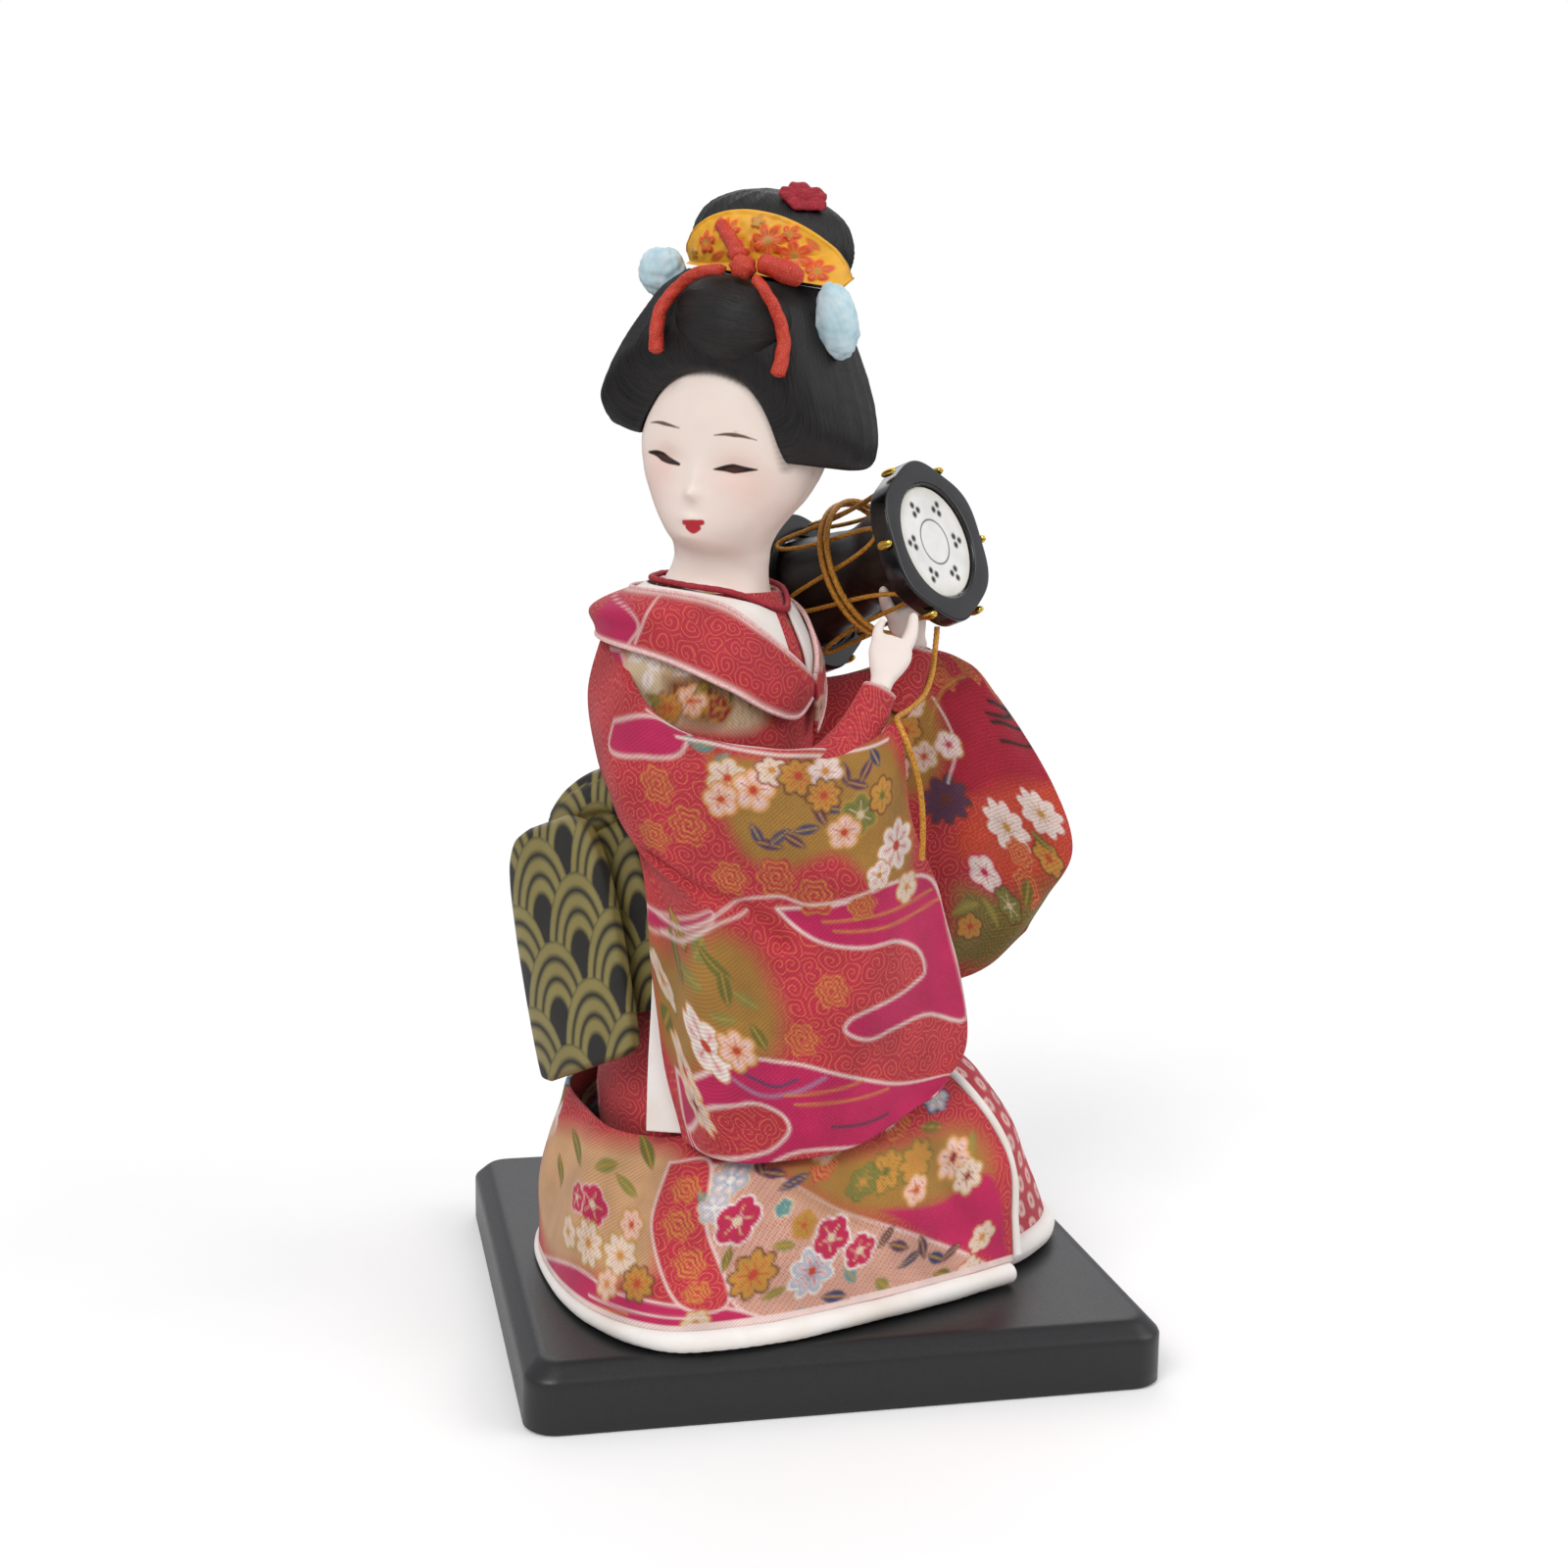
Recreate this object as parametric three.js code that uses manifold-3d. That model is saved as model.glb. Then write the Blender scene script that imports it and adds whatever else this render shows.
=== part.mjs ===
// Kneeling display doll with a shoulder drum on a black plinth.
// Millimetres, +Z up, origin at the centre of the plinth's underside.
import * as THREE from 'three';
import { mergeVertices } from 'three/addons/utils/BufferGeometryUtils.js';
import Module from 'manifold-3d';

const wasm = await Module();
wasm.setup();

// Driving sizes

// Every pair of pieces that meet keeps this gap
const gap = 0.3;
const clothThickness = 0.8;

const plinthWidth = 120;
const plinthDepth = 120;
const plinthSideHeight = 10;
const plinthBevelHeight = 2.8;
const plinthBevelInset = 3;
const plinthCornerRadius = 6;
const plinthWall = 2.6;
const plinthDeck = 2.6;
const screwSpacing = 36;
const screwShankRadius = 1.5;
const screwHeadRadius = 3.2;
const screwHeadHeight = 1.8;
const screwLength = 20;
const screwClearance = 0.2;
const bossRadius = 4.5;

// The doll is turned a little on its plinth
const dollTurn = -12.35;

// Torso: it faces a little towards the drum side of the plinth's front
const torsoTurn = -25;
const torsoX = -13.2;
const torsoY = -9.4;
const torsoLean = 0.0165;
const bodiceBottom = 26.2;
const bodiceTop = 133;
const legCoreTop = 25.4;

// Head: pivot at the foot of the neck, tilted and turned away from the body
const neckX = -15.2;
const neckY = -8.5;
const neckZ = 133.4;
const headTurn = -27.5;
const headTilt = 9;
const neckFootRadius = 10;
const pegRadius = 2;
const pegBelow = 24;
const pegAbove = 16;
const pegClearance = 0.1;
const hairDrop = 27;
const crownRadius = 16.5;
const crownThickness = 1.6;
const tieCordRadius = 1.5;

// Drum, carried on the far shoulder
const drumX = 14.3;
const drumY = 9;
const drumZ = 136.3;
const drumTurn = 53;
const drumTilt = 21;
const drumLength = 32;
const hoopRadius = 16.2;
const hoopWidth = 4.2;
const hoopBore = 12.2;
const hoopLobe = 0.45;
const skinThickness = 0.8;
const skinRecess = 0.9;
const bowlClearance = 1;
const bowlRadius = hoopBore - bowlClearance;
const drumWaistRadius = 5.2;
const bowlWall = 1.8;
const clipCount = 6;
const clipLength = 3.4;
const clipRadius = 0.75;
const lacingRadius = 0.45;
const waistRingRadius = 0.6;
const waistRingTurns = 2;
const hangingCordRadius = 0.55;

// Belt pad on the back
const padX = -40.2;
const padY = -26;
const padZ = 64;
const padTurn = -38;
const padLean = -12.5;
const padThickness = 8;
const foldThickness = 7.5;
const padCrown = 1.6;
const beltBottom = 60;
const beltTop = 87;
const beltThickness = 1.2;

// Limbs and edges
const armRadius = 2.2;
const sleeveOverArm = 9;
const sleeveBag = 4.2;
const sleeveRim = 1.3;
const hemRollRadius = 2.1;
const backHemRadius = 0.8;
const underHemRadius = 2.6;
const pipingRadius = 0.9;

const plinthTop = plinthSideHeight + plinthBevelHeight;
const degrees = Math.PI / 180;

// Colours and finishes

function finish(color, roughness, metalness = 0) {
  return new THREE.MeshStandardMaterial({ color, roughness, metalness });
}

const blackLacquer = finish('#1c1c1d', 0.45);
const steel = finish('#b8b8b4', 0.35, 1);
const straw = finish('#b59a6a', 0.95);
const dowelWood = finish('#c9a878', 0.8);
const porcelain = finish('#f3ddd0', 0.4);
const hairFloss = finish('#121214', 0.7);
const goldPaper = finish('#c98a22', 0.6);
const redCord = finish('#d8331c', 0.7);
const paleBlue = finish('#b9dde0', 0.85);
const roseRed = finish('#b0202f', 0.8);
const brocade = finish('#b52a3c', 0.75);
const whiteSilk = finish('#f2ece6', 0.7);
const blackBrocade = finish('#26261f', 0.6);
const goldCord = finish('#b9822c', 0.5, 0.4);
const brass = finish('#c8a545', 0.35, 1);
const drumSkin = finish('#f4f3ee', 0.6);

// Geometry helpers

const vec = (x, y, z) => new THREE.Vector3(x, y, z);

// A closed body from vertices and triangles, turned so that its faces point out
function body(vertices, faces) {
  let volume = 0;
  for (const [a, b, c] of faces) {
    volume += vertices[a].dot(vertices[b].clone().cross(vertices[c]));
  }
  const index = faces.flatMap(([a, b, c]) => (volume < 0 ? [a, c, b] : [a, b, c]));
  const geometry = new THREE.BufferGeometry();
  geometry.setAttribute('position', new THREE.Float32BufferAttribute(vertices.flatMap(p => p.toArray()), 3));
  geometry.setIndex(index);
  return geometry;
}

// A stack of closed rings with the same number of points, capped at both ends
function loft(rings) {
  const count = rings[0].length;
  const vertices = rings.flat();
  const faces = [];
  for (let k = 0; k + 1 < rings.length; k += 1) {
    for (let i = 0; i < count; i += 1) {
      const j = (i + 1) % count;
      faces.push([k * count + i, k * count + j, (k + 1) * count + j]);
      faces.push([k * count + i, (k + 1) * count + j, (k + 1) * count + i]);
    }
  }
  for (const [ring, first] of [[rings[0], 0], [rings.at(-1), (rings.length - 1) * count]]) {
    const middle = ring.reduce((sum, p) => sum.add(p), vec(0, 0, 0)).divideScalar(count);
    const hub = vertices.push(middle) - 1;
    for (let i = 0; i < count; i += 1) {
      const j = (i + 1) % count;
      faces.push(first === 0 ? [hub, j, i] : [hub, first + i, first + j]);
    }
  }
  return body(vertices, faces);
}

// The normal of a surface, square to its two directions
function normalAt(surface, u, v) {
  const step = 0.004;
  const alongU = surface(Math.min(1, u + step), v).sub(surface(Math.max(0, u - step), v));
  const alongV = surface(u, Math.min(1, v + step)).sub(surface(u, Math.max(0, v - step)));
  return alongU.cross(alongV).normalize();
}

// A sheet of cloth between an outer and an inner surface, with a rim along its
// edges. closed joins its two side edges into a sleeve.
function between(outer, inner, stepsU, stepsV, closed = false) {
  const vertices = [];
  const columns = closed ? stepsU : stepsU + 1;
  for (const skin of [outer, inner]) {
    for (let j = 0; j <= stepsV; j += 1) {
      for (let i = 0; i < columns; i += 1) {
        vertices.push(skin(i / stepsU, j / stepsV));
      }
    }
  }
  const at = (skin, i, j) => skin * columns * (stepsV + 1) + j * columns + (i % columns);
  const faces = [];
  const quad = (a, b, c, d) => faces.push([a, b, c], [a, c, d]);
  for (let j = 0; j < stepsV; j += 1) {
    for (let i = 0; i < stepsU; i += 1) {
      quad(at(0, i, j), at(0, i + 1, j), at(0, i + 1, j + 1), at(0, i, j + 1));
      quad(at(1, i, j), at(1, i, j + 1), at(1, i + 1, j + 1), at(1, i + 1, j));
    }
    if (!closed) {
      quad(at(0, 0, j), at(0, 0, j + 1), at(1, 0, j + 1), at(1, 0, j));
      quad(at(0, stepsU, j), at(1, stepsU, j), at(1, stepsU, j + 1), at(0, stepsU, j + 1));
    }
  }
  for (let i = 0; i < stepsU; i += 1) {
    quad(at(0, i, 0), at(1, i, 0), at(1, i + 1, 0), at(0, i + 1, 0));
    quad(at(0, i, stepsV), at(0, i + 1, stepsV), at(1, i + 1, stepsV), at(1, i, stepsV));
  }
  return body(vertices, faces);
}

// A draped sheet: its surface is the outer skin, and depth, which may vary over
// it, runs from there along the surface's normal
function sheet(surface, stepsU, stepsV, depth) {
  const thick = typeof depth === 'function' ? depth : () => depth;
  const inner = (u, v) => surface(u, v).addScaledVector(normalAt(surface, u, v), thick(u, v));
  return between(surface, inner, stepsU, stepsV);
}

// A smooth curve through points, evaluated evenly by point number
function curve(points, closed = false) {
  return new THREE.CatmullRomCurve3(points.map(p => vec(...p)), closed, 'catmullrom', 0.5);
}

// A smooth surface through rows of guide points
function guided(rows) {
  const across = rows.map(row => curve(row));
  return (u, v) => {
    const spine = across.map(line => line.getPoint(u).toArray());
    return curve(spine).getPoint(v);
  };
}

// A profile value that changes smoothly through stations [position, value, ...]
function stations(table) {
  return (position) => {
    let k = 0;
    while (k + 2 < table.length && position > table[k + 1][0]) k += 1;
    const from = table[k];
    const to = table[k + 1];
    const before = table[Math.max(0, k - 1)];
    const after = table[Math.min(table.length - 1, k + 2)];
    const span = to[0] - from[0];
    const t = THREE.MathUtils.clamp((position - from[0]) / span, 0, 1);
    return from.slice(1).map((value, i) => {
      const column = i + 1;
      const slopeIn = (to[column] - before[column]) / (to[0] - before[0] || span) * span;
      const slopeOut = (after[column] - value) / (after[0] - from[0] || span) * span;
      const t2 = t * t;
      const t3 = t2 * t;
      return value * (2 * t3 - 3 * t2 + 1) + slopeIn * (t3 - 2 * t2 + t)
        + to[column] * (3 * t2 - 2 * t3) + slopeOut * (t3 - t2);
    });
  };
}

// A round cord along a path whose radius may change from end to end
function roll(path, radius, steps, sides) {
  const rings = [];
  const size = typeof radius === 'function' ? radius : () => radius;
  const up = vec(0, 0, 1);
  for (let k = 0; k <= steps; k += 1) {
    const t = k / steps;
    const centre = path.getPoint(t);
    const along = path.getTangent(t);
    const side = along.clone().cross(up).normalize();
    const over = side.clone().cross(along);
    const ring = [];
    for (let i = 0; i < sides; i += 1) {
      const angle = 2 * Math.PI * i / sides;
      ring.push(centre.clone().addScaledVector(side, size(t) * Math.cos(angle))
        .addScaledVector(over, size(t) * Math.sin(angle)));
    }
    rings.push(ring);
  }
  return loft(rings);
}

// A round cord of even thickness
function cord(path, radius, steps, sides) {
  const section = new THREE.Shape();
  section.absarc(0, 0, radius, 0, 2 * Math.PI);
  return new THREE.ExtrudeGeometry(section, {
    steps, curveSegments: sides / 2, bevelEnabled: false, extrudePath: path,
  });
}

// A turned piece about its Z axis; profile points are [radius, height]
function turned(profile, segments) {
  const outline = profile.map(([r, z]) => new THREE.Vector2(r, z));
  return new THREE.LatheGeometry(outline, segments).rotateX(Math.PI / 2);
}

function solidOf(geometry) {
  const plain = geometry.clone();
  plain.deleteAttribute('normal');
  plain.deleteAttribute('uv');
  const merged = mergeVertices(plain, 1e-4);
  return new wasm.Manifold(new wasm.Mesh({
    numProp: 3,
    vertProperties: new Float32Array(merged.attributes.position.array),
    triVerts: new Uint32Array(merged.index.array),
  }));
}

function geometryOf(solid) {
  const mesh = solid.getMesh();
  const geometry = new THREE.BufferGeometry();
  geometry.setAttribute('position', new THREE.BufferAttribute(new Float32Array(mesh.vertProperties), 3));
  geometry.setIndex(new THREE.BufferAttribute(new Uint32Array(mesh.triVerts), 1));
  return geometry;
}

// A cut can leave slivers and needle-thin faces: those go, and the largest body
// is the piece
const sliverSize = 0.04;
function cut(geometry, ...tools) {
  const left = tools.reduce((rest, tool) => rest.subtract(solidOf(tool)), solidOf(geometry));
  const bodies = left.decompose().sort((a, b) => b.volume() - a.volume());
  return geometryOf(bodies[0].simplify(sliverSize));
}

function join(geometry, ...others) {
  return geometryOf(others.reduce((sum, other) => sum.add(solidOf(other)), solidOf(geometry)));
}

// Assembly

const doll = new THREE.Group();
const product = new THREE.Group();
product.add(doll);
doll.position.z = plinthTop;
doll.rotation.z = dollTurn * degrees;

function add(parent, name, geometry, material) {
  const mesh = new THREE.Mesh(geometry, material);
  mesh.name = name;
  parent.add(mesh);
  return mesh;
}

// Frames of the turned parts, each inside the doll's own frame
const torso = new THREE.Group();
torso.position.set(torsoX, torsoY, 0);
torso.rotation.z = torsoTurn * degrees;

const head = new THREE.Group();
head.position.set(neckX, neckY, neckZ);
head.rotation.set(0, headTilt * degrees, headTurn * degrees, 'ZYX');

const drum = new THREE.Group();
drum.position.set(drumX, drumY, drumZ);
drum.rotation.set(0, (90 - drumTilt) * degrees, (drumTurn - 90) * degrees, 'ZYX');

const pad = new THREE.Group();
pad.position.set(padX, padY, padZ);
pad.rotation.set(0, padLean * degrees, padTurn * degrees, 'ZYX');

for (const frame of [torso, head, drum, pad]) {
  doll.add(frame);
  frame.updateMatrix();
}

// A piece of one turned frame, expressed in the doll's frame or back in its own
const toDoll = (geometry, frame) => geometry.clone().applyMatrix4(frame.matrix);
const fromDoll = (geometry, frame) => geometry.clone().applyMatrix4(frame.matrix.clone().invert());

// Room that the drum takes up, with the gap round it, for what it rests on
const hoopCentre = drumLength / 2;
const hoopRounding = 0.5;
const clipOffset = 0.6;
const clipReach = hoopRadius - hoopLobe + clipRadius + gap;
const lacingEnd = hoopCentre - hoopWidth / 2 - gap - lacingRadius - 0.1;
const lacingAtHoop = hoopBore + 1.6;
const lacingAtWaist = hoopBore + 0.4;
const ringReach = lacingAtWaist + lacingRadius + waistRingRadius + 1.5 * gap;
const drumEnd = hoopCentre + hoopWidth / 2 + gap;
const hoopRoomRadius = hoopRadius + hoopLobe + gap;
const lacingRoomRadius = lacingAtHoop + lacingRadius + gap;
const ringRoomRadius = ringReach + waistRingRadius + gap;
const ringRoomLength = waistRingTurns * (2 * waistRingRadius + 0.5) / 2 + waistRingRadius + gap;
const drumProfile = [
  [0, -drumEnd], [hoopRoomRadius, -drumEnd], [hoopRoomRadius, hoopWidth + 2 * gap - drumEnd],
  [lacingRoomRadius, hoopWidth + 2 * gap - drumEnd], [ringRoomRadius, -ringRoomLength],
];
const drumRoomLocal = turned([...drumProfile, ...drumProfile.map(([r, z]) => [r, -z]).reverse()], 32);
const clipRooms = [];
for (const side of [-1, 1]) {
  for (let i = 0; i < clipCount; i += 1) {
    const angle = 2 * Math.PI * (i + 0.5) / clipCount;
    const room = new THREE.SphereGeometry(1, 8, 6).scale(clipRadius + gap, 1 + gap, clipLength / 2 + gap).rotateZ(angle);
    clipRooms.push(room.translate(clipReach * Math.cos(angle), clipReach * Math.sin(angle), side * (hoopCentre + clipOffset)));
  }
}
const drumRoom = toDoll(join(drumRoomLocal, ...clipRooms), drum);

// Plinth: a moulded shell with a bevelled top edge and two screw bosses

function roundedRing(width, depth, radius, z) {
  const ring = [];
  const perCorner = 4;
  for (let corner = 0; corner < 4; corner += 1) {
    const sx = corner === 0 || corner === 3 ? 1 : -1;
    const sy = corner < 2 ? 1 : -1;
    for (let k = 0; k <= perCorner; k += 1) {
      const angle = (corner + k / perCorner) * Math.PI / 2;
      ring.push(vec(sx * (width / 2 - radius) + radius * Math.cos(angle),
        sy * (depth / 2 - radius) + radius * Math.sin(angle), z));
    }
  }
  return ring;
}

const bevelWidth = plinthWidth - 2 * plinthBevelInset;
const bevelDepth = plinthDepth - 2 * plinthBevelInset;
const bevelCorner = plinthCornerRadius - plinthBevelInset / 2;
const innerWidth = plinthWidth - 2 * plinthBevelInset - 2 * plinthWall;
const innerDepth = plinthDepth - 2 * plinthBevelInset - 2 * plinthWall;
const deckUnderside = plinthTop - plinthDeck;
const bossFoot = 1.2;
const screwSpots = [-screwSpacing / 2, screwSpacing / 2];

const plinthBlock = loft([
  roundedRing(plinthWidth, plinthDepth, plinthCornerRadius, 0),
  roundedRing(plinthWidth, plinthDepth, plinthCornerRadius, plinthSideHeight),
  roundedRing(bevelWidth, bevelDepth, bevelCorner, plinthTop),
]);
const plinthHollow = loft([
  roundedRing(innerWidth, innerDepth, bevelCorner, -1),
  roundedRing(innerWidth, innerDepth, bevelCorner, deckUnderside),
]);

function rod(radius, from, to, segments = 16) {
  return turned([[0, from], [radius, from], [radius, to], [0, to]], segments);
}

const bosses = screwSpots.map(x => rod(bossRadius, bossFoot, deckUnderside + 0.5).translate(x, 0, 0));
const screwHoles = screwSpots.map(x => rod(screwShankRadius + screwClearance, -1, plinthTop + 1).translate(x, 0, 0));
add(product, 'plinth', cut(join(cut(plinthBlock, plinthHollow), ...bosses), ...screwHoles), blackLacquer);

const screwHeadTop = bossFoot - gap / 3;
screwSpots.forEach((x, i) => {
  const profile = [
    [0, screwHeadTop - screwHeadHeight / 2], [screwHeadRadius * 0.7, screwHeadTop - screwHeadHeight / 2],
    [screwHeadRadius, screwHeadTop], [screwShankRadius, screwHeadTop],
    [screwShankRadius, screwLength - 3], [0, screwLength],
  ];
  add(product, `base_screw_${i + 1}`, turned(profile, 12).translate(x, 0, 0), steel);
});

// Torso: one outline for the stuffed core, the cloth and all that is laid on it.
// Each station is height, radius to the front, to the back and to each side.

const torsoOutline = stations([
  [20, 22, 23.5, 22.5],
  [34, 22, 25.5, 23],
  [46, 20.5, 22.5, 22],
  [62, 17, 17.5, 19],
  [76, 15.5, 16, 17.5],
  [92, 16.5, 16.5, 19],
  [108, 18, 17, 21.5],
  [120, 17.5, 16, 20.5],
  [128, 14.4, 14, 16.6],
  [133, 11.8, 11.8, 12.4],
  [137, 11.4, 11.4, 11.8],
]);

// angle 0 is the front, -90 degrees the side that shows
function torsoPoint(angle, height, outset) {
  const [front, back, side] = torsoOutline(height);
  const reach = Math.cos(angle) >= 0 ? front : back;
  return vec((reach + outset) * Math.cos(angle) - torsoLean * height, (side + outset) * Math.sin(angle), height);
}

const torsoSides = 20;
const robeSteps = 10;

function torsoRing(height, outset, count) {
  return Array.from({ length: count }, (_, i) => torsoPoint(2 * Math.PI * i / count, height, outset));
}

// The robe bends most at the shoulders, so its rows lie closer there
const robeRows = stations([[0, 0], [0.55, 0.66], [0.8, 0.9], [1, 1]]);
const robeHeight = v => bodiceBottom + (bodiceTop - bodiceBottom) * robeRows(v)[0];

function torsoLoft(bottom, top, outset, sides = torsoSides) {
  const heights = [bottom];
  for (let k = 0; k <= robeSteps; k += 1) {
    const height = robeHeight(k / robeSteps);
    if (height > bottom + 1 && height < top - 1) heights.push(height);
  }
  return loft([...heights, top].map(height => torsoRing(height, outset, sides)));
}

// The head's peg turns in a bore in the stuffed core, below a seat for the neck
const pegBore = toDoll(rod(pegRadius + pegClearance, -pegBelow - 1, 6), head);
const neckSeat = toDoll(rod(neckFootRadius + 1, -gap, 12, 24), head);
const legPilots = screwSpots.map(x => {
  const angle = -dollTurn * degrees;
  return rod(screwShankRadius + screwClearance, -1, screwLength - plinthTop + 2)
    .translate(x * Math.cos(angle), x * Math.sin(angle), 0);
});

const coreInset = -clothThickness - gap;
const torsoCore = toDoll(torsoLoft(legCoreTop + gap, neckZ, coreInset, torsoSides / 2), torso);
add(doll, 'torso_core', cut(torsoCore, pegBore, neckSeat, drumRoom), straw);

// Kneeling legs: a stuffed block under the skirt. Each station is height, the
// centre and the half widths.
const legOutline = stations([
  [gap, -5, -8, 39, 38],
  [12, -5, -8, 38, 37],
  [20, -6, -8.5, 35, 33],
  [legCoreTop, -8, -9, 30, 27],
]);

function legRing(height, count = 20) {
  const [x, y, halfWidth, halfDepth] = legOutline(height);
  return Array.from({ length: count }, (_, i) => {
    const angle = 2 * Math.PI * i / count;
    return vec(x + halfWidth * Math.cos(angle), y + halfDepth * Math.sin(angle), height);
  });
}

const legHeights = [gap, 10, 18, legCoreTop];
add(doll, 'leg_core', cut(loft(legHeights.map(z => legRing(z))), ...legPilots), straw);

// Bodice: the robe over the torso, open at the neck and at the hips
const robeSkin = outset => (u, v) => torsoPoint(2 * Math.PI * u, robeHeight(v), outset);
const drumOnTorso = fromDoll(drumRoom, torso);
const bodiceTube = between(robeSkin(0), robeSkin(-clothThickness), torsoSides, robeSteps, true);
add(torso, 'bodice', cut(bodiceTube, drumOnTorso), brocade);

// A band of cloth laid on the torso between two edges. Each station is the
// angle round the torso, the height of its upper edge and of its lower edge.
function band(table, outset, thickness, steps) {
  const edges = stations(table);
  const from = table[0][0];
  const to = table.at(-1)[0];
  const skin = distance => (u, v) => {
    const angle = from + (to - from) * u;
    const [upper, lower] = edges(angle);
    return torsoPoint(angle * degrees, lower + (upper - lower) * v, distance);
  };
  return between(skin(outset + thickness), skin(outset), steps, 3);
}

const bandEase = 0.1;
const whiteCollarThickness = 0.7;
const collarThickness = 0.9;
const collarOutset = gap + bandEase + whiteCollarThickness + gap + bandEase;

const whiteNear = [
  [-179, 135.6, 130], [-135, 135.4, 129], [-90, 134.6, 127.5], [-55, 131.5, 121],
  [-32, 125.5, 113], [-14, 118, 106],
];
const whiteFar = [[3, 114, 108], [14, 118.5, 112], [32, 125.5, 118], [55, 131.5, 124], [90, 134.6, 129], [179, 135.6, 130]];
const collarNear = [
  [-178.5, 133.2, 125.5], [-135, 133, 124], [-90, 130.5, 119.5], [-55, 125.5, 111],
  [-32, 118.5, 101], [-14, 108.5, 92.5], [0, 100, 89],
];
const collarFar = [[4, 110, 100], [16, 114, 102], [32, 120, 108], [55, 126, 114], [90, 131, 121], [178.5, 133.2, 125.5]];

add(torso, 'white_collar_right', band(whiteNear, gap + bandEase, whiteCollarThickness, 12), whiteSilk);
add(torso, 'white_collar_left', cut(band(whiteFar, gap + bandEase, whiteCollarThickness, 12), drumOnTorso), whiteSilk);
add(torso, 'kimono_collar_right', band(collarNear, collarOutset, collarThickness, 14), brocade);
add(torso, 'kimono_collar_left', cut(band(collarFar, collarOutset, collarThickness, 12), drumOnTorso), brocade);

// The innermost collar shows as a thin red cord along the white collar's edge.
// Each station is the angle round the torso and the height.
const innerCollarRadius = 0.6;
const innerCollarLine = [
  [-170, 136.6], [-135, 136.4], [-90, 135.6], [-55, 132.5], [-32, 126.6], [-17, 120.4], [-3, 116.8],
  [14, 119.6], [32, 126.6], [55, 132.5], [90, 135.6], [135, 136.4], [170, 136.6],
].map(([angle, height]) => torsoPoint(angle * degrees, height + gap, innerCollarRadius + gap).toArray());
add(torso, 'inner_collar', cut(roll(curve(innerCollarLine), innerCollarRadius, 24, 5), drumOnTorso), roseRed);

// Belt: a stiff band at the waist, with the folded pad and its knot on the back
const beltSkin = outset => (u, v) => torsoPoint(2 * Math.PI * u, beltBottom + (beltTop - beltBottom) * v, outset);
const beltBand = between(beltSkin(gap + bandEase + beltThickness), beltSkin(gap + bandEase), torsoSides, 2, true);
add(torso, 'belt_band', beltBand, blackBrocade);

// Skirt: a stiff sheet that stands from the hem to the lap, open at the front.
// Each row runs from its near front edge round the back to the far front edge.

// The padded roll under the hem is full at the front and thin round the back
function rollRadius(t) {
  return THREE.MathUtils.lerp(hemRollRadius, backHemRadius, THREE.MathUtils.smoothstep(t, 0.25, 0.58));
}
const hemLine = [
  [44, -27], [29, -38.5], [12, -50], [-5, -59.5], [-22, -62.5], [-36, -51], [-46, -30],
  [-50.5, -6], [-45, 20], [-27, 38], [0, 45], [26, 40], [42, 23],
];
// The cloth's lower edge clears the roll also where it slopes inward
const hemLift = 2 * gap + 0.4 * clothThickness;
const hemRow = hemLine.map(([x, y], i) => [x, y, 2 * rollRadius(i / (hemLine.length - 1)) + hemLift]);
const skirtRows = [
  hemRow,
  [
    [43.2, -25, 12.5], [28.5, -35.5, 12], [12, -45, 12], [-5, -51.5, 12], [-21, -53.5, 12], [-35, -44, 13],
    [-45, -27, 14], [-49.5, -8, 14], [-44, 16, 14], [-27, 33, 14], [-1, 40, 14], [24, 36, 14], [40, 21, 14],
  ],
  [
    [41.5, -22.5, 26], [27.5, -32, 25], [11, -40.5, 24], [-6, -45, 23], [-21, -44.5, 22], [-34, -36, 22],
    [-43, -24, 23], [-47.5, -9, 24], [-42, 12, 25], [-26, 28, 25], [-1, 34, 25], [22, 30, 26], [37, 19, 26],
  ],
  [
    [30, -18, 40], [20, -27, 37], [8, -33, 33.5], [-6, -36.5, 31], [-20, -36.5, 29.5], [-33, -30, 29],
    [-41, -19, 30.5], [-45.5, -6, 32.5], [-39, 8, 34.5], [-24, 21, 35.5], [-2, 27, 37], [16, 25, 39], [29, 15, 40],
  ],
  [
    [13, -9, 47], [9, -19, 45], [1, -27.5, 41], [-9, -34, 35.5], [-21, -35.2, 31.5], [-33, -29, 30.5],
    [-40.5, -18.5, 32], [-45, -6, 34], [-38, 7, 36], [-22, 18.5, 38.5], [-4, 18, 43], [7, 13, 46], [13, 4, 47],
  ],
];
const skirtGuide = guided(skirtRows);

// Soft upright folds, deepest half way up
const foldDepth = 0.9;
const foldCount = 9;
const skirtSurface = (u, v) => {
  const ripple = Math.sin(2 * Math.PI * foldCount * u + 3 * v) * foldDepth * Math.sin(Math.PI * Math.min(1, v * 1.25)) ** 2;
  return skirtGuide(u, v).addScaledVector(normalAt(skirtGuide, u, v), -ripple);
};
const skirtShell = sheet(skirtSurface, 32, 8, clothThickness);
add(doll, 'skirt', skirtShell, brocade);

function hemRollPath(row, radius) {
  const line = curve(row);
  const path = new THREE.Curve();
  path.getPoint = t => {
    const point = line.getPoint(t);
    point.z = radius(t) + gap;
    return point;
  };
  return path;
}
add(doll, 'skirt_hem_roll', roll(hemRollPath(hemRow, rollRadius), rollRadius, 30, 7), whiteSilk);

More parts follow.
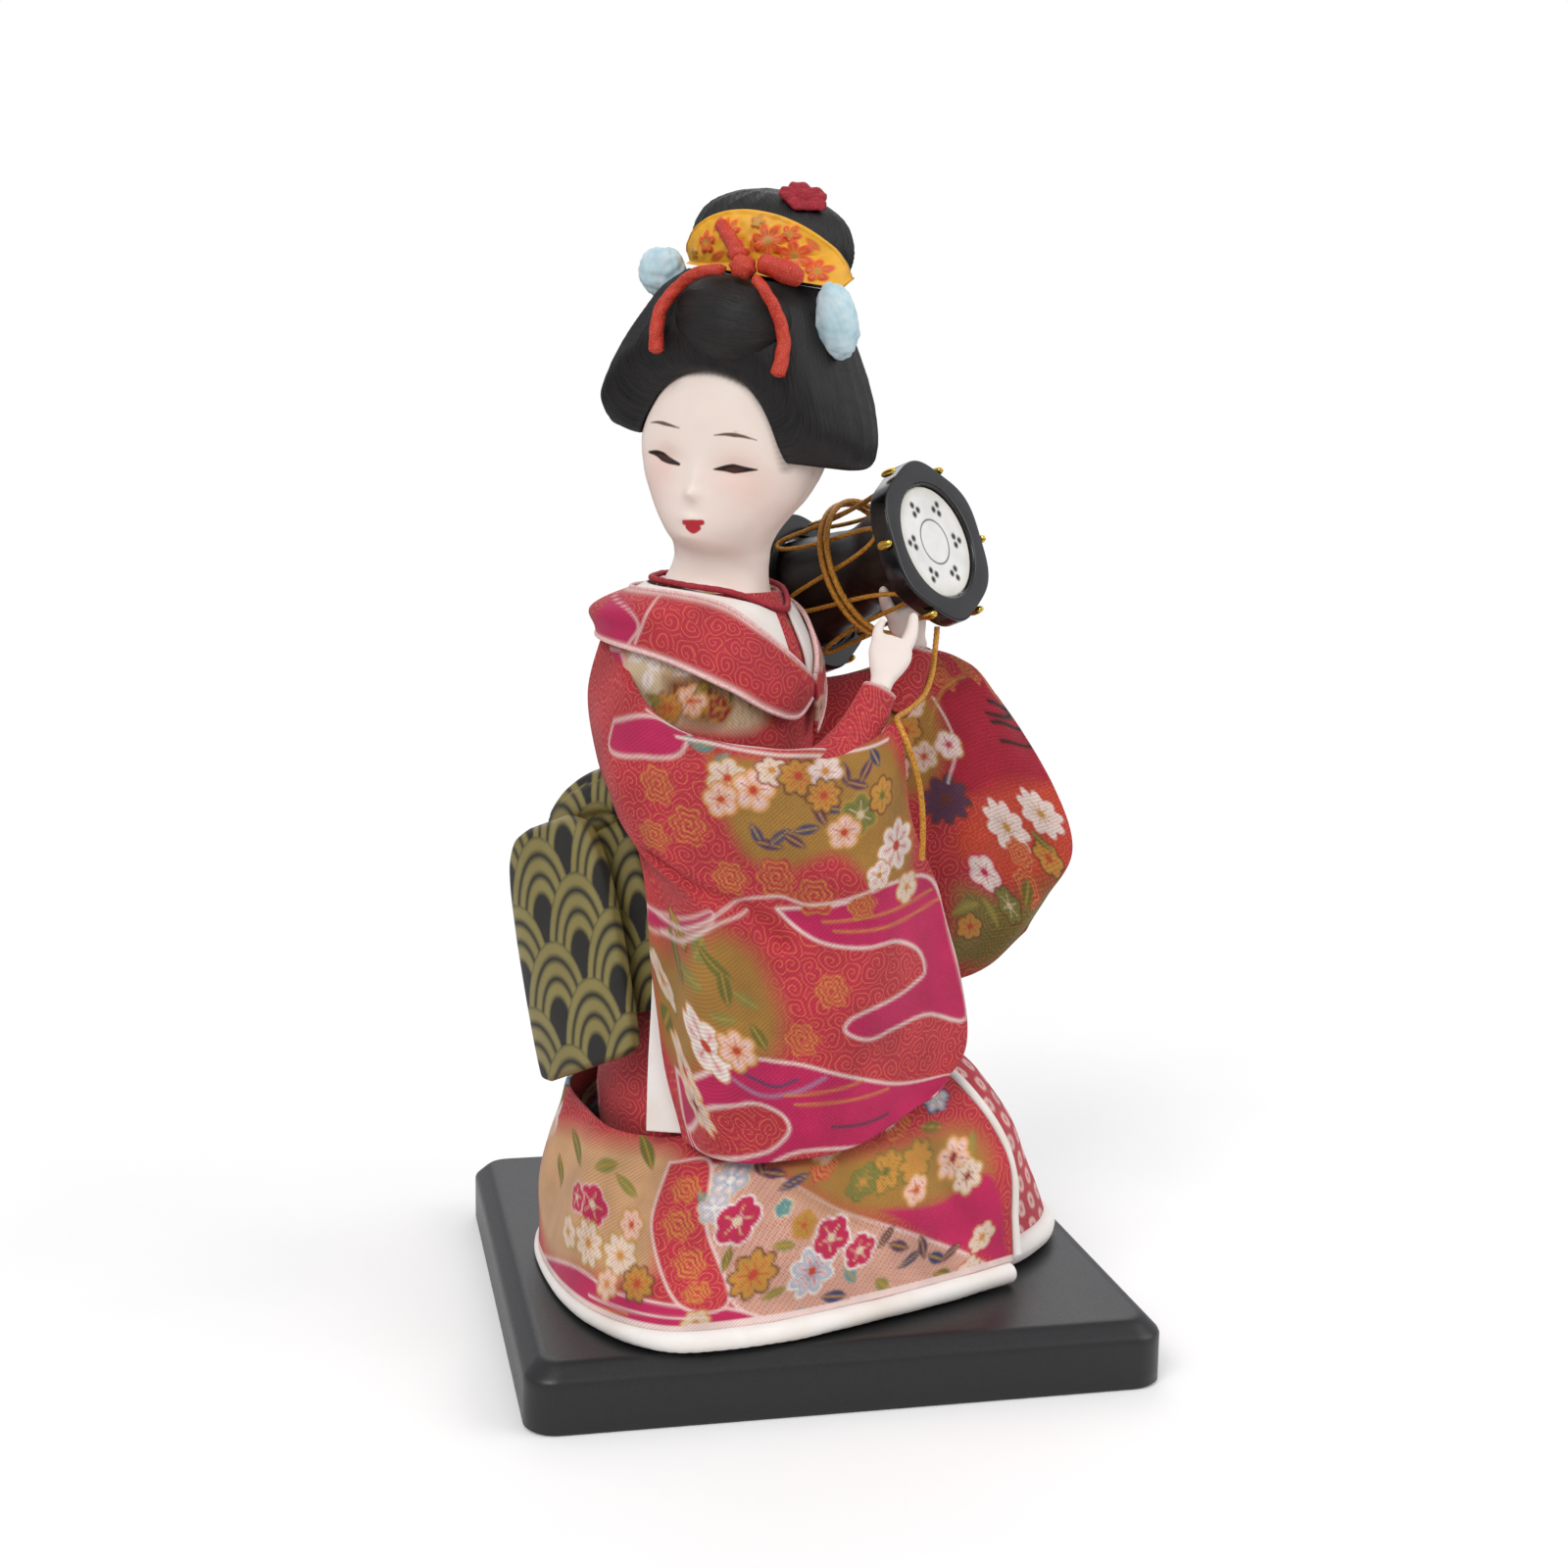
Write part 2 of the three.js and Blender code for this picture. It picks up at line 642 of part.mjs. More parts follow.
// White piping down the near front edge of the skirt
const pipingLine = [0.03, 0.12, 0.25, 0.4, 0.55, 0.7, 0.82].map(v => {
  const edge = skirtSurface(0, v);
  const outward = edge.clone().sub(skirtSurface(0.02, v)).normalize();
  return edge.addScaledVector(outward, pipingRadius + gap).toArray();
});
add(doll, 'front_edge_piping', roll(curve(pipingLine), pipingRadius, 16, 6), whiteSilk);

// Under skirt: the inner layer that shows at the front, with its own fat hem
const underHem = 2 * underHemRadius + hemLift;
const underRows = [
  [[33.5, -27.5, underHem], [43.8, -18.5, underHem], [52, -4, underHem], [51, 9, underHem], [34.5, 24.5, underHem]],
  [[33.2, -26.5, 14], [42.5, -17, 14], [49, -3, 14], [48, 9, 14], [34, 22.5, 14]],
  [[32, -23, 26], [40, -14, 26], [44.5, -2, 26], [43, 9.5, 26], [32.5, 19, 26]],
  [[22, -17, 37], [29.5, -9.5, 38], [34, -1, 38], [32.5, 7.5, 38], [22.5, 14, 37.5]],
  [[11, -8, 43.5], [14.5, -5, 44], [16, -2, 44], [15.5, 1, 44], [11.5, 3, 43.5]],
];
add(doll, 'under_skirt', sheet(guided(underRows), 10, 8, -clothThickness), brocade);
const underRoll = () => underHemRadius;
add(doll, 'under_skirt_hem_roll', roll(hemRollPath(underRows[0], underRoll), underHemRadius, 14, 8), whiteSilk);

// Arms and sleeves. A sleeve is a quilted bag hung over the arm: thick where the
// arm runs through it, thin at its rims. Rows run from the inner edge over the arm.

const nearSleeveRows = [
  [[-35.5, -16.5, 126], [-25.8, -32.6, 111.6], [-8.5, -35.6, 105.4], [9.5, -35.6, 105.8], [18.4, -32.6, 110.6]],
  [[-37.2, -15.5, 124.5], [-28, -34.4, 110.5], [-9, -38.9, 105.4], [10.5, -38.3, 106], [19.2, -34.6, 110]],
  [[-39.5, -19, 113.5], [-31.5, -38, 100], [-9, -44, 96.5], [11, -43, 97], [20, -38, 105]],
  [[-37, -21, 99], [-29, -38, 89], [-9, -44, 86], [12, -42, 86], [22, -34, 92]],
  [[-28, -34, 84], [-21, -40.5, 77], [-8, -43, 73], [12, -40, 74], [28, -28, 78]],
  [[-25.5, -36.5, 62], [-19, -42, 60], [-7, -43.5, 58], [12, -40.5, 60], [33, -24, 60]],
  [[-23.5, -38, 45], [-17, -42.5, 44], [-6, -43.5, 44], [13, -39.5, 45], [34, -22, 46]],
  [[-20, -38.5, 31.5], [-14, -42, 29.5], [-5, -43, 29], [12, -39, 31], [28, -30, 39]],
];
const farSleeveRows = [
  [[-9, 13, 109], [10, 22, 110], [26, 20, 116], [35, 16, 116], [40, 13, 112]],
  [[-9, 7.5, 113.5], [10, 16, 114], [26, 13, 119.5], [36, 11, 116.5], [42, 11.5, 110]],
  [[-2, 6, 104], [17, 7, 106], [31, 6, 107.5], [41, 8, 105], [47, 11.5, 103]],
  [[3, 5, 91], [20, 4, 92], [34, 4, 92], [45, 7, 91], [53.5, 11.5, 92]],
  [[8, 7, 76], [23, 4, 77], [36, 5, 76], [47, 8, 77], [57.5, 11.5, 79]],
  [[13, 10.5, 64], [25.5, 7, 62], [37, 8, 62], [46, 10, 65], [53, 12, 69]],
  [[19, 14, 54], [27, 13, 51], [34, 13, 50.5], [42, 14, 54], [49, 14, 61]],
];

// Thickness of a sleeve: full over the arm, less in the bag, thin at the rims
function sleeveDepth(armRow, width) {
  return (u, v) => {
    const overArm = Math.exp(-(((v - armRow) / width) ** 2));
    const bag = sleeveBag * Math.min(1, Math.sin(Math.PI * THREE.MathUtils.clamp(u, 0.02, 0.98)) * 2);
    const hem = THREE.MathUtils.smoothstep(1 - v, 0, 0.16);
    const inner = THREE.MathUtils.smoothstep(v, 0, 0.06);
    const start = THREE.MathUtils.lerp(0.55, 1, THREE.MathUtils.smoothstep(u, 0, 0.2));
    return sleeveRim + (Math.max(bag, sleeveOverArm * overArm * start) - sleeveRim) * hem * inner;
  };
}

// Drapery of the hanging bag: folds that fan out from the elbow
const drapeDepth = 1.1;
function draped(surface, startV, turns) {
  return (u, v) => {
    const fall = THREE.MathUtils.smoothstep(v, startV, startV + 0.25) * Math.sin(Math.PI * Math.min(1, v * 1.02)) ** 0.5;
    const wave = Math.cos(2 * Math.PI * (turns * u + 0.9 * v));
    return surface(u, v).addScaledVector(normalAt(surface, u, v), wave * drapeDepth * fall);
  };
}

const elbowFall = 0.42;
const farArmRow = 0.17;
const nearSleeveSurface = draped(guided(nearSleeveRows), elbowFall, 2.5);
const farSleeveSurface = draped(guided(farSleeveRows), elbowFall, 2);

const onTorso = (angle, height, outset) => torsoPoint(angle * degrees, height, outset).applyMatrix4(torso.matrix);
const shoulderGap = armRadius + 2 * gap;

// The near arm lies in the fold of its sleeve, which hangs over it
const nearWrist = [15.2, -27.4, 115];
const nearArmPath = curve([
  onTorso(-105, 105, shoulderGap).toArray(), [-15.5, -35.6, 102], [-9, -37.6, 100.8], [3, -36.9, 100.8],
  [9.8, -33, 103.4], [12.4, -29.4, 109], nearWrist,
]);
add(doll, 'right_sleeve', sheet(nearSleeveSurface, 16, 16, sleeveRim), brocade);
add(doll, 'right_arm', cord(nearArmPath, armRadius, 16, 8), straw);

// The far arm runs in a channel of its sleeve and leaves it at the top
const farWrist = [24.6, 9.5, 119.6];
const farArmInside = [0.22, 0.38, 0.52].map(u => {
  const point = farSleeveSurface(u, farArmRow);
  return point.addScaledVector(normalAt(farSleeveSurface, u, farArmRow), sleeveOverArm / 2).toArray();
});
const farArmPath = curve([onTorso(85, 109, shoulderGap).toArray(), ...farArmInside, farWrist]);
const wornTorso = toDoll(torsoLoft(bodiceBottom - 1, bodiceTop + 3, collarOutset + collarThickness + gap), torso);
const armChannel = cord(farArmPath, armRadius + gap, 16, 8);
const farSleeve = sheet(farSleeveSurface, 12, 14, sleeveDepth(farArmRow, 0.13));
add(doll, 'left_sleeve', cut(farSleeve, armChannel, wornTorso, drumRoom), brocade);
add(doll, 'left_arm', cord(farArmPath, armRadius, 16, 8), straw);

// White lining strip that hangs behind the near sleeve's rear edge
const stripRows = [
  [[-26.4, -31.8, 84], [-25, -31.8, 84]],
  [[-26.2, -33.8, 62], [-21, -33.8, 61]],
  [[-26.8, -35.8, 45], [-19, -35.8, 45]],
  [[-27, -37, 33], [-18.3, -37, 32.5]],
];
const stripThickness = 0.5;
add(doll, 'sleeve_lining_strip', sheet(guided(stripRows), 2, 8, stripThickness), whiteSilk);

// Hands: a flat palm with the thumb on one side and the fingers drawn together
const palmRings = [[0, 2.1, 1.7], [2.5, 2.3, 1.7], [5.5, 3.4, 1.9], [8.5, 4.2, 1.9], [11, 3.9, 1.6], [12.5, 2.6, 1.1]];
const fingersLine = [[1.6, 0, 9.5], [2.6, 0.1, 13], [2.7, 0.2, 16.5], [2.1, 0, 20]];
const thumbLine = [[-2.2, 0, 8], [-3.2, -0.2, 11], [-3.5, -0.3, 13.5], [-3, -0.2, 16]];

function handShape(side) {
  const palm = loft(palmRings.map(([z, halfWidth, halfDepth]) => Array.from({ length: 12 }, (_, i) => {
    const angle = Math.PI * i / 6;
    return vec(side * halfWidth * Math.cos(angle), halfDepth * Math.sin(angle), z);
  })));
  const fingers = roll(curve(fingersLine.map(([x, y, z]) => [side * x, y, z])), t => 1.5 - 0.8 * t * t, 5, 6);
  const thumb = roll(curve(thumbLine.map(([x, y, z]) => [side * x, y, z])), t => 1.15 - 0.6 * t * t, 5, 6);
  return join(palm, fingers, thumb);
}

// Each hand starts just past the end of its arm and reaches for the drum
const palmStart = 0.97;
function placedHand(side, wrist, path, tilt) {
  const along = path.getTangent(1);
  const start = vec(...wrist).addScaledVector(along, palmStart);
  const turn = new THREE.Matrix4().makeRotationFromEuler(new THREE.Euler(...tilt.map(a => a * degrees), 'ZYX'));
  return handShape(side).applyMatrix4(turn).translate(start.x, start.y, start.z);
}

const rightHandTilt = [-41, 19, 0];
const leftHandTilt = [35, -30, 10];
const rightHand = placedHand(1, nearWrist, nearArmPath, rightHandTilt);
const leftHand = placedHand(-1, farWrist, farArmPath, leftHandTilt);
add(doll, 'right_hand', cut(rightHand, drumRoom), porcelain);
add(doll, 'left_hand', cut(leftHand, drumRoom), porcelain);

// Belt bow: a crowned pad, a second fold between it and the waist, and a knot.
// Each station is a share of the height, the left edge and the right edge.
const padOutline = stations([
  [0, -13.2, -24, 8, -19.6],
  [0.06, -15, -22.3, 10.4, -17.6],
  [0.35, -15.6, -8, 11, -6],
  [0.63, -15.6, 6, 10.8, 8],
  [0.87, -14.6, 18, 9.2, 20],
  [0.95, -12, 23, 6.6, 25],
  [1, -8, 25.4, 2.6, 27],
]);
const foldOutline = stations([
  [0, -9, -15, 10.5, -12],
  [0.1, -10.5, -13, 12.6, -9.5],
  [0.55, -11, 4, 13.2, 6],
  [0.9, -9.6, 19, 11, 21],
  [1, -6.5, 22.5, 7.5, 24.4],
]);

function cushionSurface(outline, middle, thickness, side) {
  return (u, v) => {
    const [leftX, leftZ, rightX, rightZ] = outline(v);
    const crown = (Math.sin(Math.PI * u) * Math.sin(Math.PI * v)) ** 0.6;
    const half = thickness / 2 - padCrown + padCrown * crown;
    return vec(leftX + (rightX - leftX) * u, middle + side * half, leftZ + (rightZ - leftZ) * u);
  };
}

function cushion(outline, middle, thickness) {
  const outer = cushionSurface(outline, middle, thickness, -1);
  const inner = cushionSurface(outline, middle, thickness, 1);
  return between(outer, inner, 7, 8);
}

const foldMiddle = (padThickness + foldThickness) / 2 + gap;
const wornBelt = fromDoll(toDoll(torsoLoft(beltBottom - 4, beltTop + 4, beltThickness + 2 * gap), torso), pad);
const padTorso = fromDoll(wornTorso, pad);
const fold = cushion(foldOutline, foldMiddle, foldThickness);
add(pad, 'obi_pad', cushion(padOutline, 0, padThickness), blackBrocade);
add(pad, 'obi_inner_fold', cut(fold, wornBelt, padTorso), blackBrocade);

const knotLine = [[-6, 6, 25], [0, 8.5, 29.5], [7, 11, 31], [14, 12.5, 27]];
const knotWidth = t => 3.4 + 1.4 * Math.sin(Math.PI * t);
const padRoom = cushion(padOutline, 0, padThickness + 2 * gap);
const foldRoom = cushion(foldOutline, foldMiddle, foldThickness + 2 * gap).translate(0, 0, gap);
const knotRoll = roll(curve(knotLine), knotWidth, 10, 10);
add(pad, 'obi_knot', cut(knotRoll, padRoom, foldRoom, wornBelt, padTorso), blackBrocade);

// Head: neck and face in one moulding. Each station is a height, the half width
// and the reach of the front and of the back.
const headOutline = stations([
  [0, neckFootRadius, neckFootRadius, neckFootRadius],
  [2.5, 9, 9, 9],
  [4.6, 8.4, 9.6, 8.6],
  [6, 8.6, 12.6, 8.6],
  [8.5, 10.3, 14.2, 8.8],
  [12, 12.7, 14.8, 9.4],
  [16, 15, 14.9, 11.2],
  [20.5, 16, 14.8, 13.6],
  [27, 16, 14.8, 15.6],
  [34, 14.8, 14.6, 15.2],
  [40, 12.4, 13, 13],
  [46, 8.6, 9.6, 9.4],
  [50, 3.5, 4.2, 4.4],
]);
const headTop = 50;

// Relief of the face: place across, height, spread across, spread up, depth
const faceRelief = [
  [0, 19.2, 1.5, 3.6, 1.1],
  [0, 17.4, 1.7, 1.3, 1.3],
  [0, 12.6, 2.2, 1.1, 0.7],
  [0, 7.6, 3.4, 1.7, 0.6],
  [-7.3, 24.2, 3.6, 2, -0.7],
  [7.3, 24.2, 3.6, 2, -0.7],
  [-8, 17, 3.5, 3.5, 0.4],
  [8, 17, 3.5, 3.5, 0.4],
];

// angle 0 is the middle of the face
function headPoint(angle, height, outset) {
  const [half, front, back] = headOutline(height);
  const reach = Math.cos(angle) >= 0 ? front : back;
  const x = (half + outset) * Math.sin(angle);
  let y = -(reach + outset) * Math.cos(angle);
  if (Math.cos(angle) > 0) {
    for (const [across, up, spreadX, spreadZ, depth] of faceRelief) {
      y -= depth * Math.exp(-(((x - across) / spreadX) ** 2) - ((height - up) / spreadZ) ** 2);
    }
  }
  return vec(x, y, height);
}

const headHeights = [0, 2.5, 4.6, 6, 8.5, 10.5, 12.6, 14.5, 16.2, 17.6, 19.5, 22, 24.2, 27, 31, 35, 40, 45, 48.5, headTop];
const headSides = 24;
// Columns crowd towards the middle of the face
const headAngle = i => {
  const turn = 2 * Math.PI * i / headSides;
  return turn - 0.35 * Math.sin(turn);
};
const headLoft = outset => loft(headHeights.map((z, k) => {
  const lifted = z + (k === 0 ? -outset : 0) + (k === headHeights.length - 1 ? outset : 0);
  return Array.from({ length: headSides }, (_, i) => {
    const point = headPoint(headAngle(i), z, outset);
    return vec(point.x, point.y, lifted);
  });
}));
const headPegBore = rod(pegRadius + pegClearance, -1, pegAbove + pegClearance);
add(head, 'head_shell', cut(headLoft(0), headPegBore), porcelain);
add(head, 'neck_peg', rod(pegRadius, -pegBelow, pegAbove), dowelWood);

// Hair: a bell of dressed floss with flat-cut wings, opened over the face
const hairShift = -2;
const hairTop = 58.8;
const hairSquareness = 2.5;
const hairOutline = stations([
  [hairDrop, 28.2, 12, 19],
  [hairDrop + 5, 28.4, 15, 20],
  [38, 26.6, 16.2, 20.5],
  [44, 23.6, 16.8, 20],
  [50, 20, 16.4, 18.5],
  [55, 16.8, 14.6, 16],
  [hairTop, 12.5, 11, 13],
]);

function hairPoint(angle, height, outset) {
  const [half, front, back] = hairOutline(height);
  const c = Math.cos(angle);
  const s = Math.sin(angle);
  const reach = c >= 0 ? front : back;
  const scale = (Math.abs(s) ** hairSquareness + Math.abs(c) ** hairSquareness) ** (-1 / hairSquareness);
  return vec(hairShift + (half + outset) * s * scale, -(reach + outset) * c * scale, height);
}

const hairHeights = [hairDrop, 30, 34, 38, 42, 46, 50, 54, hairTop];
const hairBell = outset => loft(hairHeights.map((z, k) => Array.from({ length: 28 }, (_, i) => {
  const point = hairPoint(2 * Math.PI * i / 28, z, outset);
  point.z += (k === 0 ? -outset : 0) + (k === hairHeights.length - 1 ? outset : 0);
  return point;
})));
const faceWindowWidth = 14.6;
const faceWindowHeight = 14.6;
const windowShape = new THREE.Shape();
windowShape.moveTo(-faceWindowWidth, -9);
windowShape.lineTo(faceWindowWidth, -9);
windowShape.lineTo(faceWindowWidth, 0);
windowShape.absellipse(0, 0, faceWindowWidth, faceWindowHeight, 0, Math.PI, false, 0);
windowShape.closePath();
const faceWindow = new THREE.ExtrudeGeometry(windowShape, { depth: 30, bevelEnabled: false, curveSegments: 10 })
  .rotateX(Math.PI / 2).translate(-0.6, -3, hairDrop);
add(head, 'hair_wings', cut(hairBell(0), headLoft(gap), faceWindow), hairFloss);

// Front roll: a rounded lock that swells over the forehead
const frontRoll = { x: 0.6, y: -10.5, z: 50.4, width: 12.6, depth: 8.6, height: 8.6 };
const frontRollBall = new THREE.SphereGeometry(1, 18, 12).scale(frontRoll.width, frontRoll.depth, frontRoll.height)
  .translate(frontRoll.x, frontRoll.y, frontRoll.z);
const grownBell = hairBell(gap);
add(head, 'hair_front_roll', cut(frontRollBall, grownBell), hairFloss);

// Top knot: a rounded bun on the crown of the head
const knotOutline = stations([
  [hairTop + gap, 13.6, 10.5], [62.5, 16, 12], [67, 16.3, 12.2], [71.5, 13.8, 10.4], [74.4, 8.5, 6.5], [75.6, 3, 2.5],
]);
const knotHeights = [hairTop + gap, 61, 64, 68, 71.5, 74.4, 75.6];
const topKnot = outset => loft(knotHeights.map((z, k) => {
  const [half, deep] = knotOutline(z);
  const lifted = z + (k === knotHeights.length - 1 ? outset : 0);
  return Array.from({ length: 24 }, (_, i) => {
    const angle = 2 * Math.PI * i / 24;
    return vec(-2 + (half + outset) * Math.cos(angle), 5 + (deep + outset) * Math.sin(angle), lifted);
  });
}));
add(head, 'hair_top_knot', topKnot(0), hairFloss);

// Gilt crown: a curved half disc that leans against the front of the top knot
const crownFoot = hairTop + gap + 0.4;
const crownRise = 11.5;
const crownBow = 6.5;
const crownLean = 4.5;
function crownSheet(grow) {
  const surface = (u, v) => {
    const across = 2 * u - 1;
    const rise = (crownRise + 2 * grow) * v * Math.sqrt(Math.max(0.04, 1 - across * across));
    const y = -9.6 - grow + crownBow * across * across + crownLean * v;
    return vec(1 + (crownRadius + grow) * across, y, crownFoot - grow + rise);
  };
  return sheet(surface, 12, 3, crownThickness + 2 * grow);
}
const crownRoom = crownSheet(gap);
add(head, 'gilt_crown', cut(crownSheet(0), topKnot(gap), grownBell), goldPaper);

// Front of the hair at a place across and a height, where the ties lie
function hairFront(x, z) {
  const [half, front] = hairOutline(z);
  const side = Math.min(0.98, Math.abs(x - hairShift) / half);
  const bell = -front * (1 - side ** hairSquareness) ** (1 / hairSquareness);
  const dx = (x - frontRoll.x) / frontRoll.width;
  const dz = (z - frontRoll.z) / frontRoll.height;
  const inside = 1 - dx * dx - dz * dz;
  const ball = inside > 0 ? frontRoll.y - frontRoll.depth * Math.sqrt(inside) : 0;
  return Math.min(bell, ball);
}

// Red silk tie: a knot at the foot of the crown, two tails and two loops
const tieSeat = gap + tieCordRadius + 0.25;
const onHair = (x, z) => [x, hairFront(x, z) - tieSeat, z];
const knotSpot = [3.6, -15.4, 60.6];
const tieKnot = new THREE.SphereGeometry(1, 12, 8).scale(2.6, 2, 2.1).translate(...knotSpot);
const grownRoll = new THREE.SphereGeometry(1, 18, 12)
  .scale(frontRoll.width + gap, frontRoll.depth + gap, frontRoll.height + gap)
  .translate(frontRoll.x, frontRoll.y, frontRoll.z);
const tailWidth = t => tieCordRadius * (0.75 + 0.35 * t);
const leftTail = curve([[0.6, -16.2, 59.8], [-4.5, -17, 58.4], onHair(-9, 55.5), onHair(-11.2, 51), onHair(-11, 46.5), onHair(-10.2, 42.8)]);
const rightTail = curve([[6.6, -16.2, 59.2], [9.6, -16.4, 56.8], onHair(12, 53), onHair(13.6, 49), onHair(14.2, 45.5), onHair(14.2, 42.4)]);
const seated = geometry => cut(geometry, grownBell, grownRoll);
add(head, 'tie_tail_left', seated(roll(leftTail, tailWidth, 9, 6)), redCord);
add(head, 'tie_tail_right', seated(roll(rightTail, tailWidth, 9, 6)), redCord);
const leftLoop = curve([[1.2, -14.6, 63.2], [-2.6, -12.6, 65.6], [-6.6, -10.4, 68]]);
const rightLoop = curve([[6.2, -15, 61.8], [9.8, -12.8, 61.2], [13.2, -9.8, 59.9]]);
const leftLoopRoll = roll(leftLoop, t => 1.5 - 0.3 * t, 5, 6);
const rightLoopRoll = roll(rightLoop, t => 1.5 + 0.6 * Math.sin(Math.PI * t), 5, 6);
add(head, 'tie_bow', cut(join(tieKnot, leftLoopRoll, rightLoopRoll), grownBell, grownRoll, crownRoom), redCord);

// Pale blue ornaments, one tucked in at each side of the crown
const blueBall = new THREE.SphereGeometry(1, 12, 8);
const leftBlue = blueBall.clone().scale(4.9, 3.2, 4.6).translate(-19.3, -5, 57.4);
const rightBlue = blueBall.clone().scale(4, 2.8, 7).rotateY(-22 * degrees).translate(18.9, -5, 53.6);
add(head, 'blue_ornament_left', cut(leftBlue, grownBell, topKnot(gap), crownRoom), paleBlue);
add(head, 'blue_ornament_right', cut(rightBlue, grownBell, topKnot(gap), crownRoom), paleBlue);

// Small red flower on top of the knot
const flowerPetals = 5;
const flowerRadius = 4.4;
const flowerRings = [[0, 0.7], [0.5, 1], [1.4, 0.85], [2, 0.4]].map(([z, share]) => Array.from({ length: 20 }, (_, i) => {
  const angle = 2 * Math.PI * i / 20;
  const reach = flowerRadius * share * (1 + 0.16 * Math.cos(flowerPetals * angle));
  return vec(reach * Math.cos(angle), reach * Math.sin(angle), z);
}));
const flower = loft(flowerRings).rotateX(-18 * degrees).rotateY(32 * degrees).translate(6.4, 5.5, 74.2);
add(head, 'red_flower', cut(flower, topKnot(gap)), roseRed);

// Drum, in its own frame with +Z towards the head that shows

const hoopShape = new THREE.Shape();
const hoopPoints = Array.from({ length: 30 }, (_, i) => {
  const angle = 2 * Math.PI * i / 30;
  const reach = hoopRadius - hoopRounding + hoopLobe * Math.cos(clipCount * angle);
  return new THREE.Vector2(reach * Math.cos(angle), reach * Math.sin(angle));
});
hoopShape.setFromPoints(hoopPoints);
const boreHole = new THREE.Path();
boreHole.absarc(0, 0, hoopBore, 0, 2 * Math.PI, true);
hoopShape.holes.push(boreHole);
const hoop = new THREE.ExtrudeGeometry(hoopShape, {
  depth: hoopWidth - 2 * hoopRounding, curveSegments: 12, bevelEnabled: true,
  bevelThickness: hoopRounding, bevelSize: hoopRounding, bevelSegments: 1,
}).translate(0, 0, -hoopWidth / 2 + hoopRounding);
const skin = rod(hoopBore - hoopRounding - gap, -skinThickness / 2, skinThickness / 2, 28);
const skinPlace = hoopCentre + hoopWidth / 2 - skinRecess - skinThickness / 2;
for (const [end, side] of [['front', 1], ['back', -1]]) {
  add(drum, `drum_${end}_hoop`, hoop.clone().translate(0, 0, side * hoopCentre), blackLacquer);
  add(drum, `drum_${end}_skin`, skin.clone().translate(0, 0, side * skinPlace), drumSkin);
}

// Hourglass bowl, hollow, open under each skin
const bowlEnd = skinPlace - skinThickness / 2 - gap;
const bowlHalf = [[1, bowlRadius], [0.8, bowlRadius - 0.3], [0.5, bowlRadius - 2.4], [0.25, drumWaistRadius + 1], [0, drumWaistRadius]];
const bowlOuter = [...bowlHalf.map(([share, r]) => [r, -share * bowlEnd]), ...bowlHalf.slice(0, -1).reverse().map(([share, r]) => [r, share * bowlEnd])];
const bowlInner = bowlOuter.map(([r, z]) => [r - bowlWall, z]).reverse();
add(drum, 'drum_bowl', turned([...bowlOuter, ...bowlInner, bowlOuter[0]], 16), blackLacquer);

// Gilt clips that draw the cords over each hoop
const clipShape = new THREE.SphereGeometry(1, 6, 5).scale(clipRadius, 1, clipLength / 2);
for (const [end, side] of [['front', 1], ['back', -1]]) {
  for (let i = 0; i < clipCount; i += 1) {
    const angle = 2 * Math.PI * (i + 0.5) / clipCount;
    const clip = clipShape.clone().rotateZ(angle)
      .translate(clipReach * Math.cos(angle), clipReach * Math.sin(angle), side * (hoopCentre + clipOffset));
    add(drum, `${end}_clip_${i + 1}`, clip, brass);
  }
}

// Lacing: one cord that runs to and fro between the hoops
const lacingPath = new THREE.Curve();
lacingPath.getPoint = t => {
  const angle = 2 * Math.PI * (0.006 + 0.988 * t);
  const wave = Math.sin(clipCount * angle);
  const z = lacingEnd * Math.sign(wave) * (1 - (1 - Math.abs(wave)) ** 1.35);
  const reach = THREE.MathUtils.lerp(lacingAtWaist, lacingAtHoop, (z / lacingEnd) ** 2);
  return vec(reach * Math.cos(angle), reach * Math.sin(angle), z);
};
add(drum, 'drum_lacing', cord(lacingPath, lacingRadius, 72, 4), goldCord);

// Waist cord: it rings the lacing
const ringPath = new THREE.Curve();
ringPath.getPoint = t => {
  const angle = 2 * Math.PI * waistRingTurns * t;
  return vec(ringReach * Math.cos(angle), ringReach * Math.sin(angle), (t - 0.5) * waistRingTurns * (2 * waistRingRadius + 0.5));
};
add(drum, 'drum_waist_cord', cord(ringPath, waistRingRadius, 18 * waistRingTurns, 6), goldCord);

// Loose end of the drum's cord: it drops from the front hoop to the near cuff,
// turns over its edge and hangs in front of the sleeve
const hangingCordPoints = [
  [27.6, -5, 126.1], [27.5, -5.2, 124.4], [27.1, -7.4, 121.2], [26.3, -13, 117.6], [24.6, -19.6, 114.4],
  [21.9, -26, 112.6], [19.4, -31, 111.7], [18.6, -34.5, 111.4], [18.8, -37.6, 110.9], [20, -39.4, 108.4],
  [21.5, -39.4, 104.6], [22.8, -38.9, 99.8], [23.5, -38.3, 94.6], [23.7, -37.9, 90], [23.6, -37.7, 85.7],
];
add(doll, 'hanging_cord', cord(curve(hangingCordPoints), hangingCordRadius, 32, 8), goldCord);

export default product;
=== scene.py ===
# %% [markdown]
# # A kneeling display doll with a drum on its shoulder
# The doll sits on a black moulded plinth. Its robe is stiff brocade over a
# stuffed body, its head is a smooth moulding with dressed floss hair, and it
# holds a small hourglass drum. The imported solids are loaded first: they fix
# every size and place, and each piece made below is a finer form of one of them.

# %% Load the solids
import math

import bmesh
import bpy
import numpy as np
from mathutils import Matrix


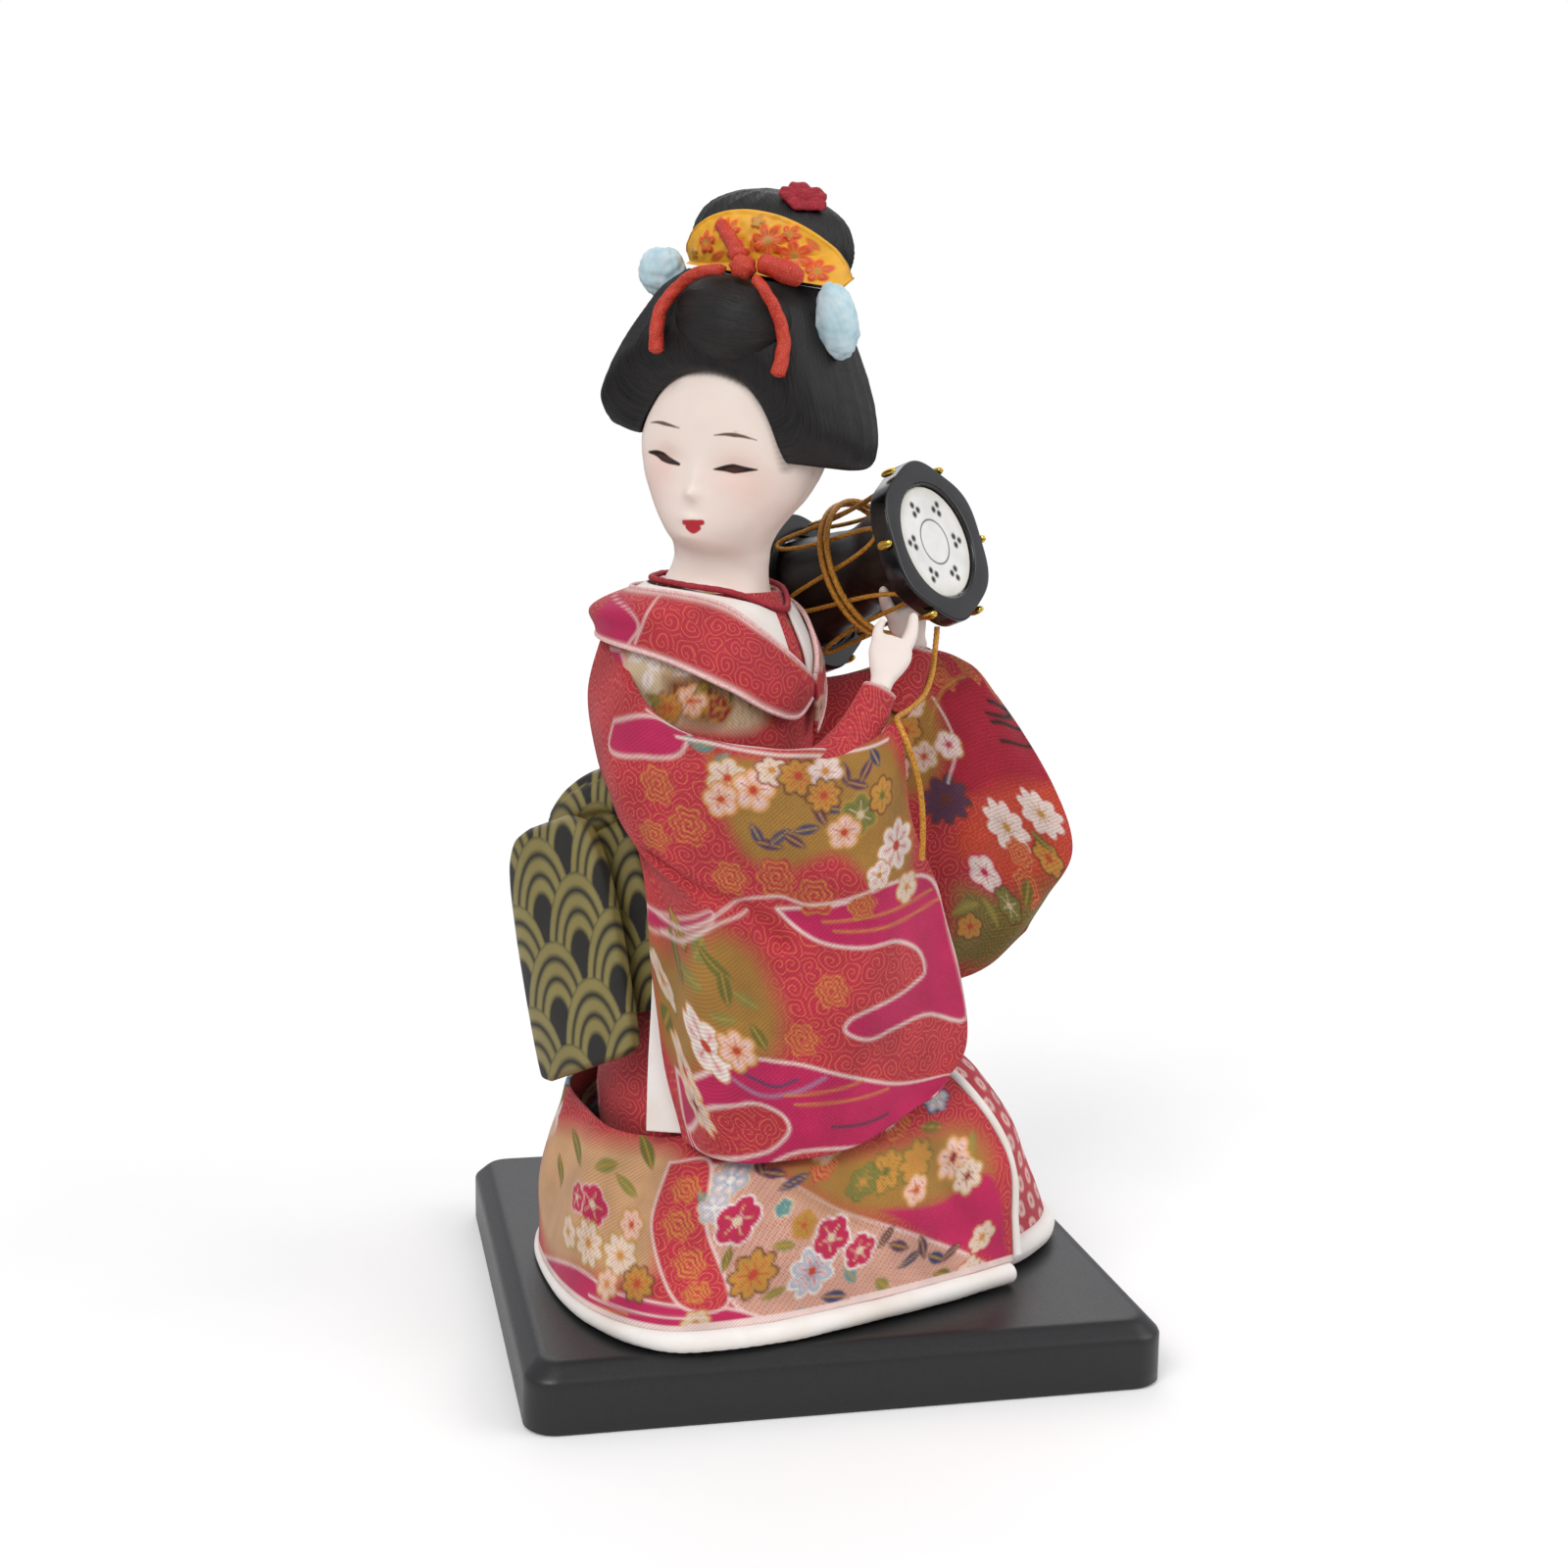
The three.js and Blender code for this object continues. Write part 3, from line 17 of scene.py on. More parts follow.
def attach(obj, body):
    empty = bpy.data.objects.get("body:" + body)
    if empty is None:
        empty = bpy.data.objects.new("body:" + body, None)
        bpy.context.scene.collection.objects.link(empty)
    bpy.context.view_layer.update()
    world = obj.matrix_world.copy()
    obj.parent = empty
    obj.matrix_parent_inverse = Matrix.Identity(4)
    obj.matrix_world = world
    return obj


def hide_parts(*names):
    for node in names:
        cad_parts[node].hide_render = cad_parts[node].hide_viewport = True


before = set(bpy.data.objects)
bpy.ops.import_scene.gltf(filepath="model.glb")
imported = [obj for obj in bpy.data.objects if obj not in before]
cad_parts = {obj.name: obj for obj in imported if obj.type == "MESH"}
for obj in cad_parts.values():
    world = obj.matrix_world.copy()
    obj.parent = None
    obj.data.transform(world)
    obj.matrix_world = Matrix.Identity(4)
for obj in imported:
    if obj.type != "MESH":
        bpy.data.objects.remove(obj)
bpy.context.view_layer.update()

# %% [markdown]
# ## Places
# The solids were drawn in turned frames: the doll on its plinth, and the torso,
# head, drum and pad in the doll. The same turns are repeated here, so that a
# surface can be written in its own simple frame, in millimetres, and then sent
# to the model's frame in metres.

# %% Frames of the turned parts
PLINTH_TOP = 12.8
GAP = 0.3
TAU = 2 * math.pi


def turn_z(degrees):
    a = math.radians(degrees)
    return np.array([[math.cos(a), -math.sin(a), 0], [math.sin(a), math.cos(a), 0], [0, 0, 1]])


def turn_y(degrees):
    a = math.radians(degrees)
    return np.array([[math.cos(a), 0, math.sin(a)], [0, 1, 0], [-math.sin(a), 0, math.cos(a)]])


def turn_x(degrees):
    a = math.radians(degrees)
    return np.array([[1, 0, 0], [0, math.cos(a), -math.sin(a)], [0, math.sin(a), math.cos(a)]])


PLACES = {
    "doll": (np.eye(3), (0, 0, 0)),
    "torso": (turn_z(-25), (-13.2, -9.4, 0)),
    "head": (turn_z(-27.5) @ turn_y(9), (-15.2, -8.5, 133.4)),
    "drum": (turn_z(53 - 90) @ turn_y(90 - 21), (14.3, 9, 136.3)),
    "pad": (turn_z(-38) @ turn_y(-12.5), (-40.2, -26, 64)),
}
DOLL_TURN = turn_z(-12.35)


def to_doll(points, place):
    turn, move = PLACES[place]
    return np.asarray(points, float) @ turn.T + np.array(move, float)


def from_doll(points, place):
    turn, move = PLACES[place]
    return (np.asarray(points, float) - np.array(move, float)) @ turn


def to_model(points, place="doll"):
    """Points of a turned frame in millimetres, as metres in the model's frame"""
    return (to_doll(points, place) @ DOLL_TURN.T + [0, 0, PLINTH_TOP]) * 0.001


# %% [markdown]
# ## Camera and floor
# The camera stands a little to the left of the plinth's front and looks
# slightly down. It was fitted to the plinth's edges, so its place is known.
# The same numbers give the place in the picture of any point, which is how
# the woven motifs are later set on the cloth where they belong.

# %% Camera
CAMERA_AT = np.array([-95.65, -427.73, 174.95])
CAMERA_TURN, CAMERA_PITCH, CAMERA_ROLL = (math.radians(a) for a in (12.3469, 8.8837, 0.8086))
LENS, SENSOR, PICTURE = 50.795, 36.0, 1600

look = np.array([math.sin(CAMERA_TURN) * math.cos(CAMERA_PITCH),
                 math.cos(CAMERA_TURN) * math.cos(CAMERA_PITCH), -math.sin(CAMERA_PITCH)])
flat_right = np.array([math.cos(CAMERA_TURN), -math.sin(CAMERA_TURN), 0])
flat_up = np.cross(flat_right, look)
view_right = flat_right * math.cos(CAMERA_ROLL) + flat_up * math.sin(CAMERA_ROLL)
view_up = flat_up * math.cos(CAMERA_ROLL) - flat_right * math.sin(CAMERA_ROLL)

camera_data = bpy.data.cameras.new("camera")
camera_data.lens = LENS
camera_data.sensor_width = SENSOR
camera = bpy.data.objects.new("camera", camera_data)
bpy.context.scene.collection.objects.link(camera)
camera.location = CAMERA_AT * 0.001
camera.rotation_mode = "QUATERNION"
axes = Matrix((view_right, view_up, -look)).transposed()
camera.rotation_quaternion = axes.to_quaternion()
bpy.context.scene.camera = camera


def in_picture(model_points):
    """Picture coordinates, in pixels from the top left, of points in metres"""
    d = np.asarray(model_points) * 1000 - CAMERA_AT
    depth = d @ look
    scale = LENS / SENSOR * PICTURE
    return np.stack([PICTURE / 2 + scale * (d @ view_right) / depth,
                     PICTURE / 2 - scale * (d @ view_up) / depth], -1)


# %% [markdown]
# ## Making meshes
# Most pieces are surfaces with two directions, so one helper turns grids of
# points into a closed mesh. It also stores two things on the vertices: cloth
# coordinates in millimetres, and the woven or painted colour.

# %% Smooth lines and surfaces
def smooth_line(points, t):
    """Smooth line through points, at shares t of the way"""
    p = np.asarray(points, float)
    last = len(p) - 1
    full = np.concatenate([2 * p[:1] - p[1:2], p, 2 * p[-1:] - p[-2:-1]])
    place = np.clip(np.atleast_1d(np.asarray(t, float)), 0, 1) * last
    k = np.minimum(place.astype(int), last - 1)
    w = (place - k).reshape((-1,) + (1,) * (p.ndim - 1))
    a, b, c, d = (full[k + i] for i in range(4))
    return ((2 * w**3 - 3 * w**2 + 1) * b + (w**3 - 2 * w**2 + w) * (c - a) / 2
            + (3 * w**2 - 2 * w**3) * c + (w**3 - w**2) * (d - b) / 2)


def guided(rows, u, v):
    """Grid of points on the smooth surface through rows of guide points"""
    across = smooth_line(np.swapaxes(np.asarray(rows, float), 0, 1), u)
    return smooth_line(np.swapaxes(across, 0, 1), v)


def stations(table, x):
    """Values that change smoothly through stations [place, value, ...]"""
    tab = np.asarray(table, float)
    x = np.asarray(x, float)
    k = np.clip(np.searchsorted(tab[1:-1, 0], x, side="left"), 0, len(tab) - 2)
    before, start = tab[np.maximum(k - 1, 0)], tab[k]
    end, after = tab[k + 1], tab[np.minimum(k + 2, len(tab) - 1)]
    span = (end - start)[..., :1]
    t = np.clip((x[..., None] - start[..., :1]) / span, 0, 1)
    slope_in = (end - before) / (end - before)[..., :1] * span
    slope_out = (after - start) / (after - start)[..., :1] * span
    value = ((2 * t**3 - 3 * t**2 + 1) * start + (t**3 - 2 * t**2 + t) * slope_in
             + (3 * t**2 - 2 * t**3) * end + (t**3 - t**2) * slope_out)
    return value[..., 1:]


def ease(x, low, high):
    t = np.clip((np.asarray(x, float) - low) / (high - low), 0, 1)
    return t * t * (3 - 2 * t)


def unit(v):
    """Directions, each made one long"""
    return v / np.linalg.norm(v, axis=-1, keepdims=True)


def round_turn(count):
    return TAU * np.arange(count) / count


def run_length(line):
    """How far along a line each of its points is"""
    return np.concatenate([[0], np.cumsum(np.linalg.norm(np.diff(line, axis=0), axis=1))])


def oval(angle, half, deep, z):
    """Points of level ovals round the z axis"""
    x = half * np.cos(angle)
    return np.stack([x, deep * np.sin(angle), z + 0 * x], -1)


def rings_round(line, side, over, size, angle):
    """Rings round a line; size is their radius at each step and angle"""
    return line[:, None] + side[:, None] * (size * np.cos(angle))[..., None] \
        + over[:, None] * (size * np.sin(angle))[..., None]


def swept(line, size, angle, up=(0, 0, 1.0)):
    """Rings round a line, each square to it and turned to an up direction"""
    along = unit(np.gradient(line, axis=0))
    side = unit(np.cross(along, up))
    return rings_round(line, side, np.cross(side, along), size, angle)


def grid_normals(grid):
    n = np.cross(np.gradient(grid, axis=1), np.gradient(grid, axis=0))
    return n / np.maximum(np.linalg.norm(n, axis=-1, keepdims=True), 1e-9)


def ripple(points, scale, seed=0):
    """A cheap smooth noise from -1 to 1: a sum of seeded waves"""
    rng = np.random.default_rng(seed)
    total = 0
    for _ in range(6):
        way = rng.normal(size=points.shape[-1])
        way /= np.linalg.norm(way)
        total = total + np.sin(points @ way * TAU / scale * rng.uniform(0.6, 1.5) + rng.uniform(0, TAU))
    return total / 4


# %% Meshes from grids
def quads(rows, cols, offset=0, wrap=False, flip=False):
    j, i = np.meshgrid(np.arange(rows - 1), np.arange(cols if wrap else cols - 1), indexing="ij")
    i2 = (i + 1) % cols
    face = np.stack([j * cols + i, j * cols + i2, (j + 1) * cols + i2, (j + 1) * cols + i], -1).reshape(-1, 4)
    return (face[:, ::-1] if flip else face) + offset


def new_mesh(name, points, faces, material, uv=None, paint=None):
    """A mesh object from points in metres; uv and paint are one value per point"""
    mesh = bpy.data.meshes.new(name)
    mesh.from_pydata([tuple(p) for p in np.asarray(points)], [], [tuple(int(i) for i in f) for f in faces])
    mesh.update()
    mesh.polygons.foreach_set("use_smooth", np.ones(len(mesh.polygons), bool))
    index = np.empty(len(mesh.loops), int)
    mesh.loops.foreach_get("vertex_index", index)
    if uv is not None:
        layer = mesh.uv_layers.new(name="cloth")
        layer.data.foreach_set("uv", (np.asarray(uv, float)[index] * 0.01).ravel())
    if paint is not None:
        layer = mesh.color_attributes.new("paint", "FLOAT_COLOR", "POINT")
        layer.data.foreach_set("color", np.asarray(paint, float).ravel())
    mesh.materials.append(material)
    piece = bpy.data.objects.new(name, mesh)
    bpy.context.scene.collection.objects.link(piece)
    return piece


def turned_out(piece):
    """Makes a closed mesh's faces point outwards"""
    bm = bmesh.new()
    bm.from_mesh(piece.data)
    bmesh.ops.recalc_face_normals(bm, faces=bm.faces)
    bm.to_mesh(piece.data)
    bm.free()
    return piece


def fit(piece, body, slot, *nodes):
    """Sets a finished piece on its body, and hides the solids that it stands for"""
    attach(piece, body)
    if nodes:
        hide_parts(*nodes)
    return piece


def two_skins(name, outer, inner, material, place="doll", wrap=False, uv=None, paint=None):
    """A sheet with thickness from two grids of points, closed round its rim"""
    rows, cols = outer.shape[:2]
    count = rows * cols
    faces = [quads(rows, cols, 0, wrap), quads(rows, cols, count, wrap, flip=True)]
    rims = []
    across = np.arange(cols)
    if wrap:
        across = np.append(across, 0)
    for row in (0, rows - 1):
        a = row * cols + across
        rims.append(np.stack([a[:-1], a[:-1] + count, a[1:] + count, a[1:]], -1))
    if not wrap:
        for col in (0, cols - 1):
            a = np.arange(rows) * cols + col
            rims.append(np.stack([a[:-1], a[1:], a[1:] + count, a[:-1] + count], -1))
    points = to_model(np.concatenate([outer.reshape(-1, 3), inner.reshape(-1, 3)]), place)
    uv2 = None if uv is None else np.concatenate([uv.reshape(-1, 2)] * 2)
    paint2 = None if paint is None else np.concatenate([paint.reshape(-1, 4)] * 2)
    return turned_out(new_mesh(name, points, np.concatenate(faces + rims), material, uv2, paint2))


def lofted(name, rings, material, place="doll", uv=None, paint=None):
    """A closed body from a stack of rings, capped at both ends"""
    rows, cols = rings.shape[:2]
    faces = [tuple(f) for f in quads(rows, cols, 0, wrap=True)]
    hub = rows * cols
    for i in range(cols):
        j = (i + 1) % cols
        faces.append((hub, j, i))
        faces.append((hub + 1, (rows - 1) * cols + i, (rows - 1) * cols + j))

    def with_hubs(values):
        if values is not None:
            return np.concatenate([values.reshape(hub, -1), values[0].mean(0)[None], values[-1].mean(0)[None]])

    points = to_model(with_hubs(rings), place)
    return turned_out(new_mesh(name, points, faces, material, with_hubs(uv), with_hubs(paint)))


def looped(name, rings, material, place, uv=None):
    """A closed ring from a stack of rings, joined end to end"""
    rows, cols = rings.shape[:2]
    last, i = (rows - 1) * cols, np.arange(cols)
    seam = np.stack([last + i, last + (i + 1) % cols, (i + 1) % cols, i], -1)
    faces = np.concatenate([quads(rows, cols, 0, wrap=True), seam])
    return turned_out(new_mesh(name, to_model(rings.reshape(-1, 3), place), faces, material, uv))


STRAND_RIDGE, STRAND_SINK = 0.13, 0.08


def rope(name, line, radius, material, place="doll", sides=10, strands=0, pitch=3.0, closed=False):
    """A round cord along a line; strands twist round it as low ridges"""
    along = unit(np.roll(line, -1, 0) - np.roll(line, 1, 0) if closed else np.gradient(line, axis=0))
    side = np.zeros_like(line)
    side[0] = np.cross(along[0], [0.3, 0.2, 0.93])
    for k in range(1, len(line)):
        side[k] = side[k - 1] - along[k] * (side[k - 1] @ along[k])
    side = unit(side)
    length, angle = run_length(line), round_turn(sides)
    ring = np.broadcast_to(np.asarray(radius, float), (len(line),))[:, None] * np.ones((len(line), sides))
    if strands:
        ridge = np.abs(np.sin(strands / 2 * (angle[None] - TAU * length[:, None] / pitch / 2)))
        ring = ring * (1 + (STRAND_RIDGE * ridge - STRAND_SINK))
    rings = rings_round(line, side, np.cross(along, side), ring, angle)
    flat = np.stack(np.broadcast_arrays(angle * 2, length[:, None]), -1)
    if closed:
        return looped(name, rings, material, place, flat.reshape(-1, 2))
    return lofted(name, rings, material, place, flat)


# %% [markdown]
# ## Finishes
# Every finish is made of nodes. A principled shader gives the gloss, and noise,
# threads or grain at their real size give the colour its small changes and the
# surface its bump. Large woven or painted figures come from the colour stored on
# the vertices, because they sit at known places on the real doll.

# %% Short ways to build node trees
def tint(code):
    """A colour written as six hex digits, as linear red, green and blue"""
    c = np.array([int(code[i:i + 2], 16) / 255 for i in (0, 2, 4)])
    return np.where(c <= 0.04045, c / 12.92, ((c + 0.055) / 1.055) ** 2.4)


class Finish:
    """A node material. Values go straight on the shader; sockets are joined to it."""

    def __init__(self, name, colour, roughness, **values):
        self.material = bpy.data.materials.new(name)
        self.material.use_nodes = True
        self.tree = self.material.node_tree
        self.shader = self.tree.nodes["Principled BSDF"]
        self.shader.inputs["Base Color"].default_value = (*tint(colour), 1)
        self.shader.inputs["Roughness"].default_value = roughness
        self.material.diffuse_color = (*tint(colour), 1)
        for key, value in values.items():
            socket = "Specular IOR Level" if key == "gloss" else key.replace("_", " ").title()
            self.shader.inputs[socket].default_value = value

    def put(self, node, socket, value):
        if isinstance(value, bpy.types.NodeSocket):
            self.tree.links.new(value, node.inputs[socket])
        else:
            node.inputs[socket].default_value = value

    def add(self, kind, settings=None, **inputs):
        node = self.tree.nodes.new("ShaderNode" + kind)
        for key, value in (settings or {}).items():
            setattr(node, key, value)
        for key, value in inputs.items():
            self.put(node, key.replace("_", " "), value)
        return node

    def math(self, operation, a, b=0.0, c=0.0):
        node = self.add("Math", {"operation": operation})
        for i, value in enumerate((a, b, c)):
            self.put(node, i, value)
        return node.outputs[0]

    def mix(self, share, a, b, way="MIX"):
        node = self.add("Mix", {"data_type": "RGBA", "blend_type": way})
        for socket, value in ((0, share), (6, a), (7, b)):
            self.put(node, socket, (*value, 1) if isinstance(value, np.ndarray) else value)
        return node.outputs[2]

    def cloth_mm(self):
        """Cloth coordinates in millimetres, split into across and along"""
        uv = self.add("UVMap", {"uv_map": "cloth"})
        scaled = self.add("VectorMath", {"operation": "SCALE"}, Vector=uv.outputs[0], Scale=100.0)
        parts = self.add("SeparateXYZ", Vector=scaled.outputs[0])
        return scaled.outputs[0], parts.outputs[0], parts.outputs[1]

    def noise(self, size_mm, detail=3.0, vector=None):
        """Noise from 0 to 1 whose features are about size_mm across"""
        where = vector or self.add("TexCoord").outputs["Object"]
        scale = 1.0 / size_mm if vector else 1000.0 / size_mm
        node = self.add("TexNoise", Vector=where, Scale=scale, Detail=detail)
        return node.outputs["Fac"]

    def between(self, value, low, high, start=0.0, end=1.0):
        node = self.add("MapRange", {"clamp": True}, Value=value)
        for socket, number in zip(("From Min", "From Max", "To Min", "To Max"), (low, high, start, end)):
            self.put(node, socket, number)
        return node.outputs[0]

    def bump(self, height, depth_mm, strength=1.0):
        node = self.add("Bump", Height=height, Distance=depth_mm * 0.001, Strength=strength)
        self.put(self.shader, "Normal", node.outputs[0])

    def colour(self, socket):
        self.put(self.shader, "Base Color", socket)

    def rough(self, socket):
        self.put(self.shader, "Roughness", socket)

    def toned(self, colour, tone):
        """The base colour, made darker and lighter by a tone about 1"""
        grey = self.add("CombineColor", Red=tone, Green=tone, Blue=tone).outputs[0]
        self.colour(self.mix(1.0, colour, grey, "MULTIPLY"))

    def painted(self):
        node = self.add("Attribute", {"attribute_name": "paint"})
        return node.outputs["Color"], node.outputs["Alpha"]

    def threads(self, across, along, pitch):
        """Height of a plain weave: threads that pass over and under each other"""
        wave = [self.math("SINE", self.math("MULTIPLY", way, TAU / pitch)) for way in (across, along)]
        return self.math("MULTIPLY", wave[0], wave[1])


# %% [markdown]
# ### Brocade
# The robe is stiff woven brocade: a rose red ground covered with fine curling
# gold stems, with larger clouds, flowers and leaves. The curls are made in the
# shader as one spiral in each cell of a Voronoi pattern, so they stay sharp at
# any distance. The larger figures come from the vertex colours; their alpha
# says how much of the curling ground shows.

# %% Brocade finish
THREAD, TWILL = 0.42, 0.85
SCROLL_CELL, CURL_TURNS, CURL_WANDER = 3.9, 3.8, 2.6
STEM_HALF, STEM_FADE, STEM_SHARE, STEM_RELIEF = 0.07, 0.19, 0.6, 1.6
GOLD_STEM = tint("dc7348")


def brocade_finish(name, sheen):
    f = Finish(name, "b52a3c", 0.66, sheen_weight=sheen, sheen_roughness=0.4, gloss=0.35)
    cloth, across, along = f.cloth_mm()
    paint, ground = f.painted()
    wobble = f.add("TexNoise", Vector=cloth, Scale=0.22, Detail=1.0)
    bent = f.add("VectorMath", {"operation": "MULTIPLY_ADD"})
    f.put(bent, 0, wobble.outputs["Color"])
    bent.inputs[1].default_value = (CURL_WANDER, CURL_WANDER, 0)
    f.put(bent, 2, cloth)
    cells = f.add("TexVoronoi", {"voronoi_dimensions": "2D"}, Vector=bent.outputs[0], Scale=1 / SCROLL_CELL,
                  Randomness=0.75)
    away = f.add("VectorMath", {"operation": "SUBTRACT"})
    f.put(away, 0, bent.outputs[0])
    f.put(away, 1, cells.outputs["Position"])
    parts = f.add("SeparateXYZ", Vector=away.outputs[0])
    angle = f.math("DIVIDE", f.math("ARCTAN2", parts.outputs[1], parts.outputs[0]), TAU)
    turns = f.math("ADD", angle, f.math("MULTIPLY", cells.outputs["Distance"], CURL_TURNS))
    ring = f.math("ABSOLUTE", f.math("SUBTRACT", f.math("FRACT", f.math("ADD", turns, 10.0)), 0.5))
    stem = f.between(ring, STEM_HALF, STEM_FADE, STEM_SHARE, 0.0)
    stem = f.math("MULTIPLY", stem, ground)
    weave = f.threads(across, along, THREAD)
    soft = f.noise(9.0, 2.0)
    worn = f.between(soft, 0.3, 0.7, 0.82, 1.1)
    thread_tone = f.between(weave, -1.0, 1.0, 0.9, 1.06)
    colour = f.mix(stem, paint, GOLD_STEM)
    slant = f.math("SINE", f.math("MULTIPLY", f.math("ADD", across, along), TAU / TWILL))
    thread_tone = f.math("MULTIPLY", thread_tone, f.between(slant, -0.6, 0.8, 0.86, 1.06))
    f.toned(colour, f.math("MULTIPLY", worn, thread_tone))
    f.rough(f.between(stem, 0.0, 1.0, 0.7, 0.5))
    f.bump(f.math("ADD", weave, f.math("MULTIPLY", stem, STEM_RELIEF)), 0.06, 0.75)
    return f.material


BROCADE = brocade_finish("woven brocade", 0.12)
print("finish:", BROCADE.name)

# %% [markdown]
# ### Silk, black brocade and drum skin
# White silk only needs a fine weave and a little yellowing. The belt is black
# brocade with a woven wave pattern in dull gold thread, which is glossier than
# the ground. The drum's skins are smooth, faintly mottled and painted.

# %% Plain woven and painted finishes
def silk_finish(name, colour, stain):
    f = Finish(name, colour, 0.6, sheen_weight=0.15, gloss=0.3)
    _, across, along = f.cloth_mm()
    weave = f.threads(across, along, 0.34)
    f.colour(f.mix(f.between(f.noise(14.0), 0.45, 0.8), tint(colour), tint(stain)))
    f.bump(f.math("ADD", weave, f.math("MULTIPLY", f.noise(1.6), 2.0)), 0.05, 0.5)
    return f.material


def painted_finish(name, roughness, thread, depth_mm, gloss_change, **values):
    """A finish whose colours are all on the vertices; alpha marks the shiny figure"""
    f = Finish(name, "808080", roughness, **values)
    paint, figure = f.painted()
    if thread:
        _, across, along = f.cloth_mm()
        grain = f.threads(across, along, thread)
    else:
        grain = f.noise(0.5, 4.0)
    f.toned(paint, f.between(f.noise(6.0), 0.3, 0.7, 0.9, 1.06))
    f.rough(f.between(figure, 0.0, 1.0, roughness, roughness + gloss_change))
    f.bump(f.math("ADD", grain, f.math("MULTIPLY", figure, 1.5)), depth_mm, 0.6)
    return f.material


WHITE_SILK = silk_finish("white silk", "f4eee8", "e6d9cb")
BLACK_BROCADE = painted_finish("black wave brocade", 0.6, 0.4, 0.06, -0.2, sheen_weight=0.05)
DRUM_SKIN = painted_finish("drum skin", 0.55, 0, 0.02, 0.1)
print("finishes:", WHITE_SILK.name, BLACK_BROCADE.name, DRUM_SKIN.name)

# %% [markdown]
# ### Moulding, hair and metal
# The face and hands are a pale matt moulding with a soft painted blush. Hair is
# black silk floss: fine streaks run along each lock and catch the light. The
# crown is gilt card with red painted relief, and the ties are cord full of
# glitter flecks, whose glint is painted on as a pale orange colour.

# %% Face, hair and small trims
def skin_finish():
    f = Finish("painted shell white", "f4e0d2", 0.42, subsurface_weight=0.08, subsurface_scale=0.002,
               gloss=0.35)
    paint, _ = f.painted()
    f.toned(paint, f.between(f.noise(3.0), 0.2, 0.8, 0.985, 1.01))
    f.bump(f.noise(0.6, 4.0), 0.012, 0.5)
    return f.material


def hair_finish():
    f = Finish("black hair floss", "0c0b0c", 0.5, gloss=0.45)
    cloth, _, _ = f.cloth_mm()
    stretch = f.add("Mapping", Vector=cloth)
    stretch.inputs["Scale"].default_value = (4.5, 0.16, 1)
    fine = f.add("TexNoise", Vector=stretch.outputs[0], Scale=1.0, Detail=4.0).outputs["Fac"]
    f.colour(f.mix(f.between(fine, 0.35, 0.75), tint("060506"), tint("231d1c")))
    f.rough(f.between(fine, 0.3, 0.7, 0.42, 0.62))
    f.bump(fine, 0.28, 0.8)
    return f.material


def glitter_finish(name, dark, bright, fleck_glint):
    f = Finish(name, dark, 0.5, gloss=0.6)
    spots = f.add("TexVoronoi", Vector=f.add("TexCoord").outputs["Object"], Scale=2600.0)
    flecks = f.between(spots.outputs["Distance"], 0.12, 0.4, 1.0, 0.0)
    base = f.mix(f.noise(1.2), tint(dark), tint(bright))
    # The flecks are real glitter, but their pale orange colour is painted glint that stays bright under any lamp
    f.colour(f.mix(f.math("MULTIPLY", flecks, 0.55), base, tint(fleck_glint)))
    f.rough(f.between(flecks, 0.0, 1.0, 0.6, 0.22))
    f.bump(f.math("ADD", flecks, f.noise(0.8)), 0.12, 0.9)
    return f.material


def grained_finish(name, dark, bright, roughness, grain_mm, depth_mm, spread=0.12, **values):
    f = Finish(name, dark, roughness, **values)
    grain = f.noise(grain_mm, 4.0)
    f.colour(f.mix(f.between(grain, 0.35, 0.65), tint(dark), tint(bright)))
    f.rough(f.between(grain, 0.3, 0.7, roughness - spread / 2, roughness + spread / 2))
    f.bump(grain, depth_mm, 0.7)
    return f.material


SKIN = skin_finish()
HAIR = hair_finish()
# The last colour is the painted glint of the glitter flecks
RED_TIE = glitter_finish("glitter tie cord", "a3160f", "df3a1c", "ff9a5c")
GILT_CARD = painted_finish("gilt card", 0.5, 0, 0.05, -0.1, gloss=0.5)
PALE_BLUE = grained_finish("pale blue fleece", "b4d3dc", "cfe3e8", 0.7, 3.0, 0.15, sheen_weight=0.3)
FLOWER_RED = grained_finish("rose red crepe", "7e1020", "b02434", 0.8, 0.5, 0.12)
COLLAR_RED = grained_finish("dark red piping", "8c1522", "b4283a", 0.7, 0.5, 0.08)
PINK_PIPING = grained_finish("pale pink piping", "dfa9a8", "f0cbc6", 0.65, 0.6, 0.08)
GILT_METAL = grained_finish("gilt brass", "c9a23c", "e6c968", 0.28, 1.1, 0.02, metallic=1.0)
GOLD_CORD = grained_finish("gold twisted cord", "a8651a", "e0a53c", 0.45, 0.35, 0.1, metallic=0.25)
LACQUER = grained_finish("black lacquer", "0b0b0c", "131314", 0.26, 7.0, 0.01, coat_weight=0.25)
BOWL_WOOD = grained_finish("stained bowl wood", "120b08", "281810", 0.4, 1.6, 0.03)
PLASTIC = grained_finish("black moulded plastic", "121213", "1a1a1b", 0.4, 0.35, 0.02)
STRAW = grained_finish("bound straw", "9a7f4d", "c9ac74", 0.95, 0.9, 0.4)
DOWEL = grained_finish("dowel wood", "b08a5a", "cfae7c", 0.7, 2.5, 0.1)
STEEL = grained_finish("screw steel", "9c9c99", "c4c4c0", 0.32, 0.6, 0.02, metallic=1.0)
print("finishes so far:", len(bpy.data.materials))

# %% [markdown]
# ## Woven figures
# The figures on the cloth are laid in millimetres of cloth, so that a flower is
# as round on a fold as on the flat. Where one belongs is known from its place in
# the picture: the nearest point of the cloth that faces the camera there is
# looked up, and the figure is woven round that point.

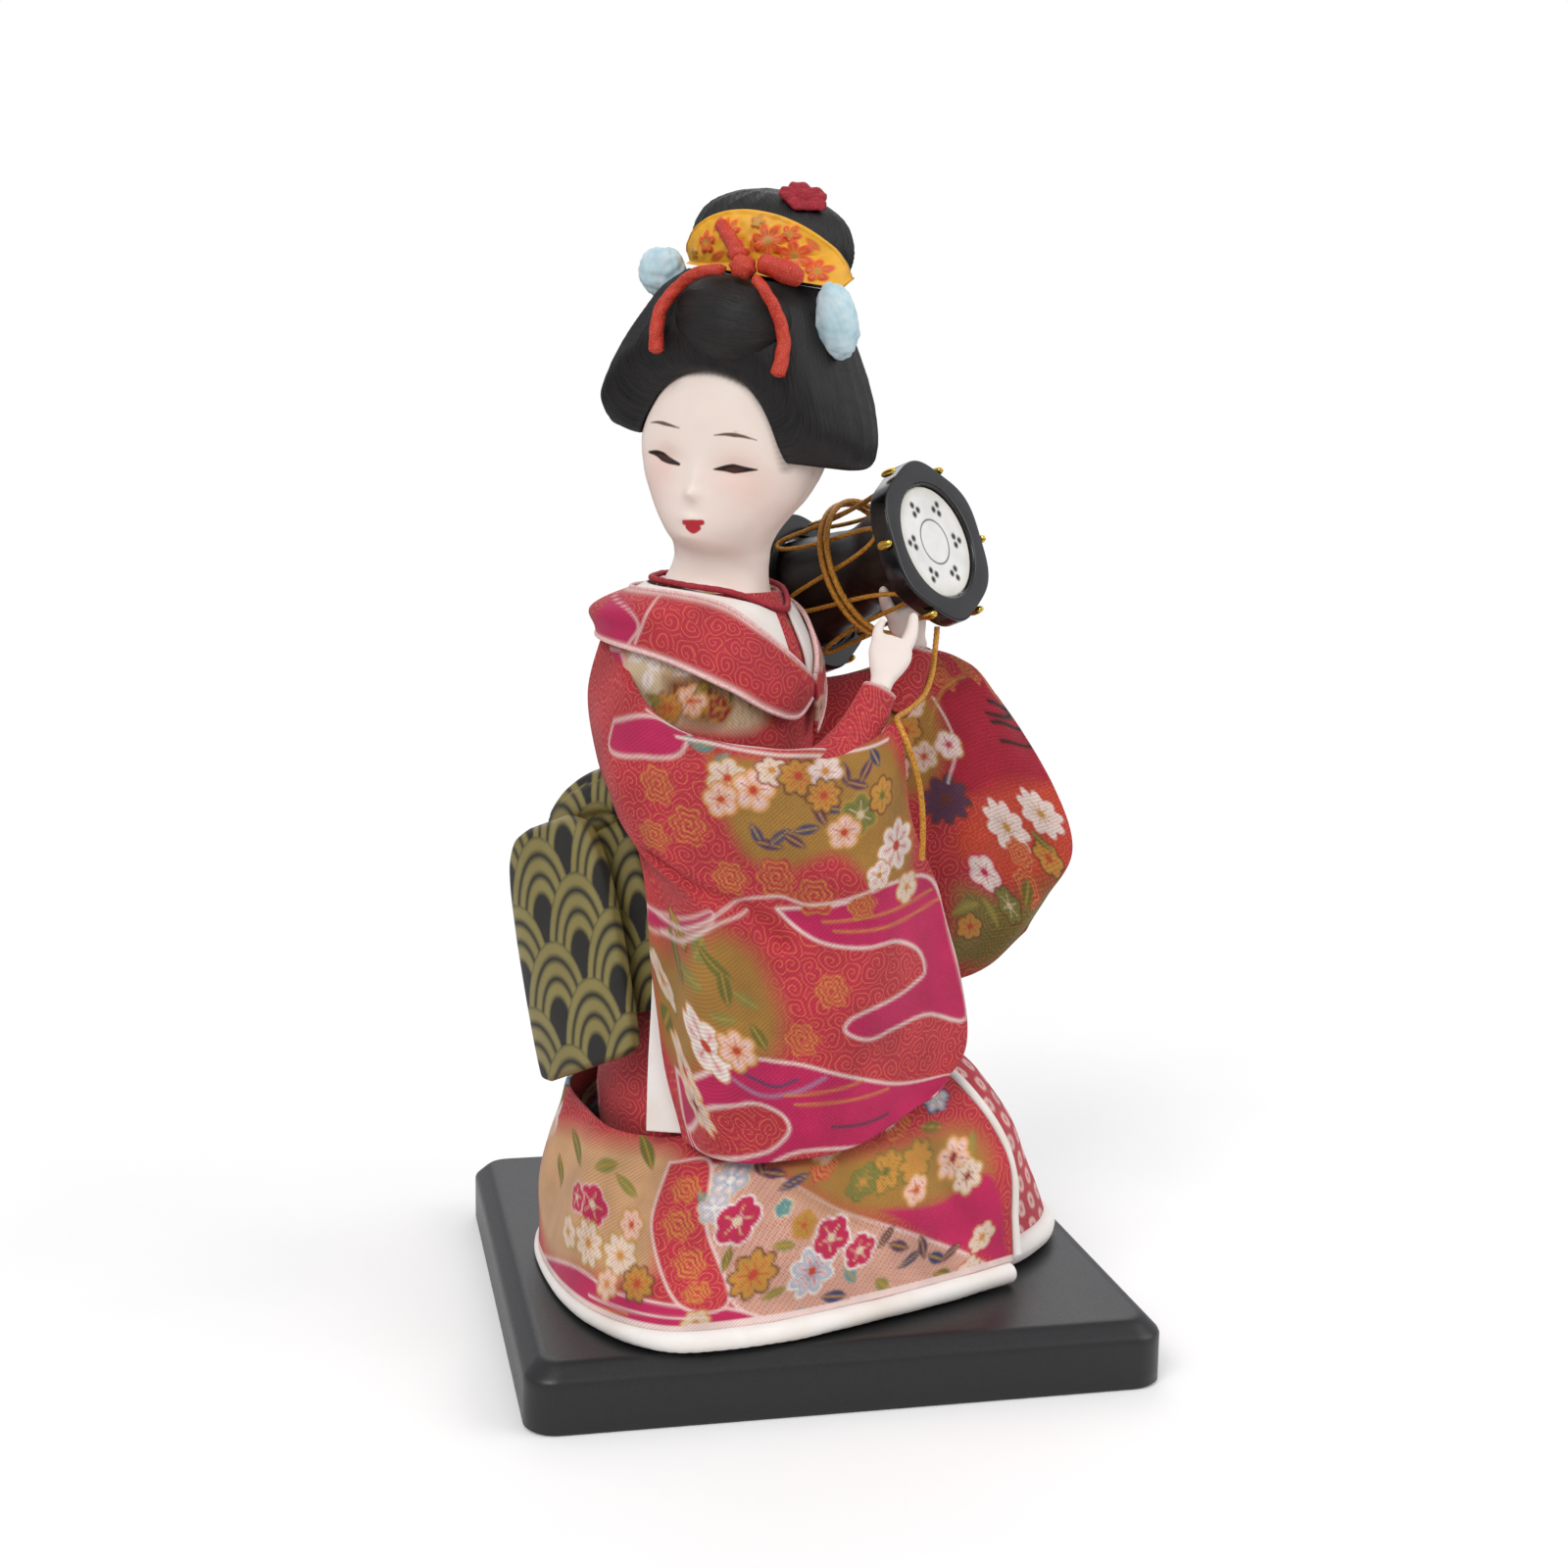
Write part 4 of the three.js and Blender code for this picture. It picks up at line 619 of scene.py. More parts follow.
# %% Laying figures on cloth
INK = {
    "red": "c02c40", "deep_red": "8e1a2a", "scarlet": "c8402a", "pink": "c41f58", "crimson": "a8142f",
    "blush": "d8ab90", "rose": "c4636a", "straw": "cf9f72", "flame": "e2501e", "petal": "ecc0b8",
    "pale": "f0d3cb", "cream": "dfc7a4", "gold": "c08f3c", "ochre": "a87a35", "amber": "d08a3c",
    "olive": "6f6b2c", "leaf": "8a8540", "navy": "3a3f63", "plum": "5a3550", "lavender": "b07a9c",
    "blue": "8fa6bd", "teal": "5f9290", "peach": "e8a878", "white": "f4ece2", "brown": "6b3420",
    "black": "17150f", "thread": "897c42",
}
# The second tone inside the petals of a larger flower
INNER = {"white": "petal", "petal": "white", "cream": "pale", "pink": "red", "peach": "pale", "gold": "amber",
         "blue": "pale", "ochre": "gold", "amber": "gold", "leaf": "olive", "lavender": "petal"}


class Weave:
    """The colours on a grid of cloth points"""

    def __init__(self, grid, flat, ground, scroll, place="doll"):
        self.flat = flat
        self.ink = np.empty(grid.shape[:2] + (4,))
        self.ink[..., :3] = tint(INK[ground])
        self.ink[..., 3] = scroll
        model = to_model(grid, place)
        self.seen = in_picture(model)
        normal = grid_normals(model)
        inward = model.reshape(-1, 3).mean(0) - model
        normal *= -np.sign((normal * inward).sum())
        self.front = (normal * (CAMERA_AT * 0.001 - model)).sum(-1) > 0

    def at(self, x, y):
        """The place on the flat cloth, in mm, of a place in the picture"""
        away = np.hypot(self.seen[..., 0] - x, self.seen[..., 1] - y) + np.where(self.front, 0, 1e5)
        return self.flat.reshape(-1, 2)[away.argmin()]

    def line_at(self, places, steps=0, closed=False):
        points = np.array([self.at(*place) for place in places])
        if closed:
            points = np.concatenate([points, points[:1]])
        return smooth_line(points, np.linspace(0, 1, steps)) if steps else points

    def lay(self, inside, ink, scroll=0.0, soft=0.5):
        """inside is a distance in mm, below zero within the figure"""
        share = np.clip(0.5 - inside / soft, 0, 1)[..., None]
        self.ink = self.ink * (1 - share) + np.append(tint(INK[ink]), scroll) * share

    def glaze(self, share, colour):
        """Paints a linear colour over the cloth; share is how much of it each point takes"""
        share = share[..., None]
        self.ink[..., :3] = self.ink[..., :3] * (1 - share) + colour * share

    def to_line(self, points):
        """Distance to a line through points"""
        best = np.full(self.flat.shape[:2], 1e9)
        for a, b in zip(points[:-1], points[1:]):
            span = b - a
            t = np.clip(((self.flat - a) @ span) / max(span @ span, 1e-9), 0, 1)
            best = np.minimum(best, np.linalg.norm(self.flat - a - t[..., None] * span, axis=-1))
        return best

    def to_area(self, points):
        """Distance to a closed outline, below zero inside it"""
        inside = np.zeros(self.flat.shape[:2], bool)
        x, y = self.flat[..., 0], self.flat[..., 1]
        for (ax, ay), (bx, by) in zip(points, np.roll(points, -1, 0)):
            if ay == by:
                continue
            crosses = ((ay > y) != (by > y)) & (x < (bx - ax) * (y - ay) / (by - ay) + ax)
            inside ^= crosses
        away = self.to_line(np.concatenate([points, points[:1]]))
        return np.where(inside, -away, away)

    def within(self, places, steps):
        """Distance to the smooth outline through places in the picture, below zero inside it"""
        return self.to_area(self.line_at(places, steps, closed=True)[:-1])

    def stroke(self, places, ink, width, scroll=0.0):
        self.lay(self.to_line(self.line_at(places, 24)) - width / 2, ink, scroll)

    def patch(self, places, ink, edge=None, width=0.7, scroll=0.0, steps=40, soft=0.5):
        """A smooth area with an outline, such as a cloud"""
        away = self.within(places, steps)
        self.lay(away, ink, scroll, soft)
        if edge:
            self.lay(np.abs(away) - width / 2, edge)

    def polar(self, centre, turn):
        d = self.flat - centre
        return np.hypot(d[..., 0], d[..., 1]), np.arctan2(d[..., 1], d[..., 0]) - math.radians(turn)

    def flower(self, centre, radius, ink, heart, edge=None, petals=5, turn=0.0, slim=1.0):
        """Separate rounded petals with a vein in each, round a small heart"""
        away, angle = self.polar(centre, turn)
        step = TAU / petals
        angle = (angle + step / 2) % step - step / 2
        out, over = away * np.cos(angle), away * np.sin(angle)
        half, wide = radius * 0.42, radius * 0.64 * math.tan(step / 2) * slim
        outside = (np.hypot((out - radius * 0.6) / half, over / wide) - 1) * min(half, wide)
        if edge:
            self.lay(outside - 0.32, edge, soft=0.35)
        self.lay(outside, ink, soft=0.35)
        if radius > 2.5:
            self.lay(outside + 0.45 * min(half, wide), INNER.get(ink, ink), soft=1.2)
        vein = np.maximum(np.abs(over) - 0.1, np.abs(out - radius * 0.45) - radius * 0.22)
        self.lay(vein, heart, soft=0.35)
        self.lay(away - radius * 0.2, heart, soft=0.35)

    def rosette(self, centre, radius, ink="amber"):
        """A curled figure in thin gold lines on the ground"""
        away, angle = self.polar(centre, 0)
        lobes = radius * (1 + 0.12 * np.cos(6 * angle))
        curl = np.abs((away / lobes * 3.4 + angle / TAU) % 1 - 0.5) * radius / 3.4
        self.lay(away - lobes, "red", soft=0.4)
        self.lay(np.maximum(curl - 0.2, away - lobes), ink, soft=0.3)

    def leaf(self, centre, length, ink, vein, turn, width=0.38):
        d = self.flat - centre
        a = math.radians(turn)
        along = (d[..., 0] * math.cos(a) + d[..., 1] * math.sin(a)) / (length / 2)
        over = -d[..., 0] * math.sin(a) + d[..., 1] * math.cos(a)
        half = length * width / 2 * np.maximum(1 - along ** 2, 0)
        outside = np.maximum(np.abs(over) - half, (np.abs(along) - 1) * length / 2)
        self.lay(outside, ink)
        self.lay(np.maximum(np.abs(over) - 0.16, outside + 0.3), vein, soft=0.4)

    def disc(self, centre, radius, ink):
        self.lay(self.polar(centre, 0)[0] - radius, ink)

    def rosettes(self, *rows):
        for x, y, size in rows:
            self.rosette(self.at(x, y), size)

    def leaves(self, *rows):
        for x, y, length, ink, turn in rows:
            self.leaf(self.at(x, y), length, ink, "gold", turn)

    def flowers(self, *rows, lift=0):
        """Flowers in the picture, turned by where they are so that no two look alike"""
        for x, y, size, ink, heart, edge, petals in rows:
            self.flower(self.at(x, y), size, ink, heart, edge, petals, turn=x + lift * y)

    def scatter(self, seed, spacing):
        """Clouds, flowers and leaves in rows over the cloth that the picture hides"""
        rng = np.random.default_rng(seed)
        low, high = self.flat.reshape(-1, 2).min(0), self.flat.reshape(-1, 2).max(0)
        kinds = [("cream", "amber", "deep_red"), ("pink", "cream", "petal"), ("peach", "deep_red", "gold"),
                 ("blue", "white", "navy"), ("gold", "scarlet", "brown"), ("white", "pink", "petal")]
        lobe = np.linspace(0, TAU, 30)[:-1]
        for x in np.arange(low[0] + spacing / 2, high[0], spacing):
            for y in np.arange(low[1] + spacing / 2, high[1], spacing):
                centre = np.array([x, y]) + rng.uniform(-0.3, 0.3, 2) * spacing
                ink, heart, edge = kinds[rng.integers(len(kinds))]
                size, turn, figure = rng.uniform(0.26, 0.4) * spacing, rng.uniform(0, 360), rng.random()
                near = np.linalg.norm(self.flat - centre, axis=-1)
                here = np.unravel_index(near.argmin(), near.shape)
                if near[here] > spacing or self.front[here]:
                    continue
                if figure < 0.35:
                    lobes = size * 1.6 * (1 + 0.25 * np.sin(3 * lobe + turn))
                    away = self.to_area(centre + np.stack([lobes * np.cos(lobe), 0.55 * lobes * np.sin(lobe)], -1))
                    self.lay(away, "pink" if figure < 0.2 else "cream", 0.0)
                    self.lay(np.abs(away) - 0.35, "petal")
                for k in range(2):
                    self.leaf(centre + size * np.array([math.cos(turn + k), math.sin(turn + k)]), size * 1.7,
                              "olive" if k else "plum", "gold", turn + 140 * k)
                self.flower(centre, size, ink, heart, edge, petals=5 + int(rng.integers(0, 2)), turn=turn)


def cloth_lengths(grid):
    """Flat cloth coordinates, in mm, from the lengths along a grid's rows and columns"""
    across = np.linalg.norm(np.diff(grid, axis=1), axis=-1)
    along = np.linalg.norm(np.diff(grid, axis=0), axis=-1)
    u = np.concatenate([np.zeros((len(grid), 1)), np.cumsum(across, 1)], 1)
    v = np.concatenate([np.zeros((1, grid.shape[1])), np.cumsum(along, 0)], 0)
    middle = grid.shape[1] // 2
    return np.stack([u - u[:, middle:middle + 1], v], -1)


def skin_area(grid):
    """Area of a grid of points, in square millimetres"""
    a = grid[1:, 1:] - grid[:-1, :-1]
    b = grid[1:, :-1] - grid[:-1, 1:]
    return np.linalg.norm(np.cross(a, b), axis=-1).sum() / 2


# %% [markdown]
# ## The loose gold cord
# A thin twisted cord hangs from the drum, turns over the near cuff and ends in
# front of the sleeve. A curve with a bevel would do, but its strands would only
# be painted on; a tube swept along the route can have real twisted ridges.

# %% Hanging cord
CORD_RADIUS = 0.55
CORD_ROUTE = [
    [27.6, -5, 126.1], [27.5, -5.2, 124.4], [27.1, -7.4, 121.2], [26.3, -13, 117.6], [24.6, -19.6, 114.4],
    [21.9, -26, 112.6], [19.4, -31, 111.7], [18.6, -34.5, 111.4], [18.8, -37.6, 110.9], [20, -39.4, 108.4],
    [21.5, -39.4, 104.6], [22.8, -38.9, 99.8], [23.5, -38.3, 94.6], [23.7, -37.9, 90], [23.6, -37.7, 85.7],
]
route = smooth_line(CORD_ROUTE, np.linspace(0, 1, 241))
loose_cord = rope("loose_cord", route, CORD_RADIUS, GOLD_CORD, sides=12, strands=3, pitch=1.7)
fit(loose_cord, "doll", "gold_cord", "hanging_cord")

# %% [markdown]
# ## Plinth
# The stand is a hollow black moulding with rounded corners and a narrow sloping
# edge. A cube with a bevel modifier would be quick, but its underside would be
# solid, so one stack of rounded squares runs up the outside, over the deck, and
# back down inside the walls.

# %% Moulded plinth
CORNERS = ((1, 1), (-1, 1), (-1, -1), (1, -1))
PLINTH_PROFILE = [
    (2, 1, 10.2), (54.4, 4.5, 10.2), (54.4, 4.5, 9), (54.4, 4.5, 0.4), (54.7, 4.6, 0), (59.4, 5.8, 0),
    (60, 6, 0.6), (60, 6, 3), (60, 6, 8), (60, 6, 9.5), (59.75, 5.9, 10.1), (59.3, 5.7, 10.6), (57.9, 5, 12),
    (57.3, 4.7, 12.5), (56.6, 4.5, 12.75), (55.6, 4.2, 12.8), (40, 3, 12.8), (2, 1, 12.8),
]
BOSS_PROFILE = [(1.8, 1.2), (4.2, 1.2), (4.5, 1.6), (4.5, 9.6), (5.4, 10.1), (1.8, 10.1)]


def rounded_square(half, corner, z, per_corner=14):
    quarter = np.linspace(0, math.pi / 2, per_corner)
    return np.concatenate([oval(quarter + k * math.pi / 2, corner, corner, z)
                           + [sx * (half - corner), sy * (half - corner), 0] for k, (sx, sy) in enumerate(CORNERS)])


def under_doll(rings):
    """Rings that were drawn square to the plinth from the floor up, in the doll's frame"""
    return np.array(rings) @ DOLL_TURN - [0, 0, PLINTH_TOP]


plinth = lofted("plinth_moulding", under_doll([rounded_square(*row) for row in PLINTH_PROFILE]), PLASTIC)
fit(plinth, "doll", "black_lacquer", "plinth")
for k, x in enumerate((-18, 18)):
    boss = under_doll([oval(round_turn(32), r, r, z) + [x, 0, 0] for r, z in BOSS_PROFILE])
    fit(lofted(f"screw_boss_{k + 1}", boss, PLASTIC), "doll", "black_lacquer")
print("plinth:", [round(v * 1000, 1) for v in plinth.dimensions])

# %% [markdown]
# ## The stuffed body
# Inside the robe are bound straw, two arms on wire and a block for the folded
# legs. Only a little of them can be seen, past the cuffs and under the skirt,
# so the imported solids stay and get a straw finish. The wooden peg and the two
# base screws stay as well.

# %% Hidden solids
HIDDEN = {"torso_core": STRAW, "leg_core": STRAW, "right_arm": STRAW, "left_arm": STRAW,
          "neck_peg": DOWEL, "base_screw_1": STEEL, "base_screw_2": STEEL}
for node, finish in HIDDEN.items():
    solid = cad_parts[node]
    solid.data.materials.clear()
    solid.data.materials.append(finish)
print("kept solids:", sorted(HIDDEN))

# %% [markdown]
# ## Torso cloth
# One outline gives the torso's radius at each height, to the front, the back and
# the sides. The robe, the collars and the belt are all laid on it, each a little
# further out, as on the solids.

# %% Torso outline
TORSO = [
    [20, 22, 23.5, 22.5], [34, 22, 25.5, 23], [46, 20.5, 22.5, 22], [62, 17, 17.5, 19], [76, 15.5, 16, 17.5],
    [92, 16.5, 16.5, 19], [108, 18, 17, 21.5], [120, 17.5, 16, 20.5], [128, 14.4, 14, 16.6],
    [133, 11.8, 11.8, 12.4], [137, 11.4, 11.4, 11.8],
]
TORSO_LEAN = 0.0165
SHOULDER = [[104, 0], [112, 2.6], [120, 4.6], [126, 6.4], [129.5, 9], [131.5, 7.6], [134, 2.6], [136, 0]]
SHOULDER_AT, SHOULDER_SPREAD = -138, 44
# Along and round the drum's axis: where its hoops start and end, their rims and the lacing's
HOOP_FROM, HOOP_TO, HOOP_RIM, LACING_RIM = 13.9, 18.1, 16.65, 14.3


def torso_point(angle, height, outset):
    """Points round the torso; angle 0 is the front, in radians"""
    angle, height, outset = np.broadcast_arrays(angle, height, outset)
    front, back, side = np.moveaxis(stations(TORSO, height), -1, 0)
    from_shoulder = (np.degrees(angle) - SHOULDER_AT + 180) % 360 - 180
    swell = stations(SHOULDER, height)[..., 0] * np.exp(-(from_shoulder / SHOULDER_SPREAD) ** 2)
    reach = np.where(np.cos(angle) >= 0, front, back) + swell
    return np.stack([(reach + outset) * np.cos(angle) - TORSO_LEAN * height,
                     (side + swell + outset) * np.sin(angle), height], -1)


def clear_of_drum(points, margin=0.35):
    """Moves torso points in towards its axis until the drum clears them"""
    points = points.copy()
    for _ in range(30):
        local = from_doll(to_doll(points, "torso"), "drum")
        radius = np.hypot(local[..., 0], local[..., 1])
        z = np.abs(local[..., 2])
        hoop = (z < HOOP_TO + margin) & (z > HOOP_FROM - margin) & (radius < HOOP_RIM + margin)
        held = hoop | (z <= HOOP_FROM) & (radius < LACING_RIM + margin)
        if not held.any():
            break
        points[..., :2] -= unit(points[..., :2]) * 0.2 * held[..., None]
    return points


def wrapped_tube(name, bottom, top, outset, thickness, material, rows, cols, slot, node, ground, scroll, weave):
    """A sheet wrapped right round the torso between two heights, and its area in square metres"""
    v = np.linspace(0, 1, rows)[:, None]
    angle = np.linspace(0, TAU, cols, endpoint=False)[None] + math.pi / 2
    outer = clear_of_drum(torso_point(angle, bottom + (top - bottom) * v, outset))
    inner = outer.copy()
    inner[..., :2] -= unit(outer[..., :2] + np.stack([TORSO_LEAN * outer[..., 2], 0 * outer[..., 2]], -1)) * thickness
    flat = cloth_lengths(outer)
    w = Weave(outer, flat, ground, scroll, "torso")
    weave(w)
    piece = two_skins(name, outer, inner, material, "torso", wrap=True, uv=flat, paint=w.ink)
    fit(piece, "doll", slot, node)
    return piece, skin_area(outer) * 1e-6


# %% Bodice
def bodice_weave(w):
    w.scatter(11, 17)
    w.patch([(640, 655), (700, 650), (745, 684), (785, 720), (765, 745), (700, 742), (650, 738), (636, 700)],
            "cream", soft=3)
    w.patch([(680, 690), (720, 690), (745, 715), (735, 738), (700, 735), (682, 715)], "brown", soft=3)
    for x, y, turn in ((652, 668, 20), (668, 678, -30), (684, 672, 60), (700, 684, 10), (660, 694, 80)):
        w.leaf(w.at(x, y), 4.4, "white", "petal", turn, 0.55)
    w.stroke([(745, 722), (748, 700), (762, 694), (772, 704), (766, 718)], "olive", 0.8)
    w.flower(w.at(732, 722), 2.4, "deep_red", "gold", "gold")
    w.flower(w.at(706, 716), 3.0, "peach", "scarlet", "gold")
    w.flower(w.at(682, 724), 2.8, "gold", "scarlet", "brown", 6)
    w.leaf(w.at(718, 700), 5, "olive", "gold", 40)
    w.leaf(w.at(668, 714), 5, "leaf", "gold", 150)
    for x in np.arange(672, 780, 7):
        w.stroke([(x, 640), (x + 4, 690), (x + 12, 740)], "amber", 0.14)
    w.patch([(606, 665), (632, 662), (638, 690), (628, 716), (606, 708)], "pink", "petal")


bodice, area = wrapped_tube("bodice_cloth", 26.2, 133, 0, 0.8, BROCADE, 150, 260, "brocade", "bodice",
                            "red", 1.0, bodice_weave)

# %% [markdown]
# ### Black belt
# The belt is woven with nested arcs in dull gold, row on row. Each arc is drawn
# as a distance from its centre, so the pattern can go round the waist, over the
# pad and along the folds alike.

# %% Belt pattern and belt
SCALE_WIDTH, SCALE_RISE, SCALE_STRETCH, SCALE_SLOPE = 16.9, 10.0, 1.9, 0.3
ARCS, ARC_WIDTH = (0.91, 0.67, 0.43), 0.072


def wave_scales(w, slope=0.0):
    """Rows of nested arcs in gold thread on the black ground; an upper row lies behind the lower"""
    x, y = w.flat[..., 0], w.flat[..., 1] - slope * w.flat[..., 0]
    shine = np.zeros(x.shape)
    covered = np.zeros(x.shape, bool)
    for step in (2, 1, 0):
        row = np.floor(y / SCALE_RISE).astype(int) - step
        shift = (row % 2) * SCALE_WIDTH / 2
        dx = x - shift - np.round((x - shift) / SCALE_WIDTH) * SCALE_WIDTH
        dy = y - row * SCALE_RISE
        away = np.hypot(dx, dy / SCALE_STRETCH) / (SCALE_WIDTH / 2)
        inside = (away < 1.0) & (dy >= 0) & ~covered
        arcs = np.max([np.clip(1.6 - np.abs(away - reach) / ARC_WIDTH, 0, 1) for reach in ARCS], 0)
        shine = np.where(inside, arcs, shine)
        covered |= inside
    share = shine[..., None]
    w.ink = w.ink * (1 - share) + np.append(tint(INK["thread"]), 1.0) * share


belt, area = wrapped_tube("belt_cloth", 60, 87, 1.6, 1.2, BLACK_BROCADE, 90, 400, "black_brocade", "belt_band",
                          "black", 0.0, wave_scales)

# %% [markdown]
# ### Collars
# Three collars cross at the breast: a thin red one, a padded white one and the
# wide brocade one of the robe, edged with pale pink piping. Each is a band
# between two edges given by angle and height, with a soft rounded section.

# %% Collar bands
WHITE_NEAR = [[-179, 134.8, 130], [-135, 134.4, 129], [-90, 133.6, 127], [-55, 132.4, 124], [-32, 131.2, 118],
              [-14, 129.4, 112]]
WHITE_FAR = [[3, 129.2, 112], [14, 129.8, 116], [32, 131.8, 122], [55, 133.4, 126], [90, 134, 128.5],
             [179, 134.8, 130]]
COLLAR_NEAR = [[-178.5, 133.8, 126], [-135, 133.6, 124.5], [-90, 133, 121.5], [-55, 130.8, 116.2],
               [-32, 126.2, 111.5], [-14, 121, 110], [0, 117, 113.5]]
COLLAR_FAR = [[4, 117, 106], [16, 123, 110], [32, 128, 115.5], [55, 131, 120], [90, 133, 124], [178.5, 134.6, 126]]


def robe_collar_weave(w, share):
    w.scatter(23, 15)
    w.patch([(606, 640), (612, 622), (632, 606), (650, 630), (646, 652), (630, 668), (610, 662)], "pink", soft=1.5)
    w.stroke([(630, 604), (650, 632), (640, 662)], "petal", 0.5)
    w.stroke([(676, 603), (660, 628), (648, 656)], "petal", 0.5)
    for edge in (0.0, 1.0):
        w.lay((np.abs(share - edge) - 0.07) * 12, "petal")


def far_collar_weave(w, share):
    w.scatter(29, 12)
    for x, y, size in ((818, 655, 2.6), (835, 675, 3.2), (850, 700, 3.2), (838, 722, 3.0), (862, 740, 2.8)):
        w.flower(w.at(x, y), size, "blush", "deep_red", "pale", 6)
    w.lay((np.abs(share - 1) - 0.07) * 12, "petal")


# Outset, thickness and crown, then finish, slot, ground and how much of the curls shows
WHITE_BAND = (0.4, 0.7, 0.25, WHITE_SILK, "white_silk", "white", 0.0)
ROBE_BAND = (1.5, 0.9, 0.3, BROCADE, "brocade", "red", 1.0)
COLLARS = {
    "white_collar_near": (WHITE_NEAR, WHITE_BAND, "white_collar_right", None, (0.064, 0.010), ["bodice_cloth"], 0.8),
    "white_collar_far": (WHITE_FAR, WHITE_BAND, "white_collar_left", None, (0.060, 0.010), ["bodice_cloth"], 0.6),
    "robe_collar_near": (COLLAR_NEAR, ROBE_BAND, "kimono_collar_right", robe_collar_weave, (0.075, 0.012),
                         ["white_collar_near", "bodice_cloth"], 1.0),
    "robe_collar_far": (COLLAR_FAR, ROBE_BAND, "kimono_collar_left", far_collar_weave, (0.064, 0.010),
                        ["white_collar_far", "bodice_cloth"], 1.0),
}


def collar_band(name, table, band, node, weave, flat_size, rests_on, cut):
    """A padded band round the neck; gives its outer skin"""
    outset, thickness, crown, material, slot, ground, scroll = band
    angle = np.linspace(table[0][0], table[-1][0], 260)
    upper, lower = np.moveaxis(stations(table, angle), -1, 0)
    v = np.linspace(0, 1, 26)[:, None]
    height = lower + (upper - lower) * v
    angle = np.radians(angle)[None] + 0 * height
    swell = crown * (1 - (2 * v - 1) ** 4) + 0 * height
    outer = clear_of_drum(torso_point(angle, height, outset + thickness + swell - crown))
    inner = clear_of_drum(torso_point(angle, height, outset))
    thin = np.linalg.norm(inner - outer, axis=-1, keepdims=True) < 0.15
    inner = np.where(thin, inner + 0.4 * (inner - outer), inner)
    flat = cloth_lengths(outer)
    w = Weave(outer, flat, ground, scroll, "torso")
    if weave:
        weave(w, v + 0 * height)
    piece = two_skins(name, outer, inner, material, "torso", uv=flat, paint=w.ink)
    fit(piece, "doll", slot, node)
    return outer


collar_skins = {name: collar_band(name, *row) for name, row in COLLARS.items()}

# %% Collar piping
for name in ("near", "far"):
    for place, row in (("upper", -1), ("lower", 0)):
        edge = clear_of_drum(collar_skins[f"robe_collar_{name}"][row], 0.7)
        piping = rope(f"piping_{name}_{place}", edge[2:-2:3], 0.42, PINK_PIPING, "torso", sides=8)
        fit(piping, "doll", "white_silk")

INNER_COLLAR = np.array([
    [-180, 135.4], [-135, 135], [-90, 134.2], [-55, 133.2], [-32, 131.6], [-12, 130], [4, 129.8], [32, 132.2],
    [55, 133.6], [90, 134.6], [135, 135.2], [179, 135.4],
])
line = torso_point(np.radians(INNER_COLLAR[:, 0]), INNER_COLLAR[:, 1] + GAP, 0.6 + GAP)
line = clear_of_drum(smooth_line(line, np.linspace(0, 1, 160)), 0.7)
inner_collar = rope("thin_red_collar", line, 0.6, COLLAR_RED, "torso", sides=10, strands=2, pitch=2.4, closed=True)
fit(inner_collar, "doll", "rose_red", "inner_collar")
print("collars:", sorted(collar_skins), inner_collar.name)

# %% [markdown]
# ## Skirt
# The skirt is one stiff sheet that stands from its padded hem to the lap and is
# open at the front. A cloth simulation would let it fall flat, while the real one
# is held out by paste and paper, so it is a guided surface with shallow upright
# folds and finer dents.

# %% Skirt surface
HEM_LINE = [
    [44, -27], [29, -38.5], [12, -50], [-5, -59.5], [-22, -62.5], [-36, -51], [-46, -30],
    [-50.5, -6], [-45, 20], [-27, 38], [0, 45], [26, 40], [42, 23],
]
HEM_RADIUS, BACK_HEM_RADIUS, UNDER_HEM_RADIUS, CLOTH, PALE_EDGE = 2.1, 0.8, 2.6, 0.8, 1.3


def hem_radius(t):
    return HEM_RADIUS + (BACK_HEM_RADIUS - HEM_RADIUS) * ease(t, 0.25, 0.58)


hem_row = [[x, y, 2 * float(hem_radius(i / (len(HEM_LINE) - 1))) + GAP] for i, (x, y) in enumerate(HEM_LINE)]
SKIRT_ROWS = [
    hem_row,
    [[43.2, -25, 12.5], [28.5, -35.5, 12], [12, -45, 12], [-5, -51.5, 12], [-21, -53.5, 12], [-35, -44, 13],
     [-45, -27, 14], [-49.5, -8, 14], [-44, 16, 14], [-27, 33, 14], [-1, 40, 14], [24, 36, 14], [40, 21, 14]],
    [[41.5, -22.5, 26], [27.5, -32, 25], [11, -40.5, 24], [-6, -45, 23], [-21, -44.5, 22], [-34, -36, 22],
     [-43, -24, 23], [-47.5, -9, 24], [-42, 12, 25], [-26, 28, 25], [-1, 34, 25], [22, 30, 26], [37, 19, 26]],
    [[30, -18, 40], [20, -27, 37], [8, -33, 33.5], [-6, -36.5, 31], [-20, -36.5, 29.5], [-33, -30, 29],
     [-41, -19, 30.5], [-45.5, -6, 32.5], [-39, 8, 34.5], [-24, 21, 35.5], [-2, 27, 37], [16, 25, 39], [29, 15, 40]],
    [[13, -9, 47], [9, -19, 45], [1, -27.5, 41], [-9, -34, 35.5], [-21, -35.2, 31.5], [-33, -29, 30.5],
     [-40.5, -18.5, 32], [-45, -6, 34], [-38, 7, 36], [-22, 18.5, 38.5], [-4, 18, 43], [7, 13, 46], [13, 4, 47]],
]
FOLD_DEPTH, FOLD_COUNT = 0.9, 9
u = np.append(np.linspace(0, 0.6, 310, endpoint=False), np.linspace(0.6, 1, 130))
v = np.linspace(0, 1, 110)
skirt_grid = guided(SKIRT_ROWS, u, v)
fold = np.sin(TAU * FOLD_COUNT * u[None] + 3 * v[:, None]) * FOLD_DEPTH
